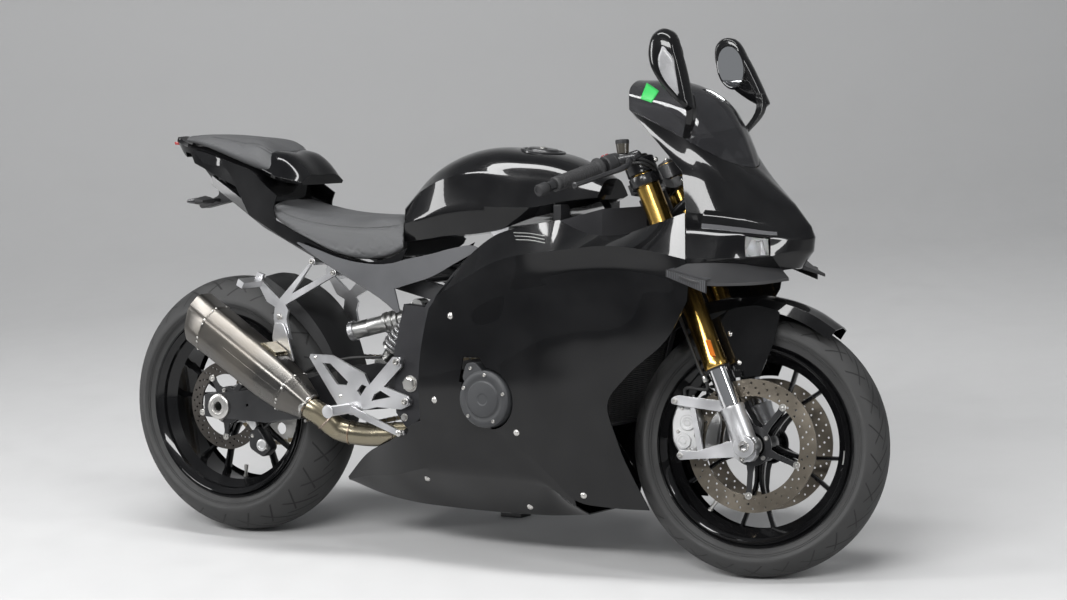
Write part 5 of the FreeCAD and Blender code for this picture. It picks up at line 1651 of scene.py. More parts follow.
def fastener_model(kind: Fastener) -> bpy.types.Object:
    """The small model of a fastener, one unit in radius with its foot at the origin.

    Args:
        kind: which fastener.

    Returns:
        The object, hidden from the render.
    """
    name = "model_" + kind.name.lower()
    found = bpy.data.objects.get(name)
    if found is not None:
        return found
    up, foot = Vector((0, 0, 1)), Vector((0, 0, -0.25))
    shape = Shape(name)
    profiles = {
        Fastener.SOCKET: [(0, 0.9), (0.3, 1.0), (0.75, 0.96), (0.95, 0.82), (0.97, 0.52), (0.55, 0.5), (0.5, 0.1)],
        Fastener.BUTTON: [(0, 1.0), (0.25, 1.0), (0.5, 0.82), (0.68, 0.5), (0.74, 0.12)],
        Fastener.SLEEVE: [(0, 1.0), (0.5, 1.0), (0.6, 0.9), (0.6, 0.62), (0.42, 0.56), (0.42, 0.34), (0.62, 0.3),
                          (0.66, 0.1)]}
    if kind is Fastener.HEX:
        shape.turned(foot, up, [(0, 1.05), (0.32, 1.05), (0.36, 1.0)], 20)
        shape.turned(foot, up, [(0.3, 0.86), (0.8, 0.86), (0.9, 0.74), (0.94, 0.2)], 6)
    else:
        shape.turned(foot, up, profiles[kind], 18 if kind is not Fastener.SOCKET else 24)
    return shape.model()


def fasten(bike: BikeFrame, body: Body, name: str, kind: Fastener, radius: float, spots: list[Spot],
           finish: Finish) -> bpy.types.Object:
    """Puts fasteners on points.

    Args:
        bike: the bike's frame.
        body: the body they ride on.
        name: the joined piece's name.
        kind: which fastener.
        radius: its radius in millimetres.
        spots: where they sit.
        finish: the finish.

    Returns:
        The joined piece.
    """
    return run_tree(bike, body, name, NODES.scatter(), spots,
                    {"Piece": fastener_model(kind), "Scale": radius * MM}, finish)


# Wheels and brakes


@dataclass
class Wheel(Assembly):
    """One wheel: tyre with its grooves, cast rim, valve and balance weight.

    Args:
        bike: the bike's frame.
        body: the body it rides on.
        axle: the axle's middle.
        radius: the tyre's radius.
        crown: the tread's crown radius.
        half: half the tyre's width.
        seat: half the rim's width between the beads.
        hub: the hub's radius and half length.
        spoke: half a spoke's thickness across the wheel.
        turn: the first spoke's angle in degrees.
    """

    body: Body
    axle: Vector
    radius: float
    crown: float
    half: float
    seat: float
    hub: tuple[float, float]
    spoke: float
    turn: float

    def build(self) -> None:
        """Builds the tyre and the rim."""
        name = self.body.value
        front = self.body is Body.FRONT_WHEEL
        self.tyre(name, "front_tyre" if front else "rear_tyre")
        self.rim(name, "front_rim" if front else "rear_rim")

    def polar(self, angle: float, r: float, y: float) -> Vector:
        """A point of the wheel at an angle in radians, a radius and a place across it."""
        return self.axle + Vector((r * math.cos(angle), y, r * math.sin(angle)))

    def tyre(self, name: str, node: str) -> None:
        """The tyre, turned from its profile, with grooves from its own finish.

        Args:
            name: the wheel's name.
            node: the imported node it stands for.
        """
        base = self.radius - self.crown
        marks = [math.radians(62.4) * k / 22 for k in range(-22, 23)]
        tread = [(base + self.crown * math.cos(a), self.crown * math.sin(a)) for a in marks]
        bead, flange = 218.0, 231.5
        wall = [(flange + 12, self.seat + 3.5), (flange + 4, self.seat + 2.2), (bead, self.seat)]
        shoulder = tread[-1]
        side = [(shoulder[0] - 6.5, shoulder[1] + 0.2), (shoulder[0] - 8, shoulder[1] - 0.7),
                ((shoulder[0] + flange + 12) / 2 - 3, (shoulder[1] + self.seat + 3.5) / 2 + 1.2)]
        outer = [(r, -y) for r, y in reversed(side + wall)] + tread + side + wall
        inner = [(bead, self.seat - 14), (shoulder[0] - 6, self.half - 12), (self.radius - 12, self.half * 0.35),
                 (self.radius - 12, -self.half * 0.35), (shoulder[0] - 6, -self.half + 12), (bead, 14 - self.seat)]
        rounds = 180
        shape = Shape(name + "_tyre")
        loop = outer + inner
        total = sum(math.dist(a, b) for a, b in zip(tread, tread[1:]))
        run, marks_v = 0.0, []
        for k, (r, y) in enumerate(loop):
            inside = len(side + wall) <= k < len(side + wall) + len(tread)
            if inside and k > len(side + wall):
                run += math.dist(loop[k - 1], loop[k])
            marks_v.append(run / total if inside else (-1.0 if k < len(outer) else -2.0) - r / 1000.0)
        for i in range(rounds + 1):
            a = 2 * math.pi * i / rounds
            shape._put([self.polar(a, r, y) for r, y in loop], [(i / rounds, v) for v in marks_v])
        wide = len(loop)
        for i in range(rounds):
            for j in range(wide):
                k = (j + 1) % wide
                shape._face(i * wide + j, (i + 1) * wide + j, (i + 1) * wide + k, i * wide + k)
        shape.build(self.bike, self.body, tyre_finish(name, 26 if self.body is Body.FRONT_WHEEL else 24), slot="tyre",
                    replaces=(node,), smooth=50)
        rings = Shape(name + "_sidewall_ribs")
        for side_y in (-1, 1):
            for r, rise in ((flange + 15.5, 0.9), (shoulder[0] - 13, 0.7)):
                y = self._wall_y(r, flange, shoulder)
                loops = [[self.polar(2 * math.pi * i / 96, r + dr, side_y * (y + dy)) for i in range(96)]
                         for dr, dy in ((-1.2, -0.5), (-0.6, rise), (0.6, rise), (1.2, -0.5))]
                rings.loft(loops, caps=False)
        rings.build(self.bike, self.body, TYRE, slot="tyre")

    def _wall_y(self, r: float, flange: float, shoulder: tuple[float, float]) -> float:
        """Half the tyre's width at a radius of its sidewall.

        Args:
            r: the radius.
            flange: the rim's flange radius.
            shoulder: the tread's edge as radius and y.

        Returns:
            The y there.
        """
        marks = [(flange + 12, self.seat + 3.5),
                 ((shoulder[0] + flange + 12) / 2 - 3, (shoulder[1] + self.seat + 3.5) / 2 + 1.2),
                 (shoulder[0] - 8, shoulder[1] - 0.7)]
        for (r0, y0), (r1, y1) in zip(marks, marks[1:]):
            if r <= r1:
                return y0 + (y1 - y0) * (r - r0) / (r1 - r0)
        return marks[-1][1]

    def rim(self, name: str, node: str) -> None:
        """The cast rim with five forked spokes, a bored hub, its valve and a balance weight.

        Args:
            name: the wheel's name.
            node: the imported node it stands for.
        """
        flange_r, bead, flange, seat = 231.5, 218.0, self.seat + 8, self.seat
        well = flange_r - 35.5
        half = [(flange_r - 1.5, flange), (flange_r, flange - 1.5), (flange_r, seat + 3.5), (flange_r - 2, seat + 2),
                (bead, seat), (bead - 2, seat - 16), (well, seat - 30)]
        under = [(well - 7, seat - 30), (bead - 10, seat - 14), (bead - 8, seat - 2), (flange_r - 9, flange - 2),
                 (flange_r - 7.5, flange)]
        loop = half + [(r, -y) for r, y in reversed(half)] + [(r, -y) for r, y in under] + list(reversed(under))
        shape = Shape(name + "_rim")
        rounds = 144
        rings = [[self.polar(2 * math.pi * i / rounds, r, y) for r, y in loop] for i in range(rounds)]
        shape.grid(rings + [rings[0]], close=True)
        hub_r, hub_half = self.hub
        shape.turned(self.axle - ACROSS * hub_half, ACROSS, [
            (0, 16), (0, hub_r - 5), (2, hub_r - 3), (hub_half * 0.5, hub_r - 4), (hub_half * 0.7, hub_r),
            (hub_half * 1.3, hub_r), (hub_half * 1.5, hub_r - 4), (hub_half * 2 - 2, hub_r - 3),
            (hub_half * 2, hub_r - 5), (hub_half * 2, 16)], 64, caps=False)
        shape.grid([ring(self.axle + ACROSS * y, ACROSS, 16, 64) for y in (hub_half, -hub_half)], close=True)
        for k in range(5):
            turn = -math.radians(self.turn + 72 * k)
            for fork in (-1, 1):
                self._spoke(shape, turn, fork, hub_r, well)
        front = self.body is Body.FRONT_WHEEL
        bosses = ((-1, 58, 64.5), (1, 58, 64.5)) if front else ((-1, 76, 81.5),)
        for s, y0, y1 in bosses:
            for radius in (42, 30):
                loops = [ring(self.axle + ACROSS * (s * y), ACROSS, radius, 48) for y in (y0, y1)]
                shape.grid(loops, close=True)
            shape.grid([ring(self.axle + ACROSS * (s * y1), ACROSS, r, 48) for r in (42, 30)], close=True)
        if not front:
            shape.turned(self.axle + ACROSS * 72, ACROSS, [(0, 50), (4, 60), (8, 62), (34, 62), (34, 30), (0, 30)], 64,
                         caps=False)
        shape.build(self.bike, self.body, GLOSS_BLACK, slot="gloss_black_metal", replaces=(node,), smooth=40)
        valve = Shape(name + "_valve")
        a = math.radians(self.turn + 36 + 180)
        d = Vector((math.cos(a), 0, math.sin(a)))
        foot = self.axle + d * (well - 5) + ACROSS * (6 - (20 if front else 0))
        valve.turned(foot, -d, [(0, 6), (4, 6), (5, 4.2), (20, 4.2), (20, 5), (30, 5), (31, 3.6), (31, 0.5)], 20)
        valve.build(self.bike, self.body, STEEL, slot="steel")
        weight = Shape(name + "_balance_weight")
        a0 = -0.16 if front else 2.2
        s = -1 if front else 1
        loops = []
        for k in range(9):
            a = a0 + 0.15 * k / 8
            loops.append([self.polar(a, r, s * y) for r, y in (
                (bead - 8.3, seat - 2), (bead - 11.8, seat - 3), (bead - 13.3, seat - 15), (bead - 9.3, seat - 14))])
        weight.loft(loops).build(self.bike, self.body, STEEL, bevel=0.6)

    def _spoke(self, shape: Shape, turn: float, fork: int, hub_r: float, well: float) -> None:
        """One arm of a forked spoke, from the hub to the rim, as a slim rounded bar.

        Args:
            shape: the rim's shape, which takes it.
            turn: the spoke's angle in radians.
            fork: which arm, 1 or -1.
            hub_r: the hub's radius.
            well: the rim well's radius.
        """
        d, side = Vector((math.cos(turn), 0, math.sin(turn))), Vector((-math.sin(turn), 0, math.cos(turn)))
        stations = [(hub_r - 9, 6.5, 8.5, 1.25), (hub_r + 14, 5.0, 6.5, 1.05), (72, 5.2, 5.6, 0.92),
                    (96, 8.0, 5.0, 0.86), (130, 18, 4.8, 0.82), (165, 30, 5.2, 0.84), (well - 8, 38, 6.5, 0.95),
                    (well - 1, 40, 9.5, 1.05)]
        loops = []
        for r, off, wide, thick in stations:
            t = self.spoke * thick
            mid = self.axle + d * r + side * (fork * off)
            loops.append([mid + side * (wide * a) + ACROSS * (t * b) for a, b in (
                (-1, -0.55), (-0.55, -0.95), (0.55, -0.95), (1, -0.55), (1, 0.55), (0.55, 0.95), (-0.55, 0.95),
                (-1, 0.55))])
        shape.loft(spline_rows(loops, 4))


def tyre_finish(name: str, blocks: int) -> "TyreFinish":
    """The finish of one tyre."""
    return TyreFinish(name + "_rubber", blocks)


@dataclass(frozen=True)
class TyreFinish:
    """Tyre rubber whose tread carries slanted rain grooves, drawn from the mesh's own map as bumps with painted shade
    in them.

    Args:
        name: the material's name.
        blocks: how often the pattern comes back round the tyre.
    """

    name: str
    blocks: int

    def material(self) -> bpy.types.Material:
        """The material, made at its first use.

        Returns:
            The material.
        """
        found = bpy.data.materials.get("finish_" + self.name)
        if found is not None:
            return found
        mat = Finish(self.name, (0.020, 0.020, 0.020), 0.66, texture=Texture.SMOOTH, shift=0.6).material()
        n, link = mat.node_tree.nodes, mat.node_tree.links
        shader = n["Principled BSDF"]
        uv = n.new("ShaderNodeUVMap")
        uv.uv_map = "surface"
        parts = n.new("ShaderNodeSeparateXYZ")
        link.new(uv.outputs["UV"], parts.inputs["Vector"])

        def op(kind: str, a: object, b: object = 0.0) -> object:
            """One arithmetic step on sockets or numbers.

            Args:
                kind: the operation.
                a: the first socket or number.
                b: the second one.

            Returns:
                The result's socket.
            """
            node = n.new("ShaderNodeMath")
            node.operation = kind
            for socket, value in zip(node.inputs, (a, b)):
                if isinstance(value, (int, float)):
                    socket.default_value = value
                else:
                    link.new(value, socket)
            return node.outputs[0]

        v = parts.outputs["Y"]
        across = op("ABSOLUTE", op("SUBTRACT", v, 0.5))
        grooves = None
        for slant, phase, low, high, width in ((3.4, 0.0, 0.10, 0.36, 0.045), (-2.2, 0.55, 0.20, 0.44, 0.035),
                                               (5.2, 0.3, 0.03, 0.22, 0.04)):
            sweep = op("ADD", op("MULTIPLY", parts.outputs["X"], float(self.blocks)),
                       op("ADD", op("MULTIPLY", across, slant), phase))
            wave = op("ABSOLUTE", op("SUBTRACT", op("FRACT", sweep), 0.5))
            line = op("LESS_THAN", wave, width)
            zone = op("MULTIPLY", op("GREATER_THAN", across, low), op("LESS_THAN", across, high))
            mask = op("MULTIPLY", line, zone)
            grooves = mask if grooves is None else op("MAXIMUM", grooves, mask)
        on_tread = op("GREATER_THAN", v, -0.5)
        grooves = op("MULTIPLY", grooves, on_tread)
        fine = n.new("ShaderNodeGroup")
        fine.node_tree = KIT.relief(Texture.RUBBER)
        fine.inputs["Size"].default_value = 1100.0
        height = op("SUBTRACT", op("MULTIPLY", fine.outputs["Height"], 0.05), grooves)
        bump = n.new("ShaderNodeBump")
        bump.inputs["Strength"].default_value = 1.0
        bump.inputs["Distance"].default_value = 0.0022
        link.new(height, bump.inputs["Height"])
        link.new(bump.outputs["Normal"], shader.inputs["Normal"])
        # Painted shade: the grooves are coloured near black, darker than the rubber, as if shade lay in them.
        tone = n.new("ShaderNodeMix")
        tone.data_type = "RGBA"
        before = shader.inputs["Base Color"].links[0].from_socket
        link.new(before, tone.inputs["A"])
        tone.inputs["B"].default_value = (0.004, 0.004, 0.004, 1.0)
        link.new(grooves, tone.inputs["Factor"])
        wall = n.new("ShaderNodeMix")
        wall.data_type = "RGBA"
        link.new(tone.outputs["Result"], wall.inputs["A"])
        wall.inputs["B"].default_value = (0.034, 0.034, 0.034, 1.0)
        link.new(op("LESS_THAN", v, -0.5), wall.inputs["Factor"])
        link.new(wall.outputs["Result"], shader.inputs["Base Color"])
        return mat


@dataclass
class Disc(Assembly):
    """One drilled brake disc with its carrier and sleeves.

    Args:
        bike: the bike's frame.
        body: the body it rides on.
        name: the piece's name.
        centre: its middle.
        outer: its radius.
        inner: the drilled band's inner radius.
        rows: hole rows as radius, count and phase.
        thick: its thickness.
        pins: how many sleeves join the band to the carrier.
        nodes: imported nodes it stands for.
        finish: the band's metal.
    """

    body: Body
    name: str
    centre: Vector
    outer: float
    inner: float
    rows: tuple[tuple[float, int, float], ...]
    thick: float = 5.0
    pins: int = 5
    nodes: tuple[str, ...] = ()
    finish: Finish = DISC_STEEL

    def build(self) -> None:
        """Builds the band, the carrier and the sleeves."""
        spots = [Spot(Vector((r * math.cos(a), r * math.sin(a), 0)), Vector((0, 0, 1)))
                 for r, count, phase in self.rows
                 for a in (2 * math.pi * (k + phase) / count for k in range(count))]
        place = Matrix.Translation(self.centre * MM + Vector((0, self.thick / 2 * MM, 0))) @ Matrix.Rotation(
            math.radians(90), 4, "X")
        band = run_tree(self.bike, self.body, self.name, NODES.drilled(), spots,
                        {"Outer": self.outer * MM, "Inner": self.inner * MM, "Hole": 2.6 * MM,
                         "Thickness": self.thick * MM}, self.finish, place)
        _bevel(band, 0.35, 50)
        if self.nodes:
            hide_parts(*self.nodes)
        carrier = Shape(self.name + "_carrier")
        half = Vector((0, self.thick / 2, 0))
        for r in (46, 30):
            carrier.grid([ring(self.centre + half * k, ACROSS, r, 48) for k in (-1, 1)], close=True)
        for k in (-1, 1):
            carrier.grid([ring(self.centre + half * k, ACROSS, r, 48) for r in (46, 30)], close=True)
        step = 2 * math.pi / self.pins
        for k in range(self.pins):
            a = -(step * k + math.radians(20))
            d, s = Vector((math.cos(a), 0, math.sin(a))), Vector((-math.sin(a), 0, math.cos(a)))
            outline = [d * r + s * w for r, w in ((43, -10), (60, -6.5), (self.inner - 12, -6), (self.inner + 1, -9),
                                                  (self.inner + 4, -7), (self.inner + 4, 7), (self.inner + 1, 9),
                                                  (self.inner - 12, 6), (60, 6.5), (43, 10))]
            carrier.slab([self.centre - half * 0.9 + q for q in outline], half * 1.8)
        carrier.build(self.bike, self.body, BLACK_PAINT, slot="frame_black", bevel=0.7)
        out = Vector((0, 1 if self.centre.y > 0 else -1, 0))
        sleeves = [Spot(self.centre + out * (self.thick / 2) + Vector((math.cos(a), 0, math.sin(a))) * (self.inner + 1),
                        out) for a in (-(step * k + math.radians(20)) for k in range(self.pins))]
        fasten(self.bike, self.body, self.name + "_sleeves", Fastener.SLEEVE, 8.5, sleeves, STEEL)
        bolts = [Spot(self.centre + out * (self.thick / 2) + Vector((math.cos(a), 0, math.sin(a))) * 38, out)
                 for a in (step * (k + 0.4) for k in range(self.pins))]
        fasten(self.bike, self.body, self.name + "_bolts", Fastener.SOCKET, 5.5, bolts, STEEL)


@dataclass
class ChainDrive(Assembly):
    """Both sprockets and the chain's links.

    Args:
        bike: the bike's frame.
        rear: the rear sprocket's pitch radius.
        drive: the gearbox sprocket's pitch radius.
        gearbox: the gearbox sprocket's middle.
        y: the chain's place across the bike.
    """

    rear: float = 113.7
    drive: float = 43.0
    gearbox: Point = (690.0, 109.0, 405.0)
    y: float = 109.0

    def build(self) -> None:
        """Builds the sprockets and the links."""
        sprocket = self._toothed("rear_sprocket_teeth", from_axle(REAR_AXLE, 0, self.y, 0), self.rear, 45, 6.0, 30.0)
        obj = sprocket.build(self.bike, Body.REAR_WHEEL, STEEL, slot="steel", replaces=("rear_sprocket",))
        holes = [cutter(self.bike, "window", circle_outline(80 * math.cos(a), REAR_AXLE.z + 80 * math.sin(a), 15, 32),
                        self.y - 8, self.y + 8) for a in (2 * math.pi * k / 5 for k in range(5))]
        carve(obj, holes)
        _bevel(obj, 0.5, 50)
        nuts = [Spot(Vector((54 * math.cos(a), self.y + 3, REAR_AXLE.z + 54 * math.sin(a))), ACROSS)
                for a in (2 * math.pi * (k + 0.5) / 5 for k in range(5))]
        fasten(self.bike, Body.REAR_WHEEL, "sprocket_nuts", Fastener.HEX, 8.5, nuts, STEEL)
        small = self._toothed("gearbox_sprocket_teeth", Vector(self.gearbox), self.drive, 17, 6.0, 14.0)
        small.rod(Vector((690, 92, 405)), Vector((690, 117, 405)), 14, 32, 1.0)
        small.build(*self.fixed, STEEL, slot="steel", replaces=("gearbox_sprocket",), bevel=0.4)
        fasten(*self.fixed, "gearbox_nut", Fastener.HEX, 20, [Spot(Vector((690, 113, 405)), ACROSS)], STEEL)
        self.links()

    def _toothed(self, name: str, middle: Vector, pitch: float, teeth: int, thick: float, bore: float) -> Shape:
        """A toothed wheel with a bore, as a ring of matching points.

        Args:
            name: the piece's name.
            middle: its middle.
            pitch: its pitch radius.
            teeth: how many teeth.
            thick: its thickness.
            bore: its bore's radius.

        Returns:
            The shape.
        """
        marks = []
        for k in range(teeth * 6):
            phase = k / 6 % 1.0
            lift = (-6.0, -3.4, 2.4, 3.6, 2.4, -3.4)[k % 6]
            a = 2 * math.pi * (k // 6 + phase) / teeth
            marks.append((pitch + lift, a))
        loops = []
        for r_of, y in ((None, -thick / 2), (None, thick / 2), (bore, thick / 2), (bore, -thick / 2)):
            loops.append([middle + Vector(((r_of or r) * math.cos(a), y, (r_of or r) * math.sin(a))) for r, a in marks])
        return Shape(name).grid(loops + [loops[0]], close=True)

    def links(self) -> None:
        """The chain, as alternating outer and inner links round both sprockets."""
        dx, dz = self.gearbox[0], self.gearbox[2] - REAR_AXLE.z
        dist, tilt = math.hypot(dx, dz), math.atan2(dz, dx)
        lean = math.acos((self.rear - self.drive) / dist)
        path = [Vector((self.rear * math.cos(a), self.y, REAR_AXLE.z + self.rear * math.sin(a)))
                for a in (tilt + lean + (2 * math.pi - 2 * lean) * k / 48 for k in range(49))]
        path += [Vector((dx + self.drive * math.cos(a), self.y, 405 + self.drive * math.sin(a)))
                 for a in (tilt - lean + 2 * lean * k / 24 for k in range(25))]
        path.append(path[0])
        total = sum((b - a).length for a, b in zip(path, path[1:]))
        count = round(total / CHAIN_PITCH / 2) * 2
        spots: list[Spot] = []
        for k in range(count):
            d = total * (k + 0.5) / count
            for a, b in zip(path, path[1:]):
                step = (b - a).length
                if d <= step:
                    spots.append(Spot(a.lerp(b, d / step), ACROSS, b - a))
                    break
                d -= step
        for name, offset in (("outer", 0), ("inner", 1)):
            model = self._link(name == "outer", total / count)
            run_tree(*self.fixed, "chain_links_" + name, NODES.scatter(), spots[offset::2],
                     {"Piece": model, "Scale": MM}, STEEL if name == "inner" else CHAIN_PLATE)
        log.info("chain of %d links", count)
        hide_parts("chain")

    def _link(self, outer: bool, pitch: float) -> bpy.types.Object:
        """The model of one link: two waisted plates and two pins or rollers.

        Args:
            outer: whether it is an outer link.
            pitch: the distance between its pins.

        Returns:
            The model.
        """
        name = "model_link_" + ("outer" if outer else "inner")
        shape = Shape(name)
        gap, half = (5.6, 6.9) if outer else (3.4, 4.9)
        outline = []
        for end in (1, -1):
            for k in range(5):
                a = math.radians(-70 + 35 * k)
                reach = pitch / 2 + 6.6 * math.cos(a) * (0.93 if outer else 1.0)
                outline.append((reach * end, 6.4 * math.sin(a) * end))
            outline.append((0.0, 4.4 * end))
        for s in (-1, 1):
            shape.slab([Vector((x, y, s * gap)) for x, y in outline], Vector((0, 0, s * (half - gap))))
        for x in (-pitch / 2, pitch / 2):
            reach, radius = (8.0, 2.4) if outer else (3.4, 4.6)
            shape.rod(Vector((x, 0, -reach)), Vector((x, 0, reach)), radius, 10)
        return shape.model()


CHAIN_PITCH = 15.875
CHAIN_PLATE = Finish("chain_plate", (0.30, 0.25, 0.17), 0.38, 1.0, texture=Texture.BRUSHED, size=700.0, depth=0.01)
CALIPER_ALLOY = Finish("caliper_alloy", (0.50, 0.50, 0.50), 0.42, 1.0, texture=Texture.CAST, size=1800.0, depth=0.03)
GUARD_WALL = 3.0
DISC_Y = 67.0
HOSE = Finish("hose_cover", (0.02, 0.02, 0.02), 0.42, texture=Texture.RUBBER, size=1500.0, depth=0.05)


def from_axle(axle: Vector, x: float, y: float, z: float) -> Vector:
    """A point given from an axle."""
    return axle + Vector((x, y, z))


def by_axle(axle: Vector, outline: Flat, y: float) -> list[Vector]:
    """An outline given from an axle, on a plane across the bike."""
    return [Vector((axle.x + x, y, axle.z + z)) for x, z in outline]


def rounded(outline: Flat, radius: float, steps: int = 4) -> Flat:
    """An outline whose corners are rounded.

    Args:
        outline: corners in a plane.
        radius: the corners' radius, less where a side is short.
        steps: points in each corner.

    Returns:
        The rounded outline.
    """
    out: Flat = []
    count = len(outline)
    for i, corner in enumerate(outline):
        c = Vector(corner)
        a, b = Vector(outline[i - 1]) - c, Vector(outline[(i + 1) % count]) - c
        reach = min(radius, a.length * 0.42, b.length * 0.42)
        p, q = c + a.normalized() * reach, c + b.normalized() * reach
        for k in range(steps + 1):
            t = k / steps
            point = p * (1 - t) ** 2 + c * 2 * t * (1 - t) + q * t * t
            out.append((point.x, point.y))
    return out


def plate(shape: Shape, outline: Flat, y0: float, y1: float, radius: float = 6.0,
          axle: Vector = Vector((0, 0, 0))) -> Shape:
    """Adds a plate with rounded corners across the bike, between two places."""
    loop = by_axle(axle, rounded(outline, radius), y0)
    return shape.slab(loop, Vector((0, y1 - y0, 0)))


@dataclass
class FrontEnd(Assembly):
    """Fork, feet, calipers, mudguard and hoses.

    Args:
        bike: the bike's frame.
        spread: each leg's distance from the middle.
        offset: how far the legs stand ahead of the steering axis.
        upper_arm: the foot's upper arm to the caliper, as x and z from the axle.
        lower_arm: its lower arm, from the axle.
        web: the web between both arms, from the axle.
        body: the caliper's outline, from the axle.
        pistons: the caliper's piston caps, from the axle.
        guard_side: the mudguard's side fin, from the axle.
    """

    spread: float = 107.0
    offset: float = 29.8
    upper_arm: tuple = ((-39, 98), (-167, 108), (-181, 100), (-181, 88), (-157, 84), (-33, 72))
    lower_arm: tuple = ((-5, -24), (-117, -34), (-157, -38), (-165, -28), (-157, -16), (-115, -16), (-17, 18))
    web: tuple = ((-139, 92), (-127, 90), (-101, -20), (-115, -22))
    body: tuple = ((-171, 94), (-135, 98), (-111, 52), (-117, -14), (-157, -36), (-181, 0), (-185, 50))
    pistons: tuple = ((-145, 46), (-153, 4))
    guard_side: tuple = ((-117, 272), (-57, 308), (0, 318), (58, 306), (43, 230), (19, 170), (-3, 108), (-19, 102),
                         (-49, 170), (-85, 220))

    def build(self) -> None:
        """Builds every piece of the front end."""
        for side in Side:
            self.leg(side)
            self.caliper(side)
            self.hose(side)
        self.clamps()
        self.axle()
        self.mudguard()

    @property
    def axle_s(self) -> float:
        """The axle's place along the steering axis."""
        return math.sin(self.bike.rake) * self.bike.trail + math.cos(self.bike.rake) * FRONT_AXLE.z

    def on_leg(self, s: float, side: Side) -> Vector:
        """A point on one leg's axis."""
        return self.bike.fork(s, side.value * self.spread, self.offset)

    def leg(self, side: Side) -> None:
        """One leg: gold outer tube with its seal, chromed inner tube and machined foot.

        Args:
            side: the bike's side.
        """
        name, up, s0 = side.label, self.bike.fork_up, self.axle_s
        end = s0 + 190
        tube = Shape("fork_outer_" + name)
        tube.turned(self.on_leg(end, side), up, [
            (0, 22.6), (0, 26), (3, 28.4), (14, 28.4), (17, 27), (210, 27), (216, 27), (1014 - end, 27)], 64)
        tube.build(*self.steered, GOLD, slot="gold", replaces=side.first("fork_uppers"))
        seal = Shape("fork_seal_" + name).turned(self.on_leg(end - 4, side), up, [
            (0, 22.1), (0, 25), (4, 26.5), (6, 22.1)], 48, caps=False)
        seal.build(*self.steered, MATT_BLACK)
        cap = Shape("fork_cap_" + name)
        cap.turned(self.on_leg(1012, side), up, [(0, 25), (6, 25), (8, 23.5), (8, 16), (5, 15), (5, 0.5)], 48)
        cap.turned(self.on_leg(1016, side), up, [(0, 13), (7, 13), (8, 12), (8, 0.5)], 6)
        cap.paint = 1
        cap.turned(self.on_leg(1020, side), up, [(0, 6), (8, 6), (8.5, 5), (8.5, 0.5)], 24)
        cap.build(*self.steered, BLACK_PAINT, STEEL, bevel=0.5)
        inner = Shape("fork_tube_" + name).turned(self.on_leg(s0 + 57, side), up, [(0, 22), (end - s0 - 57, 22)], 64)
        inner.build(*self.steered, CHROME, slot="silver", replaces=side.first("fork_lowers"))
        foot = Shape("fork_foot_" + name)
        foot.turned(self.on_leg(s0 + 3, side), up, [
            (0, 23), (2, 27), (40, 27), (78, 26.4), (84, 28), (92, 28), (94, 26), (94, 22.2)], 48)
        y = side.value
        foot.turned(from_axle(FRONT_AXLE, 0, y * 80, 0), Vector((0, y, 0)), [
            (0, 12.6), (0, 25), (1.5, 26), (48, 26), (52, 24), (52, 12.6)], 48, caps=False)
        plate(foot, list(self.upper_arm), y * 99.5, y * 112, 9, FRONT_AXLE)
        plate(foot, list(self.lower_arm), y * 99.5, y * 112, 10, FRONT_AXLE)
        plate(foot, list(self.web), y * 99.5, y * 108, 3, FRONT_AXLE)
        clamp = [(-24, 22), (24, 22), (27, -20), (16, -34), (-16, -34), (-27, -20)]
        plate(foot, clamp, y * 97, y * 121, 10, FRONT_AXLE)
        obj = foot.build(*self.steered, SILVER, slot="silver", bevel=1.6)
        obj.modifiers["edges"].segments = 3
        out = Vector((0, y, 0))
        spots = [Spot(from_axle(FRONT_AXLE, x, y * 112, z), out) for x, z in ((-172, 94), (-155, -28))]
        spots.append(Spot(from_axle(FRONT_AXLE, -6, y * 121, -27), out))
        fasten(*self.steered, "fork_bolts_" + name, Fastener.SOCKET, 6.5, spots, STEEL)

    def caliper(self, side: Side) -> None:
        """One radial caliper with its pistons, pads, bridge window, bolts, banjo and bleed nipple.

        Args:
            side: the bike's side.
        """
        y, name = side.value, side.label
        shape = Shape("front_caliper_" + name)
        loop = by_axle(FRONT_AXLE, rounded(list(self.body), 12, 4), 0.0)
        mid = from_axle(FRONT_AXLE, -148, 0, 34)
        rings = [[Vector((mid.x + (p.x - mid.x) * k, y * at, mid.z + (p.z - mid.z) * k)) for p in loop]
                 for at, k in ((48, 0.86), (50, 0.93), (54, 0.98), (58, 1.0), (86, 1.0), (91, 0.97), (95, 0.88))]
        obj = shape.loft(rings).build(*self.steered, CALIPER_ALLOY, slot="silver", smooth=40,
                                      replaces=side.first("front_calipers"))
        slot = Shape("slot")
        slot.turned(from_axle(FRONT_AXLE, 0, y * DISC_Y - 5.5, 0), ACROSS, [(0, 156), (11, 156)], 72)
        relief = Shape("relief").turned(from_axle(FRONT_AXLE, 0, y * DISC_Y - 11.0, 0), ACROSS, [(0, 124), (22, 124)],
                                        72)
        window = Shape("window").slab([from_axle(FRONT_AXLE, x, y * 61, z) for x, z in (
            (-118, 74), (-196, 74), (-196, 4), (-126, 4))], Vector((0, y * 13, 0)))
        carve(obj, [tool.build(*self.steered, MATT_BLACK) for tool in (slot, relief, window)])
        _bevel(obj, 0.9, 40)
        pads = Shape("brake_pads_" + name)
        for a, b in ((61.6, 63.9), (70.1, 72.4)):
            plate(pads, [(-142, 66), (-164, 62), (-166, 10), (-138, 2), (-126, 22), (-126, 54)], y * a, y * b, 4,
                  FRONT_AXLE)
        pads.build(*self.steered, MATT_BLACK)
        caps = Shape("caliper_pistons_" + name)
        for x, z in self.pistons:
            foot = from_axle(FRONT_AXLE, x, y * 93.5, z)
            caps.turned(foot, Vector((0, y, 0)), [
                (0, 18), (4, 18), (5.4, 16.6), (5.4, 12), (4, 11), (4, 7), (5.4, 6), (5.4, 0.5)], 36)
        caps.build(*self.steered, CALIPER_ALLOY, bevel=0.3)
        out = Vector((0, y, 0))
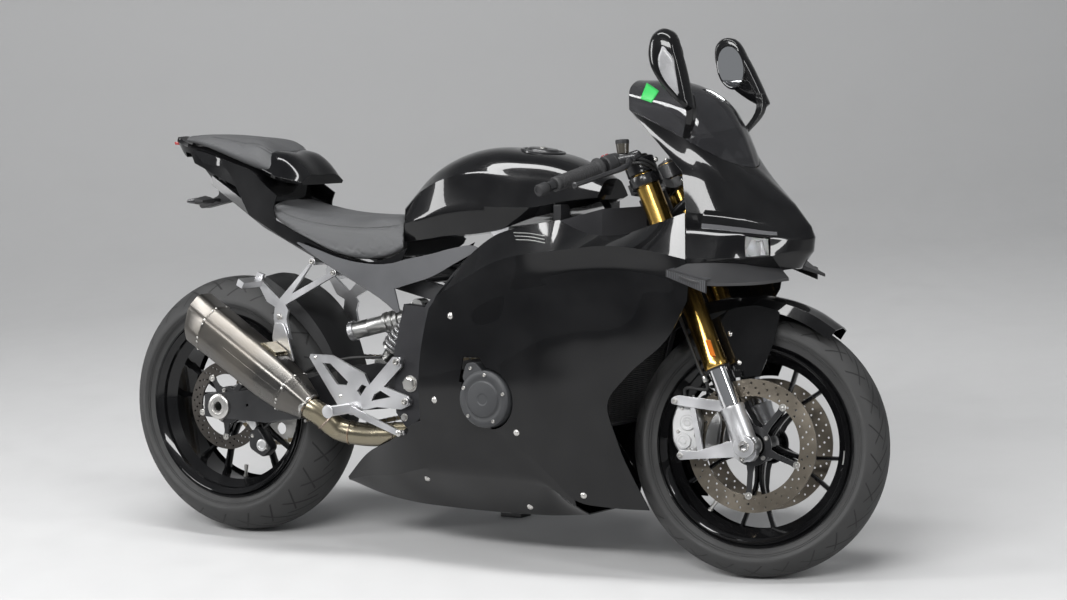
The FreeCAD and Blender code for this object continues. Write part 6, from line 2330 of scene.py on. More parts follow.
        spots = [Spot(from_axle(FRONT_AXLE, x, y * 94.5, z), out) for x, z in (
            (-160, 78), (-131, 78), (-168, 26), (-140, -14), (-125, 18))]
        fasten(*self.steered, "caliper_bolts_" + name, Fastener.SOCKET, 4.6, spots, STEEL)
        nipple = Shape("caliper_banjo_" + name)
        nipple.turned(from_axle(FRONT_AXLE, -155, y * 84, 88), Vector((-0.2, 0, 1)), [
            (0, 9), (8, 9), (9, 7), (15, 7), (16, 5.5)], 20)
        nipple.turned(from_axle(FRONT_AXLE, -136, y * 84, 92), Vector((-0.1, 0, 1)), [
            (0, 4), (10, 4), (11, 2.4), (17, 2.4)], 12)
        nipple.build(*self.steered, STEEL, bevel=0.3)

    def hose(self, side: Side) -> None:
        """One brake hose from its caliper up behind the leg to the lower clamp.

        Args:
            side: the bike's side.
        """
        y = side.value
        stations = [from_axle(FRONT_AXLE, -155, y * 84, 92), from_axle(FRONT_AXLE, -158, y * 85, 120)]
        stations += [self.bike.fork(s, y * w, -10) for s, w in ((470, 101), (520, 104), (640, 106), (734, 104))]
        path = spline(stations, 10)
        shape = Shape("brake_hose_" + side.label).hose(path, 4.0, 16)
        shape.paint = 1
        for at in (0, len(path) - 1):
            d = (path[min(at + 1, len(path) - 1)] - path[max(at - 1, 0)]).normalized()
            shape.turned(path[at] - d * 4, d, [(0, 5.6), (12, 5.6), (13, 4.4)], 16)
        grommet = path[len(path) // 2]
        shape.turned(grommet - self.bike.fork_up * 7, self.bike.fork_up, [(0, 5.5), (2, 6.4), (12, 6.4), (14, 5.5)], 16)
        shape.build(*self.steered, HOSE, STEEL, replaces=side.first("brake_hoses"))

    def clamps(self) -> None:
        """The bolts of both fork clamps and the stem's nut."""
        up = self.bike.fork_up
        ahead = Vector((math.cos(self.bike.rake), 0, math.sin(self.bike.rake)))
        spots = [Spot(self.bike.fork(s, side.value * 78, self.offset + 26.2), ahead)
                 for side in Side for s in (748, 766, 960)]
        fasten(*self.steered, "clamp_bolts", Fastener.SOCKET, 5.5, spots, STEEL)
        nut = Shape("stem_nut").turned(self.bike.fork(984), up, [
            (0, 20), (4, 20), (6, 17), (6, 10), (-2, 9), (-2, 0.5)], 32)
        nut.build(*self.steered, STEEL, bevel=0.6)

    def axle(self) -> None:
        """The hollow front axle with its spacers."""
        shape = Shape("front_axle_bar")
        for profile in ([(0, 8.2), (0, 11), (1.5, 12.4), (267, 12.4), (268, 8.2)], [(0, 8.2), (268, 8.2)]):
            shape.turned(from_axle(FRONT_AXLE, 0, -136, 0), ACROSS, profile, 48, caps=False)
        for y in (-1, 1):
            shape.turned(from_axle(FRONT_AXLE, 0, y * 58.3, 0), Vector((0, y, 0)), [
                (0, 12.4), (0, 22), (4, 22), (5, 20), (20.5, 20), (21.6, 19), (21.6, 12.4)], 48, caps=False)
        shape.build(*self.steered, STEEL, slot="steel", replaces=("front_axle",))

    def mudguard(self) -> None:
        """The front mudguard with both side fins, their lugs and screws."""
        rows: list[list[Point]] = []
        for a in (56, 68, 80, 92, 104, 116, 130):
            c, s = math.cos(math.radians(a)), math.sin(math.radians(a))
            grow = 330 + (a - 56) * 0.32
            w = 40 + 26 * math.sin(math.radians(min(90, (a - 50) * 2.2)))
            rows.append([(FRONT_AXLE.x + r * c, y, FRONT_AXLE.z + r * s) for r, y in (
                (grow - 34, -w - 5), (grow - 8, -w), (grow, 0), (grow - 8, w), (grow - 34, w + 5))])
        obj = Shape("front_mudguard_shell").grid(dense(rows, 6, 6, sharp_columns=(1, 3))).build(
            *self.steered, GLOSS_BLACK, slot="gloss_black", replaces=("front_mudguard",))
        finish_skin(obj, self.bike.front @ Vector(self.bike.front_axle), GUARD_WALL, 0.8)
        for side in Side:
            y = side.value
            for label, outline, y0, y1 in (("fin", self.guard_side, 70, 73.4),
                                           ("lug", ((-75, 170), (-27, 170), (-23, 140), (-67, 140)), 73, 84.2)):
                piece = plate(Shape("mudguard_" + label + "_" + side.label), list(outline), y * y0, y * y1,
                              14 if label == "fin" else 5, FRONT_AXLE).build(
                    *self.steered, GLOSS_BLACK, slot="gloss_black")
                room = Shape("disc_room").turned(from_axle(FRONT_AXLE, 0, -95, 0), ACROSS, [(0, 157), (190, 157)], 96)
                carve(piece, [room.build(*self.steered, MATT_BLACK)])
                _bevel(piece, 0.9, 50)
            spots = [Spot(from_axle(FRONT_AXLE, x, y * at, z), Vector((0, y, 0))) for x, z, at in (
                (-60, 250, 73), (-36, 186, 73))]
            fasten(*self.steered, "mudguard_screws_" + side.label, Fastener.BUTTON, 6.5, spots, STEEL)


@dataclass
class Cockpit(Assembly):
    """Bars, grips, levers, reservoirs, switches, cables and the display.

    Args:
        bike: the bike's frame.
        bar: the right bar's bend points from the clamp to the end.
    """

    bar: tuple[Point, ...] = ((1184, -128, 948), (1133, -225, 916), (1056, -360, 862))

    def build(self) -> None:
        """Builds both hands' controls and the display."""
        for side in Side:
            self.hand(side)
        self.display()
        self.lines()

    def hand(self, side: Side) -> None:
        """One bar with its clamp, grip, bar end, switch pod, lever, master cylinder and reservoir.

        Args:
            side: the bike's side.
        """
        y = -side.value
        name = side.label

        def at(p: Vector) -> Vector:
            """The point on this side of the bike."""
            return sided(p, y)

        a, b, c = (Vector(p) for p in self.bar)
        along, inner = (c - b).normalized(), (b - a).normalized()
        base = self.bike.fork(976, side.value * 107, 29.8)
        bar = Shape("handlebar_" + name)
        bar.turned(base, self.bike.fork_up, [(0, 27.2), (0, 34), (2, 36), (34, 36), (36, 34), (36, 27.2)], 48,
                   caps=False)
        bar.hose([at(p) for p in spline([a, b - inner * 14, b + along * 14, c], 8)], 11, 24)
        bar.build(*self.steered, BLACK_PAINT, slot="frame_black", replaces=side.first("handlebars"))
        fasten(*self.steered, "bar_bolt_" + name, Fastener.SOCKET, 6.0,
               [Spot(at(Vector((base.x + 33, -124, base.z + 34))), Vector((0.9, y * -0.2, 0.35)))], STEEL)
        grip = Shape("grip_" + name)
        profile = [(6, 12), (6, 22), (8, 23.5), (13, 23.5), (15, 18)]
        for k in range(17):
            s = 18 + k * 6.6
            profile += [(s, 17.2), (s + 4.4, 17.2), (s + 5.0, 16.2), (s + 6.2, 16.2)]
        profile += [(134, 17.4), (142, 17.4), (144, 16), (144, 12)]
        grip.turned(at(b + along * 2), at(along) * 1.0, profile, 40)
        grip.build(*self.steered, GRIP, slot="grip", replaces=side.first("grips"))
        end = Shape("bar_end_" + name).turned(at(c + along * 3), at(along), [
            (0, 9), (0, 13), (2, 14), (24, 14), (27, 12.5), (27, 8), (25, 7), (25, 0.5)], 32)
        end.build(*self.steered, MATT_BLACK, bevel=0.5)
        mid = b - inner * 26
        pod = Shape("switch_pod_" + name)
        pod.turned(at(mid - inner * 22), at(inner), [
            (0, 12), (0, 18), (3, 21.5), (19, 23), (20, 22), (21, 22), (22, 23), (40, 22), (43, 19), (43, 12)], 32)
        pod.paint = 1
        for k, (lift, back) in enumerate(((20.5, -3), (19.5, 8), (16, -14))):
            foot = mid + Vector((-11 - k, 0, lift - 4)) + inner * back
            pod.turned(at(foot), at(Vector((-0.45, 0, 0.9))), [(0, 4.4), (4.5, 4.2), (5.5, 3.2)], 16)
        pod.build(*self.steered, MATT_BLACK, RED_LENS, slot="matt_black",
                  replaces=side.first("hand_controls"), bevel=0.5)
        tip = mid - along * 30 + Vector((34, -2, 6))
        knee, far = tip + along * 60 + Vector((30, 0, 0)), c + Vector((62, 6, 6))
        path = spline([tip - along * 14, tip + along * 14, knee, knee.lerp(far, 0.5) + Vector((4, 0, 0)), far], 8)
        blades = []
        for i, p in enumerate(path):
            d = (path[min(i + 1, len(path) - 1)] - path[max(i - 1, 0)]).normalized()
            across = d.cross(Vector((0, 0, 1))).normalized()
            t = i / (len(path) - 1)
            wide, tall = 7.5 - 2.5 * t, 5.5 + 2.2 * math.sin(math.pi * min(1.0, t * 1.4))
            blades.append([at(p + across * (wide * math.cos(q)) + Vector((0, 0, tall * math.sin(q)))) for q in
                           (2 * math.pi * k / 14 for k in range(14))])
        lever = Shape("lever_" + name).loft(blades)
        ball = far
        lever.turned(at(ball - along * 5), at(along), [(0, 4), (1, 6.4), (4, 8.2), (7, 8.2), (10, 6.2), (11.6, 1)], 20)
        lever.build(*self.steered, BLACK_PAINT, slot="silver")
        master = Shape("master_cylinder_" + name)
        m0, m1 = tip + Vector((-14, 10, 2)), tip - along * 22 + Vector((-8, 0, 2))
        master.turned(at(m0), at(m1 - m0), [(0, 8), (1, 11), ((m1 - m0).length, 11), ((m1 - m0).length + 3, 8)], 24)
        master.hose([at(p) for p in (mid + Vector((8, 0, 4)), (mid + tip) / 2 + Vector((4, 0, 3)), tip)], 11.5, 20)
        master.build(*self.steered, BLACK_PAINT, bevel=0.5)
        foot = tip + Vector((-26, -4, 8))
        pot = Shape("fluid_reservoir_" + name)
        pot.turned(at(foot), Vector((-0.1, 0, 1)), [(0, 9), (1, 13), (22, 15), (23, 15)], 32)
        pot.paint = 1
        pot.turned(at(foot + Vector((-2.4, 0, 23))), Vector((-0.1, 0, 1)), [
            (0, 15.6), (8, 15.6), (9.5, 14), (9.5, 1)], 32)
        pot.build(*self.steered, RESERVOIR, MATT_BLACK, bevel=0.4)

    def display(self) -> None:
        """The display: a bezel round a dark glass, facing the rider."""
        a, b = Vector((1282, 0, 922)), Vector((1328, 0, 996))
        up = (b - a).normalized()
        face = Vector((-up.z, 0, up.x))
        half = (b - a).length / 2
        middle = (a + b) / 2

        def rim_at(wide: float, tall: float, out: float, radius: float) -> list[Vector]:
            """A rounded rectangle square to the rider's view."""
            flat = rounded([(-wide, -tall), (wide, -tall), (wide, tall), (-wide, tall)], radius, 5)
            return [middle + Vector((0, x, 0)) + up * z + face * out for x, z in flat]

        shape = Shape("display_housing")
        shape.loft([rim_at(58, half - 14, -19, 10), rim_at(69, half - 1, -12, 10), rim_at(70, half, -4, 10),
                    rim_at(69, half - 1, 0.5, 9), rim_at(63, half - 7, 1.0, 7), rim_at(62, half - 8, -1.5, 7)])
        shape.paint = 1
        shape.loft([rim_at(62.2, half - 7.8, -2.5, 7), rim_at(62.2, half - 7.8, -1.2, 7)])
        shape.build(*self.fixed, MATT_BLACK, DARK_LENS, slot="matt_black", replaces=("display",), bevel=0.5)

    def lines(self) -> None:
        """The wiring and clutch lines that run from the bars to the steering head."""
        for side in Side:
            y = side.value
            shape = Shape("bar_lines_" + side.label)
            for drift in (0.0, 9.0):
                path = spline([Vector((1148 + drift, y * 205, 918)), Vector((1196 + drift, y * 176, 938 - drift)),
                               Vector((1222, y * 128, 925 - drift)), Vector((1216 - drift, y * 84, 896)),
                               Vector((1194 - drift, y * 66, 862))], 8)
                shape.hose(path, 3.2, 12)
            shape.build(*self.steered, HOSE)


RESERVOIR = Finish("fluid_reservoir", (0.035, 0.03, 0.022), 0.3, coat=0.3, shift=0.1)


@dataclass
class Exhaust(Assembly):
    """Silencer, its end cap and strap, and the link pipe with its welds and joints.

    Args:
        bike: the bike's frame.
        front: the silencer's front end.
        rear: its rear end.
        link: the link pipe's path.
    """

    front: Point = (286, -196, 375)
    rear: Point = (-12, -196, 558)
    link: tuple[Point, ...] = ((630, -80, 290), (553, -122, 285), (450, -142, 280), (394, -158, 291), (362, -182, 324),
                               (336, -196, 344))

    def __post_init__(self) -> None:
        """Works out the silencer's ends a and b, the direction d between them and its upward direction."""
        self.a, self.b = Vector(self.front), Vector(self.rear)
        self.d = (self.b - self.a).normalized()
        self.up = Vector((self.d.z, 0, -self.d.x))

    def build(self) -> None:
        """Builds the silencer and the pipe."""
        self.silencer()
        self.pipe()

    def around(self, s: float, wide: float, tall: float) -> list[Vector]:
        """The silencer's rounded outline at a distance s from its front end.

        Args:
            s: the distance along its axis.
            wide: the outline's width.
            tall: its height.

        Returns:
            The outline.
        """
        flat = ((-0.5, 0.24), (-0.2, 0.5), (0.3, 0.5), (0.5, 0.1), (0.34, -0.5), (-0.3, -0.5), (-0.5, -0.2))
        corners = rounded([(x * wide, z * tall) for x, z in flat], 0.1 * wide, 5)
        p = self.a + self.d * s
        length = (self.b - self.a).length
        cut = 34.0 * max(0.0, (s - length + 100.0) / 100.0)
        return [p + Vector((0, x, 0)) + self.up * z - self.d * (cut * (0.5 - z / tall)) for x, z in corners]

    def silencer(self) -> None:
        """The tapered silencer: inlet cone, sleeve with rolled seams, end cap with a dark mouth, strap and rivets."""
        length = (self.b - self.a).length
        sleeve = Shape("silencer_sleeve")
        marks = [(-62, 60, 60), (-56, 62, 64), (-8, 88, 92), (0, 92, 98), (4, 94, 100), (5, 96, 102), (9, 96, 102),
                 (10, 94.5, 100.5), (70, 104, 111), (length - 60, 107, 115)]
        sleeve.grid([self.around(*m) for m in marks], close=True)
        sleeve._face(*range(0, len(self.around(*marks[0]))))
        sleeve.build(*self.fixed, TITANIUM, slot="titanium", replaces=("silencer",), bevel=0.5, smooth=30)
        cap = Shape("silencer_end_cap")
        rows = [(length - 66, 107.4, 115.4), (length - 65, 108.2, 116.2), (length - 58, 108.2, 116.2),
                (length - 57, 107.4, 115.4), (length - 8, 107.8, 115.8), (length - 1, 107, 115), (length, 104, 112),
                (length, 92, 98), (length - 3, 86, 92)]
        cap.grid([self.around(*m) for m in rows], close=True)
        cap.paint = 1
        cap.grid([self.around(*m) for m in ((length - 3, 86, 92), (length - 25, 72, 76))], close=True)
        first = len(cap.points)
        cap._put(self.around(length - 25, 72, 76))
        cap._face(*range(first, len(cap.points)))
        cap.paint = 2
        cap.turned(self.b - self.d * 28 + self.up * 2, self.d, [(0, 21), (15, 22), (17, 23), (17, 20.5), (4, 20)], 40)
        cap.build(*self.fixed, TITANIUM, SOOT, HEATED, slot="titanium", smooth=30)
        rivets = []
        for at in (length - 61.5, 7.0):
            loop = self.around(at, 108.2 if at > 50 else 96, 116.2 if at > 50 else 102)
            centre = sum(loop, Vector()) / len(loop)
            for k in range(0, len(loop), 3):
                rivets.append(Spot(loop[k], loop[k] - centre, self.d))
        fasten(*self.fixed, "silencer_rivets", Fastener.BUTTON, 3.2, rivets, STEEL)
        strap = Shape("silencer_bracket")
        foot = self.a + self.d * 78 + self.up * 54
        for s0, s1, lift in ((0, 56, 4), (6, 50, 9)):
            strap.slab([foot + self.d * s + Vector((0, y, 0)) for s, y in ((s0, -16), (s1, -16), (s1, 34), (s0, 34))],
                       self.up * lift)
        strap.build(*self.fixed, WARM_PIPE, bevel=1.2)
        ear = [(222, 452), (196, 500), (204, 540), (228, 540), (246, 500), (262, 446)]
        plate(Shape("silencer_ear"), ear, -152.5, -158, 8).build(*self.fixed, SILVER, bevel=0.9)
        weld = Shape("silencer_seam")
        line = [self.a + self.d * s + Vector((0, -w * 0.5 + 0.6, 0)) + self.up * (0.02 * w)
                for s, w in ((16, 96), (70, 104), (200, 106))]
        weld.hose(spline(line, 10), 1.2, 8).build(*self.fixed, TITANIUM)

    def pipe(self) -> None:
        """The link pipe, smooth through its bends, with weld beads and slip joints."""
        stations = [Vector(p) for p in self.link] + [self.a - self.d * 50]
        path = spline(stations, 14)
        shape = Shape("link_pipe_tube").hose(path, 28, 40)
        shape.build(*self.fixed, WARM_PIPE, slot="titanium", replaces=("link_pipe",))
        beads = Shape("pipe_welds")
        for i in (16, 34, 52, len(path) - 10):
            d = (path[i + 1] - path[i - 1]).normalized()
            beads.turned(path[i] - d * 2.4, d, [(0, 28), (0.9, 29.3), (2.4, 29.8), (3.9, 29.3), (4.8, 28)], 40,
                         caps=False)
        for at, d in ((self.a - self.d * 62, self.d), (path[4], path[5] - path[3])):
            beads.turned(at, d, [(0, 28), (0, 31), (16, 31.6), (17, 30), (17, 28)], 40, caps=False)
        beads.build(*self.fixed, HEATED, slot="titanium")
        clamp = Shape("pipe_clamp")
        clamp.turned(self.a - self.d * 58, self.d, [(0, 31.8), (0.6, 33), (10, 33), (10.6, 31.8)], 40, caps=False)
        clamp.rod(self.a - self.d * 53 + Vector((0, 12, -36)), self.a - self.d * 53 + Vector((0, -12, -36)), 4, 16)
        clamp.build(*self.fixed, STEEL)


SOOT = Finish("soot_black", (0.006, 0.006, 0.006), 0.9, texture=Texture.CAST, size=700.0, depth=0.1)


@dataclass
class RearEnd(Assembly):
    """Hugger, axle hardware, rear caliper, shock, tail lamp, plate holder and rests.

    Args:
        bike: the bike's frame.
    """

    def build(self) -> None:
        """Builds every piece of the rear end."""
        self.hugger()
        self.axle()
        self.caliper()
        self.shock()
        self.tail()
        self.rests()

    def hugger(self) -> None:
        """The rear mudguard over the tyre, with its tongue and tab on the swingarm."""
        rows: list[list[Point]] = []
        for a, w in ((18, 60), (30, 68), (42, 75), (54, 78), (64, 74), (72, 60)):
            c, s = math.cos(math.radians(a)), math.sin(math.radians(a))
            r, up = 342, REAR_AXLE.z
            rows.append([(r * c - 4, -w - 4, up + (r - 6) * s - 34), (r * c, -w, up + r * s),
                         ((r + 6) * c, 0, up + (r + 6) * s), (r * c, w, up + r * s),
                         (r * c - 4, w + 4, up + (r - 6) * s - 34)])
        obj = Shape("hugger_shell").grid(dense(rows, 6, 6, sharp_columns=(1, 3))).build(
            *self.fixed, MATT_BLACK, slot="matt_black", replaces=("hugger",))
        finish_skin(obj, self.bike.chassis @ Vector(self.bike.rear_axle), GUARD_WALL, 0.8)
        feet = Shape("hugger_mounts")
        tongue = [(326, 424), (409, 420.7), (426, 426.1), (425, 430), (408, 426), (326, 430)]
        feet.slab([Vector((x, -26, z)) for x, z in tongue], Vector((0, 52, 0)))
        feet.slab([Vector((x, y, 415.6)) for x, y in ((298, -118), (320, -118), (320, -66), (298, -66))],
                  Vector((0, 0, 4)))
        feet.build(*self.fixed, MATT_BLACK, bevel=0.6)
        fasten(*self.fixed, "hugger_screws", Fastener.BUTTON, 6.0,
               [Spot(Vector((410, y, 426.5)), Vector((0, 0, 1))) for y in (-14, 14)]
               + [Spot(Vector((309, -108, 419.6)), Vector((0, 0, 1)))], STEEL)

    def axle(self) -> None:
        """The rear axle: big ring nut, hollow end, spacers and both chain adjusters."""
        shape = Shape("rear_axle_bar")
        for profile in ([(0, 12.2), (0, 14.6), (262, 14.6), (262, 12.2)], [(0, 12.2), (262, 12.2)]):
            shape.turned(from_axle(REAR_AXLE, 0, -119, 0), ACROSS, profile, 48, caps=False)
        shape.turned(from_axle(REAR_AXLE, 0, -117, 0), Vector((0, -1, 0)), [
            (0, 12.4), (0, 31), (2, 32), (5, 32), (6.5, 30.5), (8, 27), (8, 19), (6.4, 18), (6.4, 12.4)], 64,
            caps=False)
        shape.turned(from_axle(REAR_AXLE, 0, 143, 0), ACROSS, [
            (0, 12.4), (0, 23), (1.5, 24), (7.5, 24), (9, 22.5), (9, 12.4)], 6, caps=False)
        for y0, y1 in ((-92, -86.5), (112, 121)):
            shape.turned(from_axle(REAR_AXLE, 0, y0, 0), ACROSS, [(0, 15), (0, 26), (y1 - y0, 26), (y1 - y0, 15)], 48,
                         caps=False)
        shape.build(*self.fixed, STEEL, slot="steel", replaces=("rear_axle",), bevel=0.5)
        for side, y in ((Side.RIGHT, -115), (Side.LEFT, 143.4)):
            s = side.value
            block = Shape("adjuster_" + side.label)
            z = REAR_AXLE.z
            block.rod(Vector((-44, y - s * 12, z)), Vector((-60, y - s * 12, z)), 4, 16, 0.8)
            block.turned(Vector((-49, y - s * 12, z)), Vector((-1, 0, 0)), [(0, 8), (6, 8), (6.8, 7), (6.8, 0.5)], 6)
            for k in range(5):
                x = 30 - k * 11
                block.slab([Vector((x + 40, y, z + 26)), Vector((x + 41.4, y, z + 26)), Vector((x + 41.4, y, z + 34)),
                            Vector((x + 40, y, z + 34))], Vector((0, s * 0.6, 0)))
            block.build(*self.fixed, STEEL)

    def caliper(self) -> None:
        """The rear caliper with its bracket, pins and hose."""
        body = [(78, -58), (104, -44), (146, -98), (120, -124), (76, -102)]
        shape = Shape("rear_caliper_body")
        loop = by_axle(REAR_AXLE, rounded(body, 12, 4), 0.0)
        mid = REAR_AXLE + Vector((106, 0, -86))
        shape.loft([[Vector((mid.x + (p.x - mid.x) * k, y, mid.z + (p.z - mid.z) * k)) for p in loop]
                    for y, k in ((-99.5, 0.86), (-97, 0.95), (-94, 1.0), (-70, 1.0), (-67, 0.95), (-65.5, 0.86))])
        obj = shape.build(*self.fixed, BLACK_PAINT, slot="frame_black", replaces=("rear_caliper",), smooth=40)
        slot = Shape("slot").turned(from_axle(REAR_AXLE, 0, -88.5, 0), ACROSS, [(0, 113), (9, 113)], 72)
        carve(obj, [slot.build(*self.fixed, MATT_BLACK)])
        _bevel(obj, 0.9, 40)
        bracket = Shape("rear_caliper_bracket")
        plate(bracket, [(60, -20), (92, -58), (104, -44), (96, -20)], -102, -92.2, 5, REAR_AXLE)
        bracket.turned(from_axle(REAR_AXLE, 118, -99, -92), Vector((0, -1, 0)), [
            (0, 15), (2.4, 15), (3, 14), (3, 9), (2, 8), (2, 0.5)], 32)
        hose = spline([Vector(p) for p in ((112, -84, 268), (150, -80, 300), (220, -88, 396), (380, -96, 456),
                                           (470, -84, 462))], 10)
        bracket.build(*self.fixed, CALIPER_ALLOY, bevel=0.6)
        Shape("rear_brake_hose").hose(hose, 3.6, 14).build(*self.fixed, HOSE)
        out = Vector((0, -1, 0))
        fasten(*self.fixed, "rear_caliper_bolts", Fastener.SOCKET, 5.0,
               [Spot(from_axle(REAR_AXLE, x, -98.6, z), out) for x, z in ((90, -70), (132, -98))], STEEL)

    def shock(self) -> None:
        """The rear shock: damper, coil spring, collars, eyes and piggyback reservoir."""
        top, low = Vector((548, -30, 586)), Vector((446, -30, 446))
        d = (low - top).normalized()
        body = Shape("shock_damper")
        body.turned(top, d, [
            (0, 12), (4, 17), (20, 18), (24, 30), (30, 32), (34, 32), (36, 24), (86, 24), (88, 20)], 40)
        body.paint = 1
        body.turned(top + d * 86, d, [(0, 9), (56, 9)], 24)
        body.paint = 0
        body.turned(top + d * 128, d, [(0, 20), (0, 31), (6, 31), (8, 26), (16, 18), (44, 16)], 40)
        for at, y0, y1, r in ((low, -58, -2, 16), (top, -46, -14, 18)):
            body.rod(Vector((at.x, y0, at.z)), Vector((at.x, y1, at.z)), r, 32, 1.2)
        body.rod(top, Vector((632, -30, 568)), 12, 24)
        rings = [(s + ds, r) for s in (34, 50, 66) for ds, r in ((0, 21), (2, 26), (10, 26), (12, 21))]
        body.turned(Vector((530, -34, 560)), Vector((-158, -22, -40)),
                    [(0, 14), (8, 20), (18, 21), *rings, (120, 21), (122, 20), (124, 21), (164, 21)], 40)
        body.build(*self.fixed, SHOCK_ALLOY, CHROME, slot="frame_black", replaces=("shock",), bevel=0.5)
        cap = Shape("shock_reservoir_cap")
        axis = Vector((-158, -22, -40)).normalized()
        cap.turned(Vector((376, -55, 521)), axis, [
            (0, 22), (1, 24), (14, 24), (16, 22), (16, 10), (14, 9), (14, 0.5)], 40)
        cap.build(*self.fixed, SILVER, bevel=0.4)
        place = Matrix.Translation((top + d * 36) * MM) @ d.to_track_quat("Z", "Y").to_matrix().to_4x4()
        spring = run_tree(*self.fixed, "shock_spring", NODES.coil(), [], {
            "Turns": 6.5, "Radius": 0.0276, "Height": 0.092, "Wire": 0.0052}, SPRING, place)
        log.info("coil of %d faces", len(spring.data.polygons))

    def tail(self) -> None:
        """Tail lamp, plate holder arm and both rear indicators."""
        lamp = Shape("tail_lamp_lens")
        rings = []
        for x, k in ((-191, 1.0), (-199, 0.99), (-204, 0.95), (-205.6, 0.8)):
            rings.append([Vector((x, y * k, 970 + (z - 970) * k)) for y, z in
                          rounded([(-26, 966), (26, 966), (30, 974), (-30, 974)], 2.4, 3)])
        lamp.loft(rings).build(*self.fixed, RED_LENS, slot="tail_red", replaces=("tail_light",), bevel=0.4)
        holder = Shape("plate_holder_arm")
        outline = [(-150, 943), (-110, 948), (-44, 872), (-30, 828), (-128, 806), (-136, 815), (-68, 842), (-78, 868)]
        loop = rounded(outline, 12, 4)
        holder.loft([[Vector((x, y, z)) for x, z in loop] for y in (-19, 19)])
        holder.build(*self.fixed, MATT_BLACK, slot="matt_black", replaces=("plate_holder",), bevel=3.0)
        for side in Side:
            y, name = side.value, side.label
            stalk = Shape("indicator_stalk_" + name)
            stalk.hose(spline([Vector((x, y * w, 829)) for x, w in ((-70, 16), (-70, 40), (-68, 68))], 5), 5, 18)
            stalk.build(*self.fixed, MATT_BLACK)
            shell = Shape("rear_indicator_" + name)
            for paint, cut in enumerate((((-98, 8), (-90, 10.5), (-74, 13)), ((-74, 13), (-60, 10), (-48, 6)))):
                shell.paint = paint
                rows = []
                for x, h in cut:
                    flat = rounded([(66, -h), (114, -h * 0.5), (114, h * 0.5), (66, h)], 4.5, 4)
                    rows.append([Vector((x, y * u, 829 + v)) for u, v in flat])
                shell.loft(spline_rows(rows, 4))
            shell.build(*self.fixed, DARK_LENS, MATT_BLACK, slot="matt_black", bevel=0.6)

    def rests(self) -> None:
        """Rubbers, pins and screws of the footrests, bolts of the pillion rests and silencer, the pedal's tip and the
        shift lever.
        """
        for side in Side:
            y, name = side.value, side.label
            out = Vector((0, y, 0))
            peg = Shape("rider_peg_" + name)
            profile = [(0, 10), (1, 13), (6, 13)]
            for k in range(11):
                profile += [(8 + k * 6, 12.6), (11 + k * 6, 12.6), (12 + k * 6, 11), (13.4 + k * 6, 11)]
            peg.turned(Vector((440, y * 178, 345)), out, profile + [(78, 12.6), (83, 12.6), (85, 10)], 24)
            peg.turned(Vector((440, y * 263, 345)), out, [(0, 12), (1, 15), (3, 16), (5, 14), (6, 6)], 24)
            peg.build(*self.fixed, SILVER, slot="silver")
            spots = [Spot(Vector((x, y * 182, z)), out) for x, z in ((580, 463), (604, 370))]
            fasten(*self.fixed, "hanger_bolts_" + name, Fastener.SOCKET, 8.0, spots, STEEL)
            fasten(*self.fixed, "heel_guard_screws_" + name, Fastener.BUTTON, 5.0,
                   [Spot(Vector((x, y * 176, z)), out) for x, z in ((340, 462), (414, 372))], STEEL)
            fasten(*self.fixed, "rest_bolts_" + name, Fastener.SOCKET, 7.0,
                   [Spot(Vector((x, y * 153.4, z)), out) for x, z in ((316, 692), (378, 667))], STEEL)
            fasten(*self.fixed, "silencer_bolt_" + name, Fastener.HEX, 8.0,
                   [Spot(Vector((214, y * 150, 554)), out)], STEEL)
        guard = Shape("pedal_tip")
        guard.turned(Vector((598, -181, 296)), Vector((0, -1, 0)), [(0, 6), (1, 7.6), (20, 7.6), (21, 6)], 24)
        guard.build(*self.fixed, STEEL)
        lever = Shape("shift_lever")
        plate(lever, [(452, 336), (470, 328), (584, 290), (606, 292), (604, 300), (586, 304), (476, 344), (456, 352)],
              198.4, 203.6, 5)
        lever.turned(Vector((596, 201, 296)), ACROSS, [(0, 6), (1, 8), (26, 8), (27, 6)], 24)
        lever.rod(Vector((470, 184, 336)), Vector((470, 204, 336)), 9, 24, 0.8)
        lever.build(*self.fixed, SILVER, bevel=0.7)


SPRING = Finish("spring_steel", (0.24, 0.24, 0.245), 0.3, 0.5, coat=0.7, shift=0.1)
SHOCK_ALLOY = Finish("shock_alloy", (0.42, 0.42, 0.41), 0.34, 1.0, texture=Texture.CAST, size=1500.0, depth=0.02)


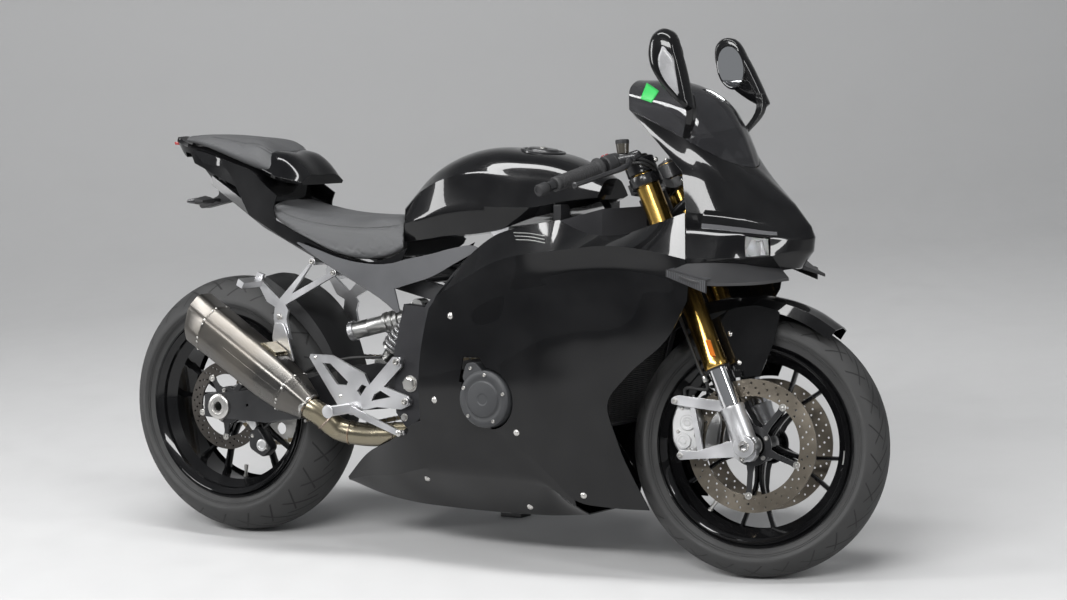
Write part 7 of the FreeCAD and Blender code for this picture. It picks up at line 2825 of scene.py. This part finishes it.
@dataclass
class EngineBay(Assembly):
    """What shows of the engine: covers, radiator core, hoses and pivot nuts.

    Args:
        bike: the bike's frame.
    """

    def build(self) -> None:
        """Builds the covers and the radiator."""
        self.clutch()
        self.generator()
        self.radiator()
        self.bolts()

    def clutch(self) -> None:
        """The round cover guard that stands through the right fairing, with its lobe and screws."""
        right = Vector((0, -1, 0))
        guard = Shape("clutch_guard")
        guard.turned(Vector((861, -185, 394)), right, [
            (0, 64), (0, 67), (44, 67), (49, 66), (52, 63), (53.4, 58), (53.6, 50), (52.6, 48), (52.6, 43), (55.5, 40),
            (56, 38), (56, 14), (54.6, 12), (54.6, 0.5)], 96)
        plate(guard, [(800, 440), (812, 476), (836, 478), (868, 446), (840, 400)], -232, -186, 9)
        guard.build(*self.fixed, GUARD, slot="engine_black", replaces=("clutch_cover",), bevel=1.0, smooth=30)
        spots = [Spot(Vector((861 + 57 * math.cos(a), -237.6, 394 + 57 * math.sin(a))), right)
                 for a in (math.radians(t) for t in (15, 85, 155, 225, 300))]
        spots.append(Spot(Vector((824, -231.8, 464)), right))
        fasten(*self.fixed, "clutch_guard_screws", Fastener.SOCKET, 4.6, spots, STEEL)

    def generator(self) -> None:
        """The round cover on the left."""
        guard = Shape("generator_guard")
        guard.turned(Vector((872, 185, 396)), ACROSS, [
            (0, 57), (0, 60), (14, 60), (17, 58), (18.4, 54), (18.6, 46), (17.4, 44), (21, 40), (22, 38), (22, 10),
            (21, 8), (21, 0.5)], 80)
        guard.build(*self.fixed, GUARD, slot="engine_black", replaces=("generator_cover",), smooth=30)

    def radiator(self) -> None:
        """The radiator: two tanks, a finned core, and its straps."""
        a, b = Vector((1052, 0, 330)), Vector((1128, 0, 590))
        up = (b - a).normalized()
        out = Vector((up.z, 0, -up.x))
        deep = 34.0

        def block(name: str, y0: float, y1: float, s0: float, s1: float, d0: float, d1: float) -> Shape:
            """A block in the radiator's own plane."""
            base = [a + up * s + out * d for s, d in ((s0, d0), (s1, d0), (s1, d1), (s0, d1))]
            return Shape(name).slab([Vector((p.x, y0, p.z)) for p in base], Vector((0, y1 - y0, 0)))

        height = (b - a).length
        frame = block("radiator_frame", -165, -142, 2, height - 2, 1, deep)
        for sizes in ((142, 165, 2, height - 2, 1, deep), (-142, 142, 2, 12, 3, deep - 2),
                      (-142, 142, height - 12, height - 2, 3, deep - 2)):
            more = block("more", *sizes)
            first = len(frame.points)
            frame._put(more.points)
            for face in more.faces:
                frame._face(*[first + k for k in face])
        for side in Side:
            y = side.value
            frame.slab([Vector((x, y * 164.3, z)) for x, z in ((1004, 640), (1018, 650), (1134, 578), (1122, 562))],
                       Vector((0, y * 4, 0)))
        frame.build(*self.fixed, BLACK_PAINT, slot="radiator_alloy", replaces=("radiator",), bevel=2.0)
        core = block("radiator_core", -142, 142, 12, height - 12, 8, deep - 8)
        core.build(*self.fixed, RADIATOR, slot="radiator_alloy")
        slat = Shape("model_slat").slab([Vector((x, -0.9, z)) for x, z in (
            (-141.5, 0), (141.5, 0), (141.5, 4), (-141.5, 4))], Vector((0, 1.8, 0))).model()
        steps = int((height - 26) / 5.2)
        for name, face, offset in (("front", out, deep - 8.4), ("rear", -out, 8.4)):
            spots = [Spot(a + up * (14 + 5.2 * k) + out * offset, face, ACROSS) for k in range(steps)]
            run_tree(*self.fixed, "radiator_fins_" + name, NODES.scatter(), spots,
                     {"Piece": slat, "Scale": MM}, RADIATOR)
        cap = Shape("radiator_cap")
        cap.turned(b + Vector((6, 120, -2)), up, [(0, 14), (2, 20), (9, 20), (11, 17), (11, 0.5)], 32)
        cap.build(*self.fixed, STEEL, bevel=0.5)
        for side in Side:
            y = side.value
            path = spline([b + Vector((x, y * w, z)) for x, w, z in ((8, 150, -24), (-40, 152, 4), (-100, 132, 20))],
                          8)
            Shape("radiator_hose_" + side.label).hose(path, 12, 20).build(*self.fixed, HOSE)

    def bolts(self) -> None:
        """Swingarm pivot nuts and frame bolts."""
        for side in Side:
            y, name = side.value, side.label
            out = Vector((0, y, 0))
            fasten(*self.fixed, "pivot_nut_" + name, Fastener.HEX, 19,
                   [Spot(Vector((608, y * 163.4, 411)), out)], STEEL)
            fasten(*self.fixed, "frame_bolts_" + name, Fastener.HEX, 9,
                   [Spot(Vector((x, y * 162, z)), out) for x, z in ((680, 560), (676, 500), (590, 330))], STEEL)


GUARD = Finish("guard_composite", (0.022, 0.023, 0.025), 0.5, texture=Texture.GRAIN, size=1000.0, depth=0.06, shift=0.4)


@dataclass
class Seats(Assembly):
    """The rider's seat and the pillion pad, blown up by cloth simulation and then sewn.

    Args:
        bike: the bike's frame.
        voxel: the remeshing size in millimetres.
        pressure: the pressure inside the cover.
        steps: simulation steps.
    """

    voxel: float = 5.0
    pressure: float = 4.0
    steps: int = 20

    def build(self) -> None:
        """Builds both pads with their seams and stitches, the seat's feet and the pillion pad's lip."""
        rider = {x: [(y * 0.985, z - 3.0 if k < 3 else z) for k, (y, z) in enumerate(half)] for x, half in SEAT.items()}
        seam = [Vector((x, -half[2][0] * 0.97, half[2][1] + 4)) for x, half in SEAT.items() if x < 560]
        self.pad("rider_seat_pad", rider, "rider_seat", 5.0, 770.0, seam, 0.62)
        feet = Shape("rider_seat_feet")
        for side in Side:
            feet.slab([Vector((x, side.value * 98, z)) for x, z in (
                (480, 685.4), (500, 685.4), (500, 712), (480, 712))], Vector((0, side.value * 18, 0)))
        feet.build(*self.fixed, MATT_BLACK, bevel=0.8)
        table = {x: half for x, half in PILLION.items() if x < 150}
        table[160] = [(0, 946), (62, 940), (94, 906), (84, 894)]
        pillion = {x: [(y * 0.98, z - 2.5 if k < 3 else z) for k, (y, z) in enumerate(half)]
                   for x, half in table.items()}
        lip = {122: [(0, 956), (72, 952), (98, 912), (88, 898)], 180: [(0, 946), (77, 940), (105, 893), (93, 881)],
               222: [(0, 914), (72, 909), (95, 884), (86, 876)], 238: [(0, 896), (66, 893), (88, 880), (82, 873)]}
        Shape("pillion_lip").loft(sections(lip, 5, 5, sharp=(2, 3))).build(
            *self.fixed, GLOSS_BLACK, slot="gloss_black", bevel=1.4)
        seam = [Vector((x, -half[1][0] * 1.04, half[1][1] - 3)) for x, half in table.items() if x > -150]
        self.pad("pillion_pad", pillion, "pillion_seat", 4.0, 0.0, seam, 0.7)

    def pad(self, name: str, table: dict[float, Flat], node: str, reach: float, hold: float,
            seam: list[Vector], fill: float) -> None:
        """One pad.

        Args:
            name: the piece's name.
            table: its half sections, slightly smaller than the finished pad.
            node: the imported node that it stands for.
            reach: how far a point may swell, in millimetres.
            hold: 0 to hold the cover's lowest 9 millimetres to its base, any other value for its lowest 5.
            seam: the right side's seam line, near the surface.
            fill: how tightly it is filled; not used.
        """
        rings = sections(table, 6, 5, sharp=(len(next(iter(table.values()))) - 1,))
        obj = Shape(name).loft(rings).build(*self.fixed, SEAT_COVER)
        if node == "rider_seat":
            carve(obj, [cutter(self.bike, "seat_line", [(x - 3.5, y) for x, y in SEAT_LINE], 650, 1000, plan=True)])
        back = self.bike.chassis.inverted()
        fine = obj.modifiers.new("voxels", "REMESH")
        fine.mode, fine.voxel_size, fine.use_smooth_shade = "VOXEL", self.voxel * MM, True
        bake(obj)
        low = {x: half[-1][1] for x, half in table.items()}
        marks = sorted(low)

        def base(x: float) -> float:
            """The height of the pad's lower edge.

            Args:
                x: the place along the bike.

            Returns:
                The height.
            """
            for a, b in zip(marks, marks[1:]):
                if x <= b:
                    return low[a] + (low[b] - low[a]) * (x - a) / (b - a)
            return low[marks[-1]]

        group = obj.vertex_groups.new(name="held")
        for v in obj.data.vertices:
            p = back @ v.co / MM
            if p.z < base(p.x) + (9.0 if hold == 0.0 else 5.0):
                group.add([v.index], 1.0, "REPLACE")
        self._inflate(obj, reach)
        obj.vertex_groups.clear()
        work = bmesh.new()
        work.from_mesh(obj.data)
        bmesh.ops.subdivide_edges(work, edges=work.edges, cuts=1, use_grid_fill=True, smooth=0.6)
        work.to_mesh(obj.data)
        work.free()
        sides = (1, -1)
        tree = BVHTree.FromPolygons([back @ v.co / MM for v in obj.data.vertices],
                                    [tuple(p.vertices) for p in obj.data.polygons])
        lines = []
        for s in sides:
            path = spline([sided(p, s) for p in seam], 24)
            lines.append([tree.find_nearest(p) for p in path])
        kd = KDTree(sum(len(line) for line in lines))
        for k, hit in enumerate(h for line in lines for h in line):
            kd.insert(hit[0], k)
        kd.balance()
        inverse = self.bike.chassis
        for v in obj.data.vertices:
            p = back @ v.co / MM
            far = kd.find(p)[2]
            if far < 9.0:
                normal = (back.to_3x3() @ v.normal).normalized()
                v.co = inverse @ ((p - normal * (2.2 * math.exp(-(far / 3.2) ** 2))) * MM)
        for polygon in obj.data.polygons:
            polygon.use_smooth = True
        fine = obj.modifiers.new("round", "SUBSURF")
        fine.levels = fine.render_levels = 1
        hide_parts(node)
        spots: list[Spot] = []
        for s, line in zip(sides, lines):
            run = 0.0
            for (a, na, *_), (b, *_) in zip(line, line[1:]):
                step = (b - a).length
                if run + step >= 5.0:
                    out = na if na.dot(Vector((0, -s, 0.6))) > 0 else -na
                    shift = out.cross((b - a).normalized()).normalized() * (4.0 * s)
                    spots.append(Spot(a + shift + out * 0.3, out, b - a))
                    run = 0.0
                run += step
        stitch = Shape("model_stitch").turned(Vector((-1.7, 0, 0)), Vector((1, 0, 0)), [
            (0, 0.1), (0.3, 0.45), (1.2, 0.6), (2.2, 0.6), (3.1, 0.45), (3.4, 0.1)], 8).model()
        run_tree(*self.fixed, name + "_stitches", NODES.scatter(), spots, {"Piece": stitch, "Scale": MM},
                 THREAD)

    def _inflate(self, obj: bpy.types.Object, reach: float) -> None:
        """Runs the cloth with pressure and no gravity, then keeps each point within reach of its start.

        Args:
            obj: the remeshed pad, with its group held.
            reach: how far a point may move, in millimetres.
        """
        start = [v.co.copy() for v in obj.data.vertices]
        cloth = obj.modifiers.new("cover", "CLOTH")
        settings = cloth.settings
        settings.quality = 5
        settings.mass = 0.3
        settings.tension_stiffness = settings.compression_stiffness = 30.0
        settings.shear_stiffness, settings.bending_stiffness = 10.0, 2.0
        settings.use_pressure, settings.uniform_pressure_force = True, self.pressure
        settings.vertex_group_mass = "held"
        settings.effector_weights.gravity = 0.0
        cloth.point_cache.frame_start, cloth.point_cache.frame_end = 1, self.steps
        scene = bpy.context.scene
        for step in range(1, self.steps + 1):
            scene.frame_set(step)
            bpy.context.view_layer.update()
        bake(obj)
        scene.frame_set(1)
        most = 0.0
        for v, origin in zip(obj.data.vertices, start):
            move = v.co - origin
            most = max(most, move.length)
            if move.length > reach * MM:
                v.co = origin + move.normalized() * reach * MM
        log.info("%s swelled by up to %.1f mm", obj.name, most / MM)


THREAD = Finish("seat_thread", (0.05, 0.05, 0.052), 0.7, texture=Texture.BRUSHED, size=3000.0, depth=0.05)


@dataclass
class Trim(Assembly):
    """Fairing screws, vent louvres and the bright frame edges behind the fairing.

    Args:
        bike: the bike's frame.
        screws: x and z at 228 mm from the middle of the line of sight to each screw.
    """

    screws: tuple = ((765, 583), (983, 142), (1128, 183), (946, 320), (719, 384), (695, 192))

    def build(self) -> None:
        """Builds the trim of both sides."""
        panels = ("fairing_right_panel", "belly_pan_panel")
        seats = [seen_at(self.bike, panels, Vector((x, -228, z))) for x, z in self.screws]
        slats = [[seen_at(self.bike, panels, Vector((x, -180, z)))[0] for x, z in (
            (912 + 3 * k, 778 - 8 * k), (954 + 2 * k, 777 - 8 * k), (994 + k, 772 - 8 * k))] for k in range(3)]
        for side in Side:
            y, name = -side.value, side.label
            spots = [Spot(sided(p, y), sided(n, y)) for p, n in seats]
            fasten(*self.fixed, "fairing_screws_" + name, Fastener.BUTTON, 8.0, spots, STEEL)
            vent = Shape("vent_louvres_" + name)
            for slat in slats:
                points = [sided(p, y) for p in spline(slat, 6)]
                out = Vector((0, -y * 2.6, 0.8))
                vent.loft([[p, p + out, p + out - Vector((0, 0, 1.6)), p - Vector((0, 0, 3.4))] for p in points])
            vent.build(*self.fixed, SHOCK_ALLOY, bevel=0.4)
            bracket = Shape("frame_bracket_" + name)
            plate(bracket, [(826, 778), (852, 790), (884, 838), (906, 842), (880, 792), (872, 768), (840, 760)],
                  y * 146, y * 150, 5)
            bracket.build(*self.fixed, SILVER, bevel=0.7)


def more_pieces(bike: BikeFrame) -> tuple:
    """Every sub-assembly besides the bodywork, in order.

    Args:
        bike: the bike's frame.

    Returns:
        The sub-assemblies.
    """
    rows = ((120.0, 30, 0.0), (131.0, 30, 0.36), (142.0, 30, 0.72))
    back_rows = ((86.0, 24, 0.0), (94.0, 24, 0.36), (102.0, 24, 0.72))
    discs = [Disc(bike, Body.FRONT_WHEEL, "front_disc_" + side.label, FRONT_AXLE + ACROSS * (side.value * DISC_Y),
                  151.0, 112.0, rows, nodes=side.first("front_discs")) for side in Side]
    return (Wheel(bike, Body.FRONT_WHEEL, FRONT_AXLE, 300.0, 66.4, 60.0, 46.0, (40.0, 58.0), 13.0, 18.0),
            Wheel(bike, Body.REAR_WHEEL, REAR_AXLE, 320.0, 106.8, 95.0, 76.0, (50.0, 76.0), 15.0, 50.0),
            *discs,
            Disc(bike, Body.REAR_WHEEL, "rear_disc", REAR_AXLE - ACROSS * 84.0, 110.0, 78.0, back_rows,
                 nodes=("rear_disc",), finish=REAR_STEEL),
            ChainDrive(bike), FrontEnd(bike), Cockpit(bike), Exhaust(bike), RearEnd(bike), EngineBay(bike), Seats(bike),
            Trim(bike))


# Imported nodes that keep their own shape


@dataclass
class Dressing:
    """Gives the kept nodes their rounded edges and finishes.

    Args:
        nodes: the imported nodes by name.
        slots: each node's material slot.
        edge: the round's width on machined and cast pieces, in millimetres.
    """

    nodes: dict[str, bpy.types.Object]
    slots: dict[str, str]
    edge: float = 1.0

    def build(self) -> None:
        """Dresses every node that still shows."""
        for name, obj in self.nodes.items():
            finish = NODE_FINISH.get(name) or SLOT_FINISH.get(self.slots.get(name, ""), MATT_BLACK)
            obj.data.materials.clear()
            obj.data.materials.append(finish.material())
            if obj.hide_render:
                continue
            weld = obj.modifiers.new("weld", "WELD")
            weld.merge_threshold = WELD_GAP
            width = NODE_EDGE.get(name, self.edge)
            if width:
                _bevel(obj, width, 34)
            log.info("dressed %s in %s", name, finish.name)


NODE_FINISH: dict[str, Finish] = {"display": DARK_LENS}
NODE_EDGE: dict[str, float] = {"frame": 2.2, "engine": 3.0, "swingarm": 3.0, "brake_hoses": 0.0, "subframe": 1.5,
                               "footrest_right": 1.3, "footrest_left": 1.3, "pillion_rests": 1.3,
                               "front_calipers": 2.0, "rear_caliper": 2.0, "fork_lowers": 1.6, "display": 3.0}


@dataclass
class Studio:
    """The floor, the lights and the camera.

    Args:
        bike: the bike's frame.
        azimuth: the camera's azimuth in the bike's frame, from its right side to its front.
        elevation: the camera's height angle.
        roll: the camera's roll in radians.
        distance: from the target, in metres.
        focal: the focal length in pixels of the photo.
        target: what the camera looks at, in metres in the bike's frame.
    """

    bike: BikeFrame
    azimuth: float = math.radians(32.1)
    elevation: float = math.radians(4.17)
    roll: float = -0.0031
    distance: float = 7.299
    focal: float = 3081.2
    target: Point = (0.8511, 0.0, 0.6087)

    def build(self) -> None:
        """Builds the whole stage."""
        self.floor()
        self.lights()
        self.camera()

    def floor(self) -> None:
        """A plain pale floor that rises into a backdrop behind the bike, see-through from its own back."""
        profile = [(-9.0, 0.0), (3.2, 0.0), (3.9, 0.06), (4.5, 0.24), (5.0, 0.55), (5.4, 1.0), (5.6, 1.6), (5.7, 2.4),
                   (5.7, 6.5)]
        turn = Matrix.Rotation(self.azimuth, 4, "Z")
        points = [turn @ Vector((x, y, z)) for x in (-12.0, 12.0) for y, z in profile]
        faces = [(i, i + len(profile), i + 1 + len(profile), i + 1) for i in range(len(profile) - 1)]
        mesh = bpy.data.meshes.new("studio_floor")
        mesh.from_pydata(points, [], faces)
        for polygon in mesh.polygons:
            polygon.use_smooth = True
        paper = Finish("studio_paper", (0.52, 0.52, 0.52), 0.8, shift=0.0).material()
        mesh.materials.append(paper)
        n, link = paper.node_tree.nodes, paper.node_tree.links
        side, see_through, one_sided = (n.new(kind) for kind in (
            "ShaderNodeNewGeometry", "ShaderNodeBsdfTransparent", "ShaderNodeMixShader"))
        link.new(side.outputs["Backfacing"], one_sided.inputs["Fac"])
        link.new(n["Principled BSDF"].outputs["BSDF"], one_sided.inputs[1])
        link.new(see_through.outputs["BSDF"], one_sided.inputs[2])
        link.new(one_sided.outputs["Shader"], n["Material Output"].inputs["Surface"])
        obj = bpy.data.objects.new("studio_floor", mesh)
        bpy.context.scene.collection.objects.link(obj)
        obj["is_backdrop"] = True

    def lights(self) -> None:
        """Large soft lights over and beside the bike, and a plain grey sky."""
        world = bpy.data.worlds.new("studio_sky")
        bpy.context.scene.world = world
        world.use_nodes = True
        back = world.node_tree.nodes["Background"]
        back.inputs["Color"].default_value = (0.75, 0.77, 0.8, 1.0)
        back.inputs["Strength"].default_value = 0.3
        aim = Vector((0.0, 0.0, 0.55))
        for name, azimuth, height, reach, size, power in (
                ("light_key", 4.0, 3.4, 4.0, (4.4, 0.7), 200.0), ("light_front", 80.0, 2.0, 4.6, (0.35, 2.6), 60.0),
                ("light_top", 1.0, 4.2, 0.5, (4.6, 0.5), 150.0), ("light_rear", -58.0, 2.2, 4.4, (0.7, 2.4), 80.0)):
            a = math.radians(azimuth)
            data = bpy.data.lights.new(name, "AREA")
            data.shape, data.size, data.size_y, data.energy = "RECTANGLE", size[0], size[1], power
            obj = bpy.data.objects.new(name, data)
            obj.location = aim + Vector((math.sin(a) * reach, -math.cos(a) * reach, height - aim.z))
            obj.rotation_euler = (aim - obj.location).to_track_quat("-Z", "Y").to_euler()
            bpy.context.scene.collection.objects.link(obj)

    def camera(self) -> None:
        """The photo's camera, which leans with the bike."""
        az, el = self.azimuth, self.elevation
        back = Vector((math.sin(az) * math.cos(el), -math.cos(az) * math.cos(el), math.sin(el)))
        place = Vector(self.target) + back * self.distance
        right = (-back).cross(Vector((0, 0, 1))).normalized()
        up = right.cross(-back).normalized()
        c, s = math.cos(self.roll), math.sin(self.roll)
        turned = Matrix((right * c + up * s, up * c - right * s, back)).transposed().to_4x4()
        data = bpy.data.cameras.new("photo_camera")
        data.sensor_width, data.sensor_fit = SENSOR, "HORIZONTAL"
        data.lens = self.focal / PHOTO_WIDTH * SENSOR
        data.clip_end = 60.0
        obj = bpy.data.objects.new("photo_camera", data)
        obj.matrix_world = self.bike.chassis @ (Matrix.Translation(place) @ turned)
        bpy.context.scene.collection.objects.link(obj)
        bpy.context.scene.camera = obj


def node_slots(record: dict) -> dict[str, str]:
    """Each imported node's material slot, from the record.

    Args:
        record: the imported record.

    Returns:
        Slot names by node name.
    """
    return {row["node"]: row["material_slot"] for row in record["subparts"]}


def corners(box: tuple) -> list[list[float]]:
    """A box as plain lists of numbers."""
    return [[float(v) for v in corner] for corner in box]


def main() -> None:
    """Builds the whole scene in order."""
    logging.basicConfig(level=logging.INFO, format="%(name)s: %(message)s")
    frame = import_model()
    cad = corners(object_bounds())
    bike = BikeFrame().read(frame["joints"])
    for piece in (Bodywork(bike), *more_pieces(bike), Dressing(frame["nodes"], node_slots(frame["record"])),
                  Studio(bike)):
        piece.build()
        log.info("built %s", type(piece).__name__)
    bpy.context.scene.view_settings.view_transform = "Standard"
    {"cad": cad, "visual": corners(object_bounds())}


if __name__ == "__main__":
    main()
